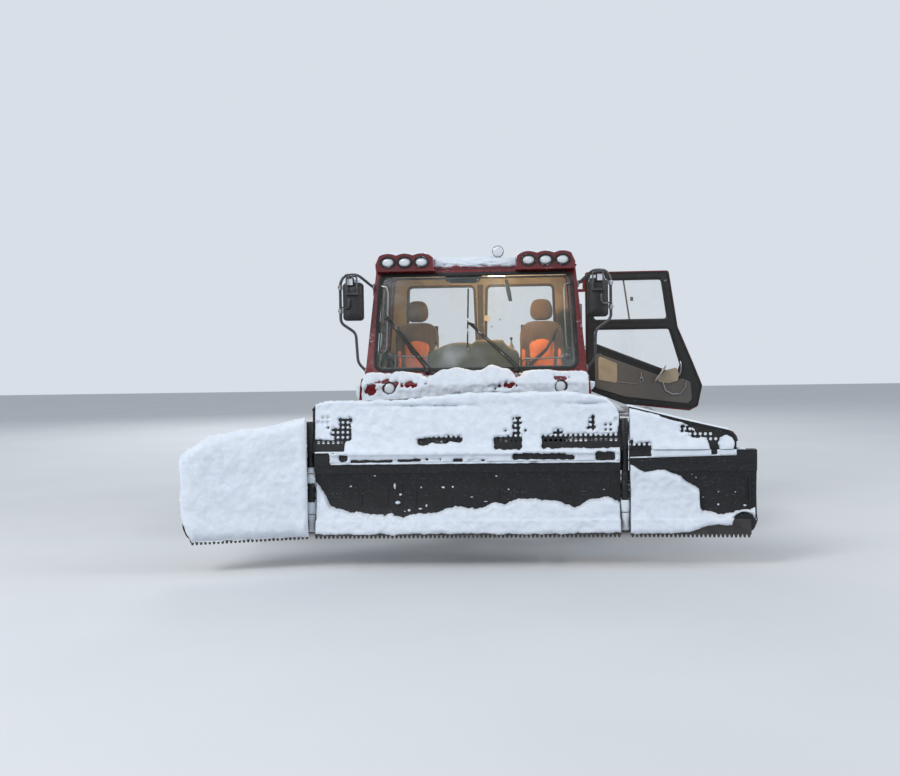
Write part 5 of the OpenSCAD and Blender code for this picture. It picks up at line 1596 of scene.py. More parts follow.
def mirror_panes(side, turn, y):
    b = Build()
    for low, high in ((2.215, 2.402), (2.068, 2.203)):
        b.prism(oblong(1.103, low, 1.267, high, 0.02, 4), along_y, y + 0.044, y + 0.049)
    b.done("mirror_glass_" + side, "mirror", "glass", place=turn)


def mirror_clamps(side, turn, y):
    b = Build()
    for z in (2.145, 2.375):
        b.box((1.270, y - 0.010, z - 0.012), (1.300, y + 0.010, z + 0.012))
        b.tube([(1.310, y, z - 0.022), (1.310, y, z + 0.022)], 0.021, 16)
        for dy in (-0.009, 0.009):
            b.bolt((1.328, y + dy, z), X, 0.006, 0.005)
    b.done("mirror_clamps_" + side, "alloy", "tube", place=turn, bevel=0.0015)


def work_lamp(side, turn, y):
    """The small square lamp on the bracket."""
    face = oblong(1.168, 2.385, 1.244, 2.468, 0.012, 4)
    steps = ((-0.062, 0.010), (-0.062, 0.0), (-0.030, 0.0), (-0.012, 0.018))
    b = Build()
    b.loft([[(u, y + d, v) for u, v in inset(face, by)] for d, by in steps])
    b.tube([(1.206, y - 0.030, 2.462), (1.206, y - 0.022, 2.497)], 0.009, 10)
    b.done("work_lamp_" + side, "rubber", "wheel_rubber", place=turn)
    b = Build()
    b.prism(inset(face, 0.0105), along_y, y - 0.0645, y - 0.0605)
    b.done("work_lens_" + side, "frosted_lens", "lamp_glass", place=turn)


def mirror_feet(side, turn, y):
    b = Build()
    for z, dy in ((2.380, 0.205), (1.560, 0.050)):
        b.lathe([(0, 0.034), (0.008, 0.034), (0.012, 0.026), (0.012, 0.015)], on_side(y + dy, z, 0.0),
                (1, 0, 0.09), 20)
        for k in SIDES:
            b.bolt(on_side(y + dy, z + k * 0.024, 0.007), (1, 0, 0.09), 0.005, 0.004)
    b.done("mirror_feet_" + side, "steel", "tube", place=turn)


def mirrors():
    """Mirror housings on their bent arms, with the clamps and the work lamps."""
    for side, turn in HANDS:
        for part in (mirror_shell, mirror_arm, mirror_bracket, mirror_panes, mirror_clamps, work_lamp,
                     mirror_feet):
            part(side, turn, CAB_FRONT)


# Wipers: the pivot's and the tip's x, the tip's height over the cowl, and the blade's two ends
WIPERS = [(-0.475, -0.870, 0.560, (-0.868, 0.590), (-0.500, 0.130)),
          (0.395, -0.062, 0.500, (-0.070, 0.860), (-0.078, 0.235))]


def wipers():
    """Two pantograph wipers, the one by the open door with its blade upright on the glass."""
    iron, blade = Build(), Build()

    def at(x, up, out):
        return on_screen(x, COWL_Z + up * math.cos(SCREEN_LEAN), out)

    for pivot, tip, height, (xa, za), (xb, zb) in WIPERS:
        for shift, drop, r in ((0.0, 0.0, 0.009), (0.056, 0.018, 0.006)):
            iron.tube([at(pivot + shift, 0.030 - drop, 0.034),
                       at(pivot + shift + (tip - pivot) * 0.08, 0.085 - drop, 0.048),
                       at(tip + shift * 0.7, height - drop, 0.048)], r, 10)
            iron.lathe([(-0.004, 0.020), (0.012, 0.020), (0.018, 0.012), (0.018, 0.005)],
                       at(pivot + shift, 0.030 - drop, 0.026), (0, -1, 0.25), 16)
        iron.lathe([(-0.030, 0.025), (0.0, 0.025), (0.006, 0.018)], at(pivot, 0.030, 0.018), (0, -1, 0.25),
                   20)
        iron.tube([at(tip - 0.012, height + 0.004, 0.046), at(tip + 0.052, height - 0.020, 0.046)], 0.014,
                  12)
        run = [(xb + (xa - xb) * k / 12, zb + (za - zb) * k / 12) for k in range(13)]
        high = [0.022 + 0.014 * math.sin(math.pi * k / 12) for k in range(13)]
        blade.tube([at(x, z, h) for (x, z), h in zip(run, high)], 0.0075, 8)
        for first in (0, 7):
            part = run[first:first + 6]
            blade.tube([at(x, z, 0.018 + 0.008 * math.sin(math.pi * k / 5)) for k,
                        (x, z) in enumerate(part)], 0.005, 8)
        across = Vector((za - zb, -(xa - xb))).normalized()
        section = [(-0.0045, 0.020), (0.0045, 0.020), (0.0045, 0.014), (0.0015, 0.010), (0.001, 0.0015),
                   (-0.001, 0.0015),
                   (-0.0015, 0.010), (-0.0045, 0.014)]
        blade.loft([[at(x + across.x * w, z + across.y * w, o) for w, o in section] for x, z in run])
    made = iron.done("wiper_arms", "plastic", "wheel_rubber")
    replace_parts(made, "wipers")
    blade.done("wiper_blades", "rubber", "wheel_rubber")


def cab_details():
    """Gutters, drip rail, the door sills' treads and the cowl's grille."""
    b = Build()
    for side in SIDES:
        b.tube([(side * (EAVES_HALF + 0.004), y, EAVES_Z + 0.004)
                for y in (CAB_FRONT + 0.30, -1.2, CAB_REAR - 0.01)],
               0.010, 10)
    b.tube([(-0.385, CAB_FRONT + 0.283, EAVES_Z - 0.022), (0.385, CAB_FRONT + 0.283, EAVES_Z - 0.022)],
           0.009, 10)
    b.done("gutters", "seal", "wheel_rubber")
    b = Build()
    for side in SIDES:
        for k in range(6):
            y = HINGE_Y - 0.25 - k * 0.15
            b.box((side * 1.15 - 0.09, y - 0.045, DECK_Z), (side * 1.15 + 0.09, y + 0.045, DECK_Z + 0.004))
    for k in range(9):
        x = -0.36 + k * 0.09
        b.box((x, NOSE_FRONT + 0.110, 1.491), (x + 0.055, NOSE_FRONT + 0.260, 1.515))
    b.done("treads", "steel", "deck", bevel=0.001)


glazing()
doors()
lamps()
headlamps()
mirrors()
wipers()
cab_details()


# Cab snow


def on_cowl(u, v, t):
    """v runs back from the nose's upper edge to the windscreen's foot, and below 0 down the nose's front."""
    knee = 0.085
    if v < 0:
        return (u, NOSE_FRONT - 0.030 * v / 0.370 - t, 1.428 + v)
    if v < knee:
        share = v / knee
        return (u, NOSE_FRONT + 0.060 * share - t * (1 - share), 1.428 + 0.060 * share + t * share)
    share = (v - knee) / (0.335 - knee)
    return (u, NOSE_FRONT + 0.060 + 0.255 * share, 1.488 + 0.025 * share + t)


def on_roof(u, v, t):
    return (u, v, ROOF_Z + t)


def cab_snow():
    def heap(u, v):
        humps = 0.0
        for cu, wide, tall in ((-0.97, 0.10, 0.030), (-0.70, 0.12, 0.034), (-0.30, 0.09, 0.045),
                               (-0.163, 0.085, 0.075),
                               (0.0, 0.09, 0.030),
                               (0.165, 0.095, 0.100), (0.30, 0.06, 0.040), (0.54, 0.10, 0.035),
                               (0.70, 0.09, 0.030), (0.93, 0.12, 0.020)):
            humps += tall * math.exp(-((u - cu) / wide) ** 2)
        back = between([(-0.25, 0.30), (0.0, 0.55), (0.09, 1.0), (0.16, 0.95), (0.33, 0.40)], v)
        lumps = 0.012 * rough(u, v, 3, 7) + 0.008 * rough(u, v, 6, 18) + 0.003 * rough(u, v, 1, 40)
        return (0.030 + humps * 0.8) * back + lumps * (1.0 if v < 0.2 else 0.6)

    def heap_cover(u, v):
        c = min(1.070 - abs(u), v + 0.235 + rough(u, v, 5, 9) * 0.05) + rough(u, v, 2, 10) * 0.02
        for side in SIDES:
            c = min(c, math.hypot(u - side * HEADLAMP_X, (v + 0.033) * 1.15) - 0.064 + rough(u, v, 7, 14)
                    * 0.02)
        for cu, cv, ru, rv in ((-0.86, 0.05, 0.06, 0.035), (-0.66, 0.01, 0.15, 0.026),
                               (0.40, 0.20, 0.055, 0.13),
                               (-0.80, 0.24, 0.06, 0.06),
                               (-0.45, 0.22, 0.075, 0.13), (0.93, 0.22, 0.05, 0.08),
                               (0.50, 0.16, 0.05, 0.05),
                               (0.30, -0.02, 0.08, 0.018), (-0.98, -0.05, 0.055, 0.055),
                               (0.10, -0.13, 0.20, 0.03), (0.81, 0.06, 0.06, 0.03),
                               (-0.98, 0.28, 0.05, 0.04)):
            c = min(c, oval_patch(u, v, cu, cv, ru, rv, 0.03))
        return c

    crust("cowl_snow", "chassis", on_cowl, (-1.075, 1.075), (-0.25, 0.325), 0.0115, heap_cover, heap, 0.045)
    for side in SIDES:
        crust("nose_side_snow_" + hand(side), "chassis",
              lambda u, v, t: (side * on_side(u, v, t)[0], u, on_side(u, v, t)[2]),
              (NOSE_FRONT + 0.02, -1.95), (1.16, 1.44), 0.012,
              lambda u, v: (0.05 if side < 0 else 0.0) + v - 1.32 - (u - NOSE_FRONT) * 0.3
              + rough(u, v, 3, 8) * 0.05,
              lambda u, v: 0.040 + 0.02 * rough(u, v, 2, 6), 0.05)
    crust("roof_snow", "chassis", on_roof, (-0.895, 0.895), (CAB_FRONT + 0.36, CAB_REAR - 0.10), 0.020,
          lambda u, v: min(0.89 - abs(u), v - CAB_FRONT - 0.35, CAB_REAR - 0.10 - v,
                           math.hypot(u - 0.223,
                                      v - CAB_FRONT - 0.42) - 0.05 if v < CAB_FRONT + 0.6 else 1) +
          rough(u, v, 1, 6) * 0.02, lambda u, v: 0.034 + 0.010 * rough(u, v, 2, 4), 0.07)

    def on_brow(u, v, t):
        return (u, CAB_FRONT + 0.270 + 0.080 * v - t * 0.8, EAVES_Z - 0.030 + 0.105 * v + t * 0.6)

    crust("brow_snow", "chassis", on_brow, (-0.42, 0.41), (0.18, 1.0), 0.010,
          lambda u, v: min((v - 0.34) * 0.1 + rough(u, v, 3, 8) * 0.02, 0.42 - abs(u)),
          lambda u, v: 0.030 + 0.008 * rough(u, v, 2, 9), 0.03)
    for side in SIDES:
        crust("pod_snow_" + hand(side), "chassis",
              lambda u, v, t: (side * u, v, pod_top(u) - 0.001 + t), (POD_IN + 0.05, POD_OUT - 0.03),
              (POD_FRONT + 0.010, POD_FRONT + 0.14), 0.010,
              lambda u, v: 0.012 + rough(u, v, side * 3, 9) * 0.025 + (0.03 if side < 0 else 0.0) * (u < 0.62),
              lambda u, v: 0.016, 0.02)
        crust("mirror_snow_" + hand(side), "chassis",
              lambda u, v, t: (side * u, v, 2.4185 + t),
              (1.115, 1.255), (CAB_FRONT - 0.030, CAB_FRONT + 0.044), 0.007,
              lambda u, v: 0.03 + rough(u, v, side, 12) * 0.02,
              lambda u, v: 0.030 + 0.008 * rough(u, v, 2, 20), 0.02)


cab_snow()


# Cab interior


def pad(build, centre, half, crown=(0, 0, 0), power=6, n=14, carve=None):
    """A crowned cushion: a rounded block with swollen faces, its seams pressed in by carve(place, point)."""
    verts, faces, index = [], [], {}
    steps = [-1 + 2 * k / n for k in range(n + 1)]

    def corner(p):
        key = tuple(round(c, 4) for c in p)
        if key not in index:
            index[key] = len(verts)
            q = Vector(p) / sum(abs(c) ** power for c in p) ** (1 / power)
            at = Vector([q[i] * half[i] for i in range(3)])
            for i in range(3):
                at[i] += crown[i] * q[i] * (1 - q[(i + 1) % 3] ** 2) * (1 - q[(i + 2) % 3] ** 2)
            verts.append(Vector(centre) + (carve(q, at) if carve else at))
        return index[key]

    for axis in range(3):
        for sign in SIDES:
            for i in range(n):
                for j in range(n):
                    quad = []
                    for du, dv in ((0, 0), (1, 0), (1, 1), (0, 1)):
                        p = [sign, sign, sign]
                        p[(axis + 1) % 3] = steps[i + du]
                        p[(axis + 2) % 3] = steps[j + dv]
                        quad.append(corner(p))
                    faces.append(quad if sign > 0 else quad[::-1])
    return build.add(verts, faces)


SEAT_X, SEAT_Y, BACK_LEAN = 0.655, HINGE_Y, 0.10


def groove(distance, width=0.010, depth=0.007):
    """How far a seam sinks a point at this distance from it."""
    return depth * math.exp(-(distance / width) ** 2)


def seat_back(q, at):
    """Narrows the shoulders, wings the sides forward, leans the whole and presses in the front's U seam."""
    at = at.copy()
    shoulder = max(0.0, at.z - 0.16) / 0.17
    at.x *= 1 - 0.20 * shoulder ** 2
    if q.y < 0:
        at.y -= 0.026 * (abs(q.x) ** 3) * (1 - 0.5 * shoulder)
        ring = abs(math.hypot(at.x / 0.125, max(0.0, 0.02 - at.z) / 0.14) - 1) * 0.12
        if at.z > 0.17:
            ring = min(ring, abs(at.z - 0.19))
        at.y += groove(ring) + groove(abs(abs(at.x) - 0.175), 0.008, 0.008)
    at.y += BACK_LEAN * (at.z + 0.34)
    return at


def seat_base(q, at):
    """Lifts the sides and presses straight seams into the top."""
    at = at.copy()
    if q.z > 0:
        at.z += 0.022 * abs(q.x) ** 3 - groove(abs(abs(at.x) - 0.165), 0.008, 0.008)
        at.z -= groove(abs(at.y + 0.10), 0.008, 0.005) + groove(abs(at.y - 0.06), 0.008, 0.005)
    return at


def head_pad(q, at):
    """Narrows the headrest's top and leans it."""
    at = at.copy()
    at.x *= 1 - 0.16 * max(0.0, q.z)
    at.y += BACK_LEAN * at.z
    return at


def insert(q, at):
    """The orange facing: a tall panel with its lower end rounded."""
    at = at.copy()
    low = max(0.0, -q.z)
    at.x *= 1 - 0.30 * low ** 3
    at.y += BACK_LEAN * (at.z + 0.30)
    if q.y < 0:
        at.y += groove(abs(math.hypot(at.x / 0.080, (at.z - 0.10) / 0.17) - 1) * 0.08, 0.008, 0.005)
    return at


SWELL_FRAMES, SWELL_GRAIN, SWELL_PRESSURE, SWELL_QUALITY, SWELL_NEAR = 20, 0.0075, 4.0, 4, 4
# The most that swelling moves a point of each cushion
SWELL_CAPS = {"cushion": 0.012, "back": 0.010, "facing": 0.006, "headrest": 0.010}
swollen = {}


def blow_up(mesh):
    """A closed cushion blown up as cloth without gravity: its even grid's points, and how far each moves."""
    scene = bpy.context.scene
    copy = bpy.data.objects.new("blown", mesh.copy())
    scene.collection.objects.link(copy)
    grain = copy.modifiers.new("grain", "REMESH")
    grain.mode = "VOXEL"
    grain.voxel_size = SWELL_GRAIN
    even = bpy.data.meshes.new_from_object(copy.evaluated_get(bpy.context.evaluated_depsgraph_get()))
    copy.modifiers.clear()
    copy.data = even
    start = [v.co.copy() for v in even.vertices]
    cloth = copy.modifiers.new("cloth", "CLOTH")
    cloth.settings.quality = SWELL_QUALITY
    cloth.settings.use_pressure = True
    cloth.settings.uniform_pressure_force = SWELL_PRESSURE
    cloth.settings.effector_weights.gravity = 0
    cloth.point_cache.frame_start, cloth.point_cache.frame_end = 1, SWELL_FRAMES
    for k in range(1, SWELL_FRAMES + 1):
        scene.frame_set(k)
    blown = copy.evaluated_get(bpy.context.evaluated_depsgraph_get()).data
    travel = [v.co - at for v, at in zip(blown.vertices, start)]
    scene.frame_set(1)
    bpy.data.objects.remove(copy)
    drift = sum(travel, Vector()) / len(travel)
    return start, [move - drift for move in travel]


def swell(piece, kind, side):
    """Gives a cushion its padded shape, its seams kept. The right seat takes the left one's, mirrored."""
    if kind not in swollen:
        start, travel = blow_up(piece.data)
        tree = KDTree(len(start))
        for i, at in enumerate(start):
            tree.insert(at, i)
        tree.balance()
        swollen[kind] = tree, travel
    tree, travel = swollen[kind]
    for vertex in piece.data.vertices:
        near = tree.find_n((vertex.co.x * side, vertex.co.y, vertex.co.z), SWELL_NEAR)
        move = sum((travel[found[1]] for found in near), Vector()) / len(near)
        move *= min(1.0, SWELL_CAPS[kind] / max(move.length, THIN))
        vertex.co += Vector((move.x * side, move.y, move.z))


SEAT_LOW = FLOOR_Z + 0.28


def seat_cushions(x, side, tag):
    """Base, back, facing and headrest, padded."""
    base, back, facing, head = Build(), Build(), Build(), Build()
    pad(base, (x, SEAT_Y - 0.445, SEAT_LOW + 0.088), (0.232, 0.250, 0.070), (0, 0, 0.010), 5, 18, seat_base)
    pad(back, (x, SEAT_Y - 0.272, SEAT_LOW + 0.345), (0.238, 0.040, 0.320), (0, 0.008, 0), 5, 22, seat_back)
    pad(facing, (x, SEAT_Y - 0.312, SEAT_LOW + 0.300), (0.150, 0.014, 0.185), (0, 0.012, 0), 5, 20, insert)
    for s in SIDES:
        pad(facing, (x + s * 0.190, SEAT_Y - 0.318, SEAT_LOW + 0.245), (0.022, 0.020, 0.150), (0, 0.006, 0),
            4, 8, insert)
    pad(head, (x, SEAT_Y - 0.180, SEAT_LOW + 0.775), (0.118, 0.045, 0.105), (0, 0.012, 0.008), 3.6, 14,
        head_pad)
    pieces = [b.done("seat_" + kind + "_" + tag, cloth, "upholstery", angle=180) for b, kind, cloth in
              ((base, "cushion", "orange"), (back, "back", "brown"), (facing, "facing", "orange"),
               (head, "headrest", "brown"))]
    for made, kind in zip(pieces, SWELL_CAPS):
        swell(made, kind, side)
    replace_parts(pieces[0], "seats")


def seat_posts(x, side, tag):
    """The headrest's posts and the bars under the cushion."""
    b = Build()
    for s in SIDES:
        b.tube([(x + s * 0.05, SEAT_Y - 0.205, SEAT_LOW + 0.62),
                (x + s * 0.05, SEAT_Y - 0.190, SEAT_LOW + 0.72)], 0.006, 8)
    for y in (-0.60, -0.25):
        b.box((x - 0.20, SEAT_Y + y - 0.012, SEAT_LOW - 0.010),
              (x + 0.20, SEAT_Y + y + 0.012, SEAT_LOW + 0.014))
    b.done("seat_posts_" + tag, "steel", "rod_chrome")


FOLDS, FOLD_OUT = 8, 0.012


def seat_bellows(x, side, tag):
    b = Build()
    rings = []
    for k in range(2 * FOLDS + 1):
        grow = FOLD_OUT if k % 2 else 0.0
        z = FLOOR_Z + 0.035 + (SEAT_LOW - FLOOR_Z - 0.05) * k / (2 * FOLDS)
        outline = oblong(x - 0.138 - grow, SEAT_Y - 0.545 - grow, x + 0.138 + grow, SEAT_Y - 0.255 + grow,
                         0.03, 4)
        rings.append([(u, v, z) for u, v in outline])
    b.loft(rings)
    b.box((x - 0.15, SEAT_Y - 0.56, FLOOR_Z), (x + 0.15, SEAT_Y - 0.24, FLOOR_Z + 0.035))
    b.done("seat_bellows_" + tag, "rubber", "wheel_rubber", angle=20)


def seat_shell(x, side, tag):
    b = Build()
    shell = [[(x + u * 0.218, SEAT_Y - 0.225 + 0.02 * (1 - abs(u)) + BACK_LEAN * v, SEAT_LOW + 0.04 + v)
              for u in (-1, -0.9, -0.5, 0, 0.5, 0.9, 1)] for v in (0, 0.1, 0.3, 0.5, 0.58)]
    outer = [[(px, y + 0.014, z) for px, y, z in row] for row in shell]
    b.loft([row + o[::-1] for row, o in zip(shell, outer)])
    b.box((x - 0.245, SEAT_Y - 0.50, SEAT_LOW + 0.020), (x - 0.228, SEAT_Y - 0.36, SEAT_LOW + 0.045))
    b.done("seat_shell_" + tag, "plastic", "mirror_shell", angle=30)


def seat_arms(x, side, tag):
    b = Build()
    for s in SIDES:
        pad(b, (x + s * 0.262, SEAT_Y - 0.40, SEAT_LOW + 0.285), (0.026, 0.135, 0.018), (0, 0, 0.004), 4, 8)
        b.tube([(x + s * 0.262, SEAT_Y - 0.26, SEAT_LOW + 0.27),
                (x + s * 0.245, SEAT_Y - 0.245, SEAT_LOW + 0.22)], 0.012, 8)
    b.done("seat_arms_" + tag, "plastic", "upholstery", angle=60)


# The belt's path: x, behind the seat's origin, over the seat's foot
BELT = [(0.205, -0.205, 0.60), (0.16, -0.252, 0.56), (0.05, -0.345, 0.36), (-0.12, -0.365, 0.20),
        (-0.235, -0.30, 0.12)]


def seat_belt(x, side, tag):
    b = Build()
    strap(b, [(x + u * side, SEAT_Y + v, SEAT_LOW + w) for u, v, w in BELT], (0.35, -0.2, 1), 0.023, 0.0018)
    b.done("seat_belt_" + tag, "belt", "upholstery", angle=60)
    b = Build()
    at = x - 0.246 * side
    b.box((at - 0.012, SEAT_Y - 0.315, SEAT_LOW + 0.055), (at + 0.012, SEAT_Y - 0.29, SEAT_LOW + 0.13))
    b.done("seat_buckle_" + tag, "red_lens", "red_lens", bevel=0.003)


def seat(side):
    for part in (seat_cushions, seat_posts, seat_bellows, seat_shell, seat_arms, seat_belt):
        part(SEAT_X * side, side, hand(side))


def strap(build, path, side, half, thick):
    """Flat webbing along a path, its width lying along side."""
    rings = []
    path = [Vector(p) for p in path]
    for i, p in enumerate(path):
        along = (path[min(i + 1, len(path) - 1)] - path[max(i - 1, 0)]).normalized()
        across = Vector(side) - along * along.dot(Vector(side))
        across.normalize()
        up = along.cross(across)
        rings.append([p + across * half + up * thick, p - across * half + up * thick,
                      p - across * half - up * thick,
                      p + across * half - up * thick])
    return build.loft(rings)


DASH_FRONT, DASH_REAR = CAB_FRONT + 0.190, CAB_FRONT + 0.420
DASH_LOW, DASH_HIGH = -0.488, 0.418


def dash_body():
    hump = [(-0.488, FLOOR_Z), (-0.488, 1.700), (-0.452, 1.742), (-0.385, 1.765), (-0.330, 1.795),
            (-0.240, 1.822), (-0.120, 1.826), (-0.045, 1.810), (-0.010, 1.842),
            (0.060, 1.849), (0.130, 1.840), (0.200, 1.848),
            (0.262, 1.842), (0.290, 1.800), (0.340, 1.760), (0.400, 1.735), (0.418, 1.700),
            (0.418, FLOOR_Z)]
    b = Build()
    rings = []
    for y, by, drop in ((DASH_FRONT, 0.030, 0.05), (DASH_FRONT + 0.012, 0.010, 0.02),
                        (DASH_FRONT + 0.05, 0.0, 0.006), (DASH_FRONT + 0.11, 0, 0),
                        (DASH_REAR - 0.04, 0.0, 0.012), (DASH_REAR - 0.012, 0.006, 0.03),
                        (DASH_REAR, 0.022, 0.05)):
        rings.append([(max(min(x, DASH_HIGH - by), DASH_LOW + by), y, max(z - drop * (z > 1.5), FLOOR_Z))
                      for x, z in hump])
    b.loft(rings)
    made = b.done("dash_body", "dash", "dash", angle=50)
    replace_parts(made, "dashboard")


def dash_wings():
    """The ledges on both sides of the dashboard."""
    b = Build()
    shelf = rounded([(CAB_FRONT + 0.062, 1.508), (CAB_FRONT + 0.400, 1.470), (CAB_FRONT + 0.400, 1.540),
                     (CAB_FRONT + 0.080, 1.568)], 0.012, 3)
    for low, high in ((-0.975, -0.490), (0.420, 0.975)):
        b.prism(shelf, along_x, low, high)
    b.done("dash_wings", "grey_trim", "dash", angle=40, bevel=0.003)


def grab_rails():
    """Rails on the ledges and bars on the front pillars."""
    b = Build()
    for path in ([(0.452, 1.605), (0.455, 1.630), (0.478, 1.652), (0.60, 1.652), (0.832, 1.656),
                  (0.852, 1.668), (0.862, 1.690)],
                 [(-0.452, 1.640), (-0.455, 1.668), (-0.480, 1.686), (-0.60, 1.688), (-0.862, 1.698),
                  (-0.880, 1.706),
                  (-0.889, 1.730)]):
        b.tube([(u, -1.505, v) for u, v in path], 0.0085, 10)
        for u in (path[0][0] * 1.12, path[-1][0] * 0.93):
            b.tube([(u, -1.505, 1.655 if u > 0 else 1.688), (u, -1.512, 1.530)], 0.007, 8)
    for s in SIDES:
        b.tube([(s * 0.955, -1.672, 2.400), (s * 0.880, -1.690, 2.380), (s * 0.868, -1.700, 2.330),
                (s * 0.884, -1.750, 1.790),
                (s * 0.898, -1.752, 1.750), (s * 0.985, -1.735, 1.735)], 0.0095, 10)
    b.done("grab_rails", "steel", "tube")


def dash_screens():
    b = Build()
    for x in (0.10, 0.225):
        b.prism(oblong(x - 0.052, 1.712, x + 0.052, 1.800, 0.01, 3),
                along_y, DASH_REAR - 0.010, DASH_REAR + 0.006)
    for k in range(8):
        x = -0.34 + 0.045 * (k % 4)
        z = 1.66 + 0.06 * (k // 4)
        b.box((x, DASH_REAR - 0.008, z), (x + 0.030, DASH_REAR + 0.005, z + 0.020))
    b.done("dash_screens", "screen", "dash", bevel=0.002)


def levers():
    """Short levers in their boots, long ones by the seat, and two pedals."""
    b = Build()
    for x, z, r, h in ((0.345, 1.752, 0.034, 0.075), (-0.405, 1.746, 0.026, 0.050)):
        b.lathe([(0, r), (h * 0.35, r * 0.72), (h * 0.7, r * 0.40), (h, r * 0.26)], (x, -1.60, z), Z, 20)
    b.done("lever_boots", "headliner", "upholstery", angle=60)
    b = Build()
    for x, z, h in ((0.345, 1.822, 0.022), (-0.405, 1.790, 0.030)):
        b.tube([(x, -1.60, z), (x, -1.595, z + h)], 0.005, 8)
        b.ball((x, -1.594, z + h + 0.010), 0.014, (1, 1, 1.2), 8, 12)
    for x in (0.50, 0.58):
        b.tube([(x, -1.05, FLOOR_Z), (x, -1.10, FLOOR_Z + 0.30), (x, -1.09, FLOOR_Z + 0.42)], 0.009, 8)
        b.ball((x, -1.088, FLOOR_Z + 0.44), 0.020, (1, 1, 1.6), 8, 12)
    for x in (0.60, 0.74):
        b.prism([(x - 0.035, FLOOR_Z + 0.02), (x + 0.035, FLOOR_Z + 0.02), (x + 0.035, FLOOR_Z + 0.16),
                 (x - 0.035, FLOOR_Z + 0.16)],
                lambda u, v, d: (u, -1.48 - d - (v - FLOOR_Z) * 0.5, v), 0.0, 0.012)
        b.tube([(x, -1.53, FLOOR_Z + 0.09), (x, -1.62, FLOOR_Z + 0.02)], 0.008, 8)
    b.done("levers", "plastic", "dash", angle=50)


def console():
    b = Build()
    b.prism(oblong(0.430, FLOOR_Z + 0.02, 0.62, FLOOR_Z + 0.30, 0.02, 3),
            along_y, -1.16, -0.98)
    b.done("console", "grey_trim", "dash", bevel=0.006)


CEILING = EAVES_Z - 0.030
WALL_IN = CAB_REAR - WALL


def headliner():
    b = Build()
    edge = EAVES_HALF - WALL - 0.022
    outline = oblong(-edge, CAB_FRONT + 0.345, edge, WALL_IN - 0.02, 0.06, 5)
    b.plate([outline], face_xy(CEILING), 0.020, 0.006)
    for k in range(5):
        x = -0.60 + 0.30 * k
        b.prism([(x - 0.10, CEILING - 0.010), (x + 0.10, CEILING - 0.010), (x + 0.09, CEILING - 0.019),
                 (x - 0.09, CEILING - 0.019)],
                along_y, CAB_FRONT + 0.46, WALL_IN - 0.08)
    b.done("headliner", "headliner", "upholstery", angle=40)


def rear_lining():
    """The rear wall's trim, pierced for the windows."""
    low, high = 1.46, CEILING - 0.012
    outline = rounded([(-skin(low) + WALL + 0.014, low), (skin(low) - WALL - 0.014, low),
                       (skin(high) - WALL - 0.014, high),
                       (-skin(high) + WALL + 0.014, high)], 0.05, 4)
    Build().plate([outline] + [inset(rear_outline(x), -0.010) for x in WINDOWS], face_xz(WALL_IN - 0.004),
                  0.008).done("rear_lining", "headliner", "upholstery")


def rear_shelf():
    """Ribs under the rear windows, the shelf and the post between the windows."""
    b = Build()
    for k in range(3):
        b.box((-0.98, WALL_IN - 0.016, 1.135 + 0.105 * k), (0.98, WALL_IN - 0.002, 1.225 + 0.105 * k))
    b.box((-0.95, WALL_IN - 0.135, 1.470), (0.95, WALL_IN - 0.008, 1.490))
    b.box((-0.030, WALL_IN - 0.022, 1.66), (0.030, WALL_IN - 0.006, 2.46))
    b.done("rear_shelf", "grey_trim", "dash", bevel=0.004)


def dome_lamp():
    """The lit lamp under the ceiling."""
    x, y, z = 0.205, -1.440, CEILING - 0.038
    b = Build()
    b.loft([[(u, v, z - h) for u, v in oval(x, y, 0.105 * k, 0.060 * k, 28)] for k,
            h in ((1.05, -0.030), (1, 0),
            (1, 0.010), (0.9, 0.016), (0.9, 0.006))])
    b.done("dome_rim", "grey_trim", "dash", angle=50)
    b = Build()
    b.loft([[(u, v, z - h) for u, v in oval(x, y, 0.093 * k, 0.052 * k, 28)] for k,
            h in ((1, 0.008), (0.97, 0.020),
            (0.8, 0.028), (0.4, 0.033), (0.02, 0.034))])
    b.done("dome_lamp", "dome", "lamp_glass", angle=60)
    glow = lamp("dome_glow", "POINT", (x, y, z - 0.10), (x, y, 0), 42, 0.05, (1.0, 0.68, 0.36))
    glow.visible_camera = glow.visible_glossy = glow.visible_transmission = False


def sun_visor():
    b = Build()
    visor = rounded([(-0.300, 2.535), (-0.300, 2.440), (-0.240, 2.415), (-0.02, 2.410), (0.030, 2.425),
                     (0.062, 2.470),
                     (0.062, 2.535)], 0.014, 4)
    b.prism(visor, along_y, -1.610, -1.585)
    b.box((-0.280, -1.60, 2.515), (0.040, -1.555, 2.540))
    b.done("visor", "plastic", "dash", bevel=0.004)


def hand_mic():
    """A microphone hung from the ceiling by its holder."""
    b = Build()
    b.tube([(0.286, -1.450, CEILING - 0.008), (0.290, -1.452, 2.480), (0.297, -1.454, 2.440)], 0.006, 8)
    b.prism(rounded([(-0.020, -0.115), (0.014, -0.120), (0.022, -0.03), (0.018, 0.085), (0.008, 0.100),
                     (-0.010, 0.100),
                     (-0.018, 0.085), (-0.022, -0.03)], 0.006, 3),
            lambda u, v, d: (0.318 + u - v * 0.22, -1.456 + d, 2.350 + v + u * 0.2), -0.014, 0.014)
    b.done("hand_mic", "plastic", "dash", bevel=0.004)


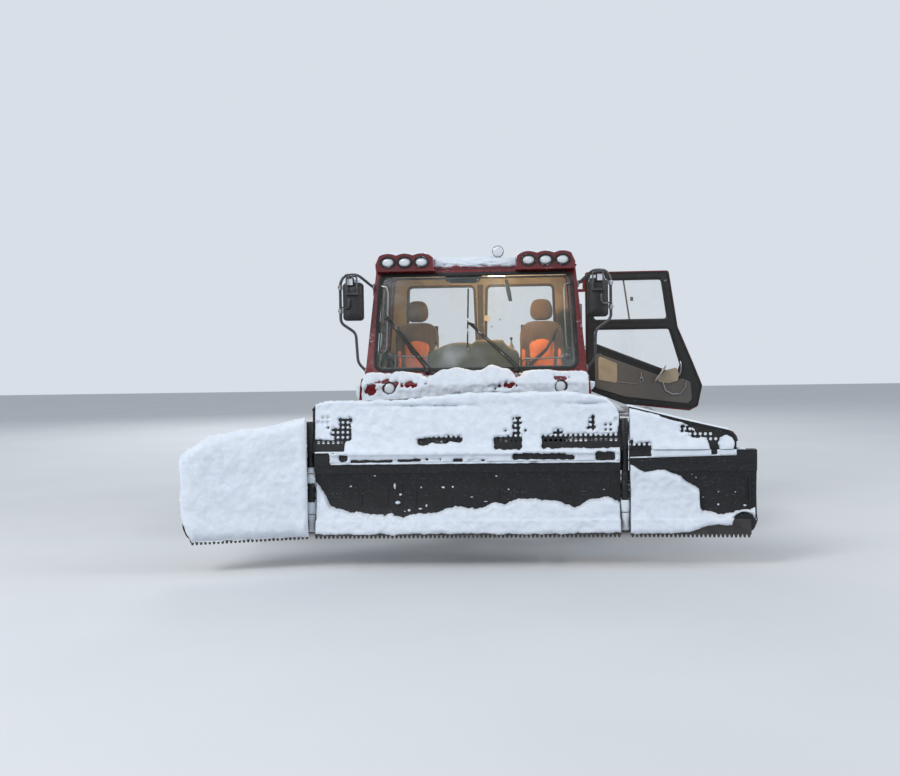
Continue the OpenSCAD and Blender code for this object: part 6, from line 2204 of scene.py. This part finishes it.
def card_and_studs():
    """The blank card on the rear wall, and the studs there and on the visor."""
    b = Build()
    b.prism([(-0.038, -0.024), (0.030, -0.034), (0.040, 0.024), (-0.028, 0.034)],
            lambda u, v, d: (0.072 + u, WALL_IN - 0.024 + d, 2.090 + v), 0.0, 0.002)
    b.done("card", "white", "dash")
    b = Build()
    for bx, bz in ((-0.250, 2.500), (0.02, 2.445)):
        b.lathe([(0, 0.009), (0.004, 0.009), (0.006, 0.005)], (bx, -1.611, bz), (0, -1, 0), 12)
    for bx, bz in ((0.21, 2.075), (0.12, 2.00), (0.02, 2.02), (-0.05, 2.33)):
        b.ball((bx, WALL_IN - 0.030, bz), 0.008, (1, 1, 1), 6, 10)
        b.tube([(bx, WALL_IN - 0.030, bz), (bx, WALL_IN - 0.004, bz)], 0.004, 6)
    b.done("cab_studs", "alloy", "tube")


for which in (1, -1):
    seat(which)
for make in (dash_body, dash_wings, grab_rails, dash_screens, levers, console, headliner, rear_lining,
             rear_shelf, dome_lamp,
             sun_visor, hand_mic, card_and_studs):
    make()


# Tracks


IDLER_Y, IDLER_Z, IDLER_R = -2.148, 0.545, 0.310
SPROCKET_Y, SPROCKET_Z, SPROCKET_R = 1.932, 0.572, 0.330
ROAD_R, ROAD_FIRST, ROAD_STEP, ROAD_COUNT = 0.320, -1.370, 0.850, 4
BELT_T, LUG_H, SHOES, FIT, BELT_STEPS = 0.030, 0.062, 84, 0.0003, 240
ROAD_Z = ROAD_R + FIT + BELT_T + LUG_H
BENDS = [(IDLER_Y, IDLER_Z, IDLER_R + FIT), (ROAD_FIRST, ROAD_Z, ROAD_R + FIT),
         (ROAD_FIRST + (ROAD_COUNT - 1) * ROAD_STEP, ROAD_Z, ROAD_R + FIT),
         (SPROCKET_Y, SPROCKET_Z, SPROCKET_R + FIT)]


def run(i):
    """Angle of the outward normal on the straight run after bend i, and its length."""
    a, b = BENDS[i % 4], BENDS[(i + 1) % 4]
    d = math.dist(a[:2], b[:2])
    angle = math.atan2(b[1] - a[1], b[0] - a[0]) - math.pi / 2 + math.asin((a[2] - b[2]) / d)
    return angle, math.sqrt(d * d - (a[2] - b[2]) ** 2)


def stretches():
    """The loop as arcs and straight runs: each one's start, length, angle, sweep and bend, and the whole."""
    out, start = [], 0.0
    for i in range(4):
        before, angle = run(i - 1)[0], run(i)[0]
        sweep = (angle - before) % (2 * math.pi)
        arc = (BENDS[i][2] + BELT_T) * sweep
        out.append((start, arc, run(i)[1], before, sweep, BENDS[i]))
        start += arc + run(i)[1]
    return out, start


STRETCHES, LOOP = stretches()


def on_loop(s, off):
    """Y and Z at length s round the loop, off from the belt's inner face, with the outward normal."""
    s %= LOOP
    for start, arc, straight, before, sweep, (cy, cz, r) in STRETCHES:
        if s <= start + arc + straight or start == STRETCHES[-1][0]:
            t = s - start
            angle = before + min(t / arc, 1) * sweep
            past = max(t - arc, 0)
            y = cy + (r + off) * math.cos(angle) - past * math.sin(angle)
            return y, cz + (r + off) * math.sin(angle) + past * math.cos(angle), angle


BELTS = [(-0.600, -0.480), (-0.440, -0.325), (-0.285, -0.180), (-0.120, 0.120), (0.180, 0.285),
         (0.325, 0.440),
         (0.480, 0.600)]
BAR = [(-0.028, 0.0), (-0.028, 0.007), (-0.013, 0.012), (-0.011, 0.046), (-0.006, 0.050),
       (-0.004, LUG_H - 0.001),
       (0.004, LUG_H - 0.001), (0.006, 0.050), (0.011, 0.046), (0.013, 0.012), (0.028, 0.007), (0.028, 0.0)]


def track(side):
    """Rubber belts, the bars with their fixings, the guide horns and the snow on one track."""
    track_belts(side)
    shoes(side)
    track_snow(side)


def on_track(side, u, s, off):
    """A point at u across the track, s along its loop and off over the belt's inner face."""
    y, z, _ = on_loop(s, off)
    return (side * TRACK_X + u, y, z)


def track_belts(side):
    belts = Build()
    for low, high in BELTS:
        section = [(low, 0.004), (low, BELT_T - 0.004), (low + 0.004, BELT_T - 0.0005),
                   (high - 0.004, BELT_T - 0.0005),
                (high, BELT_T - 0.004), (high, 0.004), (high - 0.004, 0.0005), (low + 0.004, 0.0005)]
        belts.loft([[on_track(side, u, LOOP * k / BELT_STEPS, o) for u, o in section]
                    for k in range(BELT_STEPS)],
                   closed=True)
    made = belts.done("track_belts_" + hand(side), "rubber", "wheel_rubber", angle=40)
    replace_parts(made, "track_" + hand(side))


def shoes(side):
    bars, pads, horns = Build(), Build(), Build()
    half = TRACK_W / 2 - 0.001
    for j in range(SHOES):
        s = LOOP * j / SHOES
        y, z, angle = on_loop(s, BELT_T)
        out = Vector((0, math.cos(angle), math.sin(angle)))
        fore = Vector((0, -math.sin(angle), math.cos(angle)))
        foot = Vector((side * TRACK_X, y, z))

        def lay(u, t, h):
            return foot + Vector((u, 0, 0)) + fore * t + out * h

        ends = ((-half, 0.42), (-half + 0.03, 0.85), (-half + 0.06, 1.0), (half - 0.06, 1.0),
                (half - 0.03, 0.85), (half, 0.42))
        bars.loft([[lay(u, t, h * (low if h > 0.012 else 1)) for t, h in BAR] for u, low in ends])
        for low, high in BELTS:
            mid = (low + high) / 2
            pads.loft([[lay(u, t, h) for u,
                        t in ((low + 0.012, -0.030), (high - 0.012, -0.030), (high - 0.012, 0.030),
                       (low + 0.012, 0.030))] for h in (-BELT_T - 0.004, -BELT_T + 0.0005)])
            for t in (-0.020, 0.020):
                for u in (mid - (high - low) * 0.28, mid + (high - low) * 0.28):
                    pads.lathe([(0, 0.0075), (0.007, 0.0075)], lay(u, t, 0.006), out, 6)
        for u in (-0.148, 0.148):
            horns.loft([[lay(u + w * a, t * b, h) for a, b in ((-1, -1), (1, -1), (1, 1), (-1, 1))] for w,
                        t, h in
                        ((0.016, 0.024, -BELT_T + 0.02), (0.012, 0.020, -BELT_T - 0.030),
                         (0.006, 0.010, -BELT_T - 0.072))])
    bars.done("track_bars_" + hand(side), "alloy", "track", angle=30)
    pads.done("track_fixings_" + hand(side), "steel", "track", angle=30)
    horns.done("track_horns_" + hand(side), "plastic", "wheel_rubber", angle=30)


def track_snow(side):
    top = STRETCHES[3][0] + STRETCHES[3][1]
    crust("track_snow_" + hand(side), "chassis", lambda u, v, t: on_track(side, u, v, BELT_T + 0.002 + t),
          (-0.60, 0.60),
          (top - 0.25, LOOP + 0.55), 0.027,
          lambda u, v: rough(u * 1.3, v * 0.8, side * 5, 2.4) * 0.11 + 0.035 + 0.03 * rough(u, v, side, 16),
          lambda u, v: 0.036 + 0.012 * rough(u, v, 7, 6), 0.05)


WHEEL_HALF, ARM_IN, HUB_OUT = 0.115, 0.66, 0.150


def wheel_at(x, y, z, radius, tyre, disc, bolts):
    """A tyre with its grooves, a pressed steel disc, a hub cap and its ring of bolts."""
    half = WHEEL_HALF
    at = (x, y, z)
    tyre.lathe([(-half + 0.010, radius - 0.090), (-half, radius - 0.078), (-half, radius - 0.024),
                (-half + 0.010, radius - 0.006),
                (-half + 0.030, radius), (-0.045, radius), (-0.040, radius - 0.008),
                (-0.032, radius - 0.008), (-0.027, radius), (0.027, radius), (0.032, radius - 0.008),
                (0.040, radius - 0.008), (0.045, radius), (half - 0.030, radius),
                (half - 0.010, radius - 0.006), (half, radius - 0.024), (half, radius - 0.078),
                (half - 0.010, radius - 0.090)],
               at, X, 72)
    for s in SIDES:
        disc.lathe([(s * (half - 0.004), radius - 0.086), (s * (half - 0.012), radius - 0.098),
                    (s * 0.060, radius - 0.106), (s * 0.040, radius - 0.125), (s * 0.040, 0.120),
                    (s * 0.052, 0.104), (s * half * 0.98, 0.092),
                    (s * half, 0.060)], at, X, 56)
        disc.lathe([(s * half * 0.9, 0.066), (s * (half + 0.012), 0.062), (s * (half + 0.020), 0.045),
                    (s * (half + 0.021), 0.010)],
                   at, X, 28)
        for spot in ring(x + s * half * 0.985, y, z, 0.078, 8):
            bolts.bolt(spot, (s, 0, 0), 0.009, 0.008)


def running_gear():
    """Road wheels and idlers on their arms, and the bolts of the sprockets."""
    tyre, idler_tyre, disc, bolts, cones = Build(), Build(), Build(), Build(), Build()
    for side in SIDES:
        x = side * TRACK_X
        for i in range(ROAD_COUNT):
            wheel_at(x, ROAD_FIRST + i * ROAD_STEP, ROAD_Z, ROAD_R, tyre, disc, bolts)
        wheel_at(x, IDLER_Y, IDLER_Z, IDLER_R, idler_tyre, disc, bolts)
        for i in range(ROAD_COUNT):
            y = ROAD_FIRST + i * ROAD_STEP
            hub = (x - side * HUB_OUT, y, ROAD_Z)
            cones.tube([(side * ARM_IN, y, ROAD_Z + 0.125), (side * 0.90, y, ROAD_Z + 0.020), hub], 0.045,
                       16)
            cones.lathe([(0, 0.070), (0.020, 0.078), (0.030, 0.060)], hub, (side, 0, 0), 24)
        for s in SIDES:
            for spot in ring(x + s * 0.112, SPROCKET_Y, SPROCKET_Z, 0.125, 8, 0.5):
                bolts.bolt(spot, (s, 0, 0), 0.010, 0.008)
    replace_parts(tyre.done("road_tyres", "rubber", "wheel_rubber"), "road_wheels")
    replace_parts(idler_tyre.done("idler_tyres", "rubber", "wheel_rubber"), "idler_wheels")
    disc.done("wheel_discs", "frame", "frame_steel")
    bolts.done("wheel_bolts", "steel", "rod_chrome")
    cones.done("axle_arms", "frame", "frame_steel")


# One tooth of a sprocket: share of the pitch and radius
TOOTH = [(0.0, 0.300), (0.24, 0.300), (0.34, 0.345), (0.46, 0.352), (0.54, 0.352), (0.66, 0.345),
         (0.76, 0.300)]
SPROCKET_HOLE, SPROCKET_T = 0.225, 0.034


def sprocket_teeth():
    b = Build()
    count = round(2 * math.pi * (SPROCKET_R + BELT_T) * SHOES / LOOP)
    outline = []
    for k in range(count):
        for share, r in TOOTH:
            a = 2 * math.pi * k / count + 2 * math.pi * share / count
            outline.append((SPROCKET_Y + r * math.cos(a), SPROCKET_Z + r * math.sin(a)))
    hole = oval(SPROCKET_Y, SPROCKET_Z, SPROCKET_HOLE, SPROCKET_HOLE, 48)
    for side in SIDES:
        for off in (-0.150, 0.150):
            x = side * TRACK_X + off
            b.plate([outline, hole], face_yz(x), SPROCKET_T)
            b.lathe([(-0.050, 0.228), (0.050, 0.228), (0.050, 0.240), (-0.050, 0.240)],
                    (x - off * 0.22, SPROCKET_Y, SPROCKET_Z),
                    X, 40)
    b.done("sprocket_teeth", "plastic", "sprocket", angle=25)


for which in (1, -1):
    track(which)
running_gear()
sprocket_teeth()


# Rear body


BAY_REAR, FRAME_REAR, BODY_HALF, BODY_TOP = 1.500, 2.300, 0.900, 1.410
FRAME_Z, FRAME_HALF = 0.430, 0.560
PLATFORM_LOW, PLATFORM_T = BODY_TOP + 0.006, 0.050
PLATFORM_TOP = PLATFORM_LOW + PLATFORM_T


def side_panels():
    """Louvres with their frames, bolts and round locks."""
    slats, frames = Build(), Build()
    for side in SIDES:
        for row in range(3):
            for col in range(3):
                y0 = CAB_REAR + 0.220 + col * 0.420
                z0 = DECK_Z + 0.090 + row * 0.080
                x = side * BODY_HALF
                slats.prism([(x - side * 0.028, z0 + 0.030), (x - side * 0.024, z0 + 0.032),
                             (x + side * 0.006, z0 + 0.004),
                             (x + side * 0.006, z0 - 0.002), (x + side * 0.001, z0 + 0.001)], along_y,
                            y0 + 0.002, y0 + 0.298)
                band(frames, oblong(y0, z0, y0 + 0.300, z0 + 0.030, 0.006, 2),
                     lambda u, v, h: (x + side * h, u, v),
                     [(0.008, -0.001), (0.007, 0.003), (0.0, 0.003), (-0.001, -0.002)])
        for y in (CAB_REAR + 0.06, 0.62, BAY_REAR - 0.05):
            for z in (DECK_Z + 0.045, BODY_TOP - 0.040):
                frames.bolt((side * BODY_HALF, y, z), (side, 0, 0), 0.009, 0.007)
        for y in (0.10, 0.95):
            at = (side * (BODY_HALF + 0.001), y, BODY_TOP - 0.085)
            frames.lathe([(0, 0.030), (0.006, 0.030), (0.008, 0.026), (0.004, 0.024)], at, (side, 0, 0), 24)
            frames.box((min(at[0], at[0] + side * 0.012), y - 0.022, at[2] - 0.006),
                       (max(at[0], at[0] + side * 0.012),
                       y + 0.022, at[2] + 0.006))
    slats.done("louvre_slats", "red", "red_paint")
    frames.done("panel_trim", "plastic", "floor_mat")


def tank_straps():
    """The filler cap on the tank's left side and the straps round it."""
    b = Build()
    b.lathe([(0, 0.070), (0.014, 0.070), (0.020, 0.064), (0.020, 0.050), (0.034, 0.048), (0.038, 0.040),
             (0.038, 0.010)],
            (BODY_HALF - 0.004, BAY_REAR + 0.34, BODY_TOP - 0.105), X, 32)
    for side in SIDES:
        x = side * (BODY_HALF - 0.004)
        for y in (BAY_REAR + 0.10, BAY_REAR + 0.58):
            b.box((x - 0.006, y - 0.025, DECK_Z + 0.002), (x + 0.010, y + 0.025, BODY_TOP))
    b.done("tank_straps", "frame", "tank", bevel=0.002)


def tail_lamps():
    b, rim = Build(), Build()
    for side in SIDES:
        x0, x1 = side * (BODY_HALF - 0.128), side * (BODY_HALF - 0.022)
        y = FRAME_REAR - 0.070
        flat = oblong(min(x0, x1), DECK_Z + 0.122, max(x0, x1), DECK_Z + 0.188, 0.014, 4)
        b.loft([[(u, y + d, v) for u, v in inset(flat, by)] for d,
                by in ((-0.026, 0.0), (0.002, 0.0), (0.008, 0.004),
                (0.010, 0.012))])
        band(rim, flat, lambda u, v, h: (u, y + h, v),
             [(0.010, -0.028), (0.010, 0.004), (0.001, 0.006), (0.0, -0.004)])
    made = b.done("tail_lenses", "red_lens", "red_lens", angle=50)
    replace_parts(made, "tail_lamps")
    rim.done("tail_rims", "rubber", "wheel_rubber")


def exhaust_shields():
    """Bent plates and clamps round the pipe, open towards the engine, and the ring at its mouth."""
    b = Build()
    x, y, z = 1.075, CAB_REAR + 0.150, DECK_Z
    arc = [math.radians(-100 + 200 * k / 14) for k in range(15)]

    def wrap(levels, thick):
        b.loft([[(x + math.cos(a) * r, y + math.sin(a) * r, z + h) for a in arc] +
                [(x + math.cos(a) * (r - thick), y + math.sin(a) * (r - thick), z + h)
                 for a in reversed(arc)]
                for r, h in levels])

    for low, high in ((0.10, 0.38), (0.40, 0.68)):
        wrap([(0.074, low), (0.078, low + 0.01), (0.078, high - 0.01), (0.074, high)], 0.004)
    for h in (0.065, 0.390, 0.695):
        wrap([(0.082, h), (0.082, h + 0.016)], 0.018)
    b.lathe([(0, 0.037), (0, 0.046), (0.020, 0.046), (0.020, 0.037)], (x, y, z + 0.90), Z, 24, hollow=True)
    b.done("exhaust_shields", "heat", "exhaust", angle=40)


def rear_plate():
    """Bolts, a towing jaw with its pin over the drawbar, and the reflectors and vents at the tail."""
    face = FRAME_REAR + 0.040
    b = Build()
    for side in SIDES:
        for k in range(6):
            b.bolt((side * (FRAME_HALF - 0.028), face, FRAME_Z + 0.050 + k * 0.100), Y, 0.012, 0.009)
        for k in range(3):
            b.bolt((side * (0.180 + 0.055 * k), face, DECK_Z - 0.060), Y, 0.012, 0.009)
    b.done("rear_plate_bolts", "steel", "rod_chrome")
    b = Build()
    z = FRAME_Z + 0.110
    jaw = [(-0.090, face - 0.001), (0.090, face - 0.001), (0.058, face + 0.125), (-0.058, face + 0.125)]
    b.prism(rounded(jaw, 0.014, 3), lambda u, v, d: (u, v, d), z, z + 0.018)
    for x in (-0.072, 0.060):
        b.box((x, face - 0.001, FRAME_Z + 0.0345), (x + 0.012, face + 0.050, z + 0.001))
    b.lathe([(-0.034, 0.0165), (z - FRAME_Z + 0.030, 0.0165), (z - FRAME_Z + 0.036, 0.012)],
            (0, face + 0.075, FRAME_Z), Z, 16)
    b.tube([(-0.050, face + 0.075, z + 0.032), (0.050, face + 0.075, z + 0.032)], 0.008, 12)
    b.done("towing_jaw", "steel", "rod_chrome", bevel=0.0015)
    b, y = Build(), FRAME_REAR - 0.070
    for side in SIDES:
        b.lathe([(0, 0.034), (0.006, 0.034), (0.009, 0.030), (0.010, 0.010)],
                (side * 0.800, y, DECK_Z + 0.070), Y, 28)
    b.done("reflectors", "red_lens", "red_lens")
    b, slat = Build(), [(0, 0), (0.006, 0.002), (0.010, 0.020), (0.004, 0.026)]
    for k in range(9):
        for row in range(3):
            x = -0.52 + 0.13 * k
            z = DECK_Z + 0.080 + row * 0.045
            b.prism(slat, lambda u, v, d: (d, y - 0.0005 + u, z + v), x - 0.05, x + 0.05)
    b.done("rear_vents", "deck", "tank", angle=25)


PLANKS, PLANK_WIDTH, PLANK_GAP = 12, 1.97, 0.004
PLANK_FRONT, PLANK_REAR = CAB_REAR + 0.030, FRAME_REAR + 0.020 - 0.100


def platform_planks():
    b = Build()
    for k in range(PLANKS):
        x = -PLANK_WIDTH / 2 + PLANK_WIDTH * k / PLANKS
        b.box((x + PLANK_GAP, PLANK_FRONT, PLATFORM_TOP - 0.004),
              (x + PLANK_WIDTH / PLANKS - PLANK_GAP, PLANK_REAR, PLATFORM_TOP + 0.006))
    b.done("platform_planks", "deck", "deck", "platform", bevel=0.002)


def platform_fixings():
    """Lashing rings, rows of studs and the plates on both edges."""
    b = Build()
    for x, y in [(x, y) for x in (-0.6, 0.6) for y in (0.55, 1.95)]:
        b.lathe([(0, 0.0095), (0, 0.026), (0.007, 0.026), (0.009, 0.022), (0.009, 0.0095), (0.0, 0.0095)],
                (x, y, PLATFORM_TOP + 0.005), Z, 20)
    for k in range(22):
        y = PLANK_FRONT + 0.05 + k * (PLANK_REAR - PLANK_FRONT - 0.1) / 21
        for x in (-0.94, -0.32, 0.32, 0.94):
            b.lathe([(0, 0.008), (0.003, 0.007), (0.004, 0.003)], (x, y, PLATFORM_TOP + 0.006), Z, 8)
    for side in SIDES:
        for y in (0.20, 0.95, 1.70):
            b.box((side * 0.995 - 0.007, y - 0.05, PLATFORM_LOW + 0.006),
                  (side * 0.995 + 0.007, y + 0.05, PLATFORM_TOP - 0.008))
    b.done("platform_fixings", "steel", "rod_chrome", "platform")


def rail_feet():
    b = Build()
    for side in SIDES:
        x = side * 0.960
        for y in (CAB_REAR + 0.12, 0.70, 2.08):
            b.lathe([(0, 0.045), (0.010, 0.045), (0.014, 0.028), (0.022, 0.021)],
                    (x, y, PLATFORM_TOP + 0.004), Z, 24)
            b.ball((x, y, 1.90), 0.0215, (1, 1, 1), 8, 16)
            for k in range(4):
                a = math.pi / 4 + math.pi * k / 2
                b.bolt((x + 0.033 * math.cos(a), y + 0.033 * math.sin(a), PLATFORM_TOP + 0.012), Z, 0.005,
                       0.005)
    b.done("rail_feet", "frame", "frame_steel", "platform")


def platform_snow():
    crust("platform_snow", "platform", lambda u, v, t: (u, v, PLATFORM_TOP + 0.006 + t), (-0.97, 0.97),
          (PLANK_FRONT + 0.02, PLANK_REAR
           - 0.02), 0.026, lambda u, v: rough(u * 0.9, v * 0.6, 3, 1.7) * 0.20 + 0.012 + 0.04 *
          rough(u, v, 2, 9) + max(0.0, 0.35 - v) * 0.12, lambda u, v: 0.020 + 0.008 * rough(u, v, 4, 5),
          0.07)


DECK_IN, DECK_REAR_IN, DECK_OUT, TREAD_STEP = 1.135, 0.93, 1.545, 0.06


def decks():
    """Raised tread bars on the step decks, and the snow that lies on them."""
    b = Build()
    for side in SIDES:
        y = NOSE_FRONT + 0.05
        while y < FRAME_REAR - 0.02:
            low = DECK_IN if y < BAY_REAR else DECK_REAR_IN
            b.prism([(-0.006, 0), (0.006, 0), (0.003, 0.007), (-0.003, 0.007)],
                    lambda u, v, d: (d, y + u, DECK_Z + v),
                    min(side * low, side * DECK_OUT), max(side * low, side * DECK_OUT))
            y += TREAD_STEP
    b.done("deck_treads", "deck", "deck", angle=25)
    for side in SIDES:
        crust("deck_snow_" + hand(side), "chassis",
              lambda u, v, t: (side * u, v, DECK_Z + 0.002 + t),
              (DECK_IN, DECK_OUT + 0.010), (NOSE_FRONT - 0.05, FRAME_REAR), 0.022,
              lambda u, v: rough(u, v, side * 2, 2.2) * 0.12 + 0.02 + 0.10 * (v < -2.0) + 0.05 * (v > 0.2)
              + 0.03 * rough(u, v, 4, 12) - 0.16 * (side > 0) * (-1.95 < v < -0.75)
              - 0.03 * (-1.95 < v < -0.6),
              lambda u, v: 0.026 + 0.010 * rough(u, v, 1, 5), 0.06)


TINES, TINE_BLADES, TINE_TURN, ROTOR_HALF = 24, 3, 24, 2.110
TILLER_HALF, RIBS, RIDGE_PITCH, APRON_BOLTS = 2.150, 9, 0.030, 22


def tine_bolts():
    """Bolts on both faces of each tine. The tines' rings are turned one after another."""
    b = Build()
    for i in range(TINES):
        x = -ROTOR_HALF + (i + 0.5) * 2 * ROTOR_HALF / TINES
        for k in range(TINE_BLADES):
            a = math.radians(360 / TINE_BLADES * k + TINE_TURN * i)
            out = Vector((0, math.cos(a), -math.sin(a)))
            side = Vector((0, math.sin(a), math.cos(a)))
            for s in SIDES:
                at = Vector((x + s * 0.0075, ROTOR_Y, ROTOR_Z))
                b.bolt(at + out * 0.095 + side * 0.006, (s, 0, 0), 0.008, 0.006)
    b.done("tine_bolts", "steel", "rod_chrome", "rotor")


def tiller_ribs():
    """Ribs over the hood, and the bearings' caps with their bolts at its ends."""
    ribs, half = Build(), TILLER_HALF
    low, high = HOOD_R - 0.001, HOOD_R + 0.012
    arc = [math.radians(205 - 200 * i / 14) for i in range(15)]
    for k in range(RIBS):
        x = -half + 0.05 + k * (2 * half - 0.10) / (RIBS - 1)
        section = ((-0.006, low), (0.006, low), (0.006, high), (-0.006, high))
        ribs.loft([[(x + w, ROTOR_Y + math.cos(a) * r, ROTOR_Z + math.sin(a) * r) for w, r in section]
                   for a in arc if ROTOR_Z + math.sin(a) * low > 0.24])
    for s in SIDES:
        ribs.lathe([(-0.004, 0.062), (0.006, 0.062), (0.010, 0.056), (0.010, 0.046)],
                   (s * (half + 0.008), ROTOR_Y, ROTOR_Z), (s, 0, 0), 28)
        for spot in ring(s * (half + 0.010), ROTOR_Y, ROTOR_Z, 0.054, 6):
            ribs.bolt(spot, (s, 0, 0), 0.006, 0.005)
    ribs.done("tiller_ribs", "red", "red_paint", "tiller", bevel=0.001)


def comb():
    """The ridges that comb the snow, and the snow caught on them."""
    flaps, half = Build(), TILLER_HALF
    count = int(2 * half / RIDGE_PITCH)
    lower, upper = COMB_Y - 0.330, COMB_Y - 0.022
    for k in range(count):
        x = -half + (k + 0.5) * 2 * half / count
        flaps.loft([[(x + w * g, y, z + h * g) for w,
                     h in ((-0.011, -0.002), (0.011, -0.002), (0.007, 0.006), (-0.007, 0.006))]
                    for y, z, g in ((lower, 0.0935, 1), (COMB_Y - 0.18, 0.0685, 1), (upper, 0.0415, 1),
                                    (COMB_Y - 0.004, 0.030, 0.6))])
    flaps.done("comb_ridges", "comb", "floor_mat", "tiller", angle=30)
    slope = [(COMB_Y - 0.330, 0.0995), (COMB_Y - 0.180, 0.0745), (COMB_Y - 0.022, 0.0475)]
    crust("comb_snow", "tiller", lambda u, v, t: (u, v, between(slope, v) + t),
          (-2.14, 2.14), (COMB_Y - 0.330, COMB_Y - 0.040), 0.020,
          lambda u, v: (COMB_Y - 0.23 - v) * 0.4 + rough(u, v, 5, 3) * 0.07 + rough(u, v, 1, 14) * 0.02,
          lambda u, v: 0.014 + 0.005 * rough(u, v, 4, 9), 0.03)


def apron_bolts():
    b = Build()
    y0 = ROTOR_Y + HOOD_R + 0.002
    for k in range(APRON_BOLTS):
        x = -2.08 + 4.16 * k / (APRON_BOLTS - 1)
        b.bolt((x, y0 + 0.05, 0.290 - 0.05 * 0.75), (0, 0.5, 0.85), 0.010, 0.007)
    b.box((-2.14, y0 - 0.004, 0.300), (2.14, y0 + 0.020, 0.312))
    b.done("apron_bolts", "steel", "rod_chrome", "tiller")


def over(y, z, r):
    """The surface of a pipe or hood of radius r: v is the length round it."""
    return lambda u, v, t: (u, y + (r + t) * math.cos(v / r), z + (r + t) * math.sin(v / r))


PIPE_Y, PIPE_Z, PIPE_R = 3.330, 0.600, 0.075


def tiller_snow():
    crust("hood_snow", "tiller", over(ROTOR_Y, ROTOR_Z, HOOD_R), (-2.13, 2.13),
          (0.7 * HOOD_R, 2.5 * HOOD_R), 0.021,
          lambda u, v: (rough(u, v / HOOD_R, 2, 2.6) * 0.10 + 0.035 + 0.02
                        * rough(u, v / HOOD_R, 5, 11)) * 0.6,
          lambda u, v: 0.022 + 0.006 * rough(u, v, 4, 6), 0.05)
    crust("beam_tube_snow", "tiller", over(PIPE_Y, PIPE_Z, PIPE_R), (-1.88, 1.88),
          (0.9 * PIPE_R, 2.24 * PIPE_R), 0.012,
          lambda u, v: (rough(u, v / PIPE_R, 8, 3) * 0.10 + 0.04) * 0.4,
          lambda u, v: 0.018 + 0.006 * rough(u, v, 4, 8), 0.04)


def turned(x, y, angle):
    """A point of a straight wing, turned about its hinge."""
    dx, dy = x - FOLD_X, y - FOLD_Y
    c, s = math.cos(angle), math.sin(angle)
    return FOLD_X + dx * c + dy * s, FOLD_Y - dx * s + dy * c


def cylinders():
    """The cylinders' barrels: name and body, pin, other end, length, and whether the pin stands upright."""
    rows = []
    for side in SIDES:
        lift = ((side * 0.300, -2.340, 0.980), (side * 0.300, -3.150, 0.770))
        rows.append(("lift_barrel_" + hand(side), "lift_barrels", *lift, 0.545, False))
        name = "swing_barrel_" + hand(side)
        rows.append((name, name, (side * 0.640, -2.640, 0.600), (side * 0.560, -3.520, 0.600), 0.600, True))
        name = "wing_barrel_" + hand(side)
        x, y = turned(FOLD_X + 0.180, FOLD_Y + 0.230, FOLD_LEFT if side > 0 else FOLD_RIGHT)
        rows.append(
                    (name, name, (side * (FOLD_X - 0.568), -3.650, 0.605), (side * x, y, 0.605), 0.570,
                     True))
    rows.append(
                ("tilt_barrel", "tilt_barrel", (-0.420, -3.590, 0.860), (0.190, -3.590, 0.880), 0.440,
                 False))
    rows.append(("tiller_barrel", "tiller_barrel", (0, 2.400, 1.000), (0, 3.150, 0.700), 0.500, False))
    return rows


def cylinder_fittings(name, body, start, end, mouth, upright):
    """The weld rings, the gland with its ring, and two oil ports on a barrel."""
    start, end = Vector(start), Vector(end)
    along = (end - start).normalized()
    pin = Vector(Z) if upright else along.cross(Vector(Z)).normalized()
    up = pin.cross(along).normalized()
    b = Build()
    for at, r, w in ((mouth - 0.004, 0.0535, 0.010), (mouth - 0.052, 0.0525, 0.005),
                     (0.074, 0.0495, 0.006)):
        b.lathe([(0, r - 0.004), (0, r), (w, r), (w, r - 0.004)], start + along * at, along, 32,
                hollow=True)
    for at in (0.105, mouth - 0.085):
        port = start + along * at + up * 0.044
        b.lathe([(0, 0.017), (0.012, 0.017), (0.014, 0.013), (0.022, 0.013), (0.024, 0.010)], port, up, 6)
    b.lathe([(0, 0.0275), (0, 0.030), (0.010, 0.030), (0.011, 0.0275)], start + along * mouth, along, 24,
            hollow=True)
    b.done(name + "_fittings", "steel", "cylinder_black", body, angle=30)


for make in (side_panels, tank_straps, tail_lamps, exhaust_shields, rear_plate, platform_planks,
             platform_fixings, rail_feet, platform_snow, decks, tine_bolts, tiller_ribs, comb, apron_bolts,
             tiller_snow):
    make()
for row in cylinders():
    cylinder_fittings(*row)
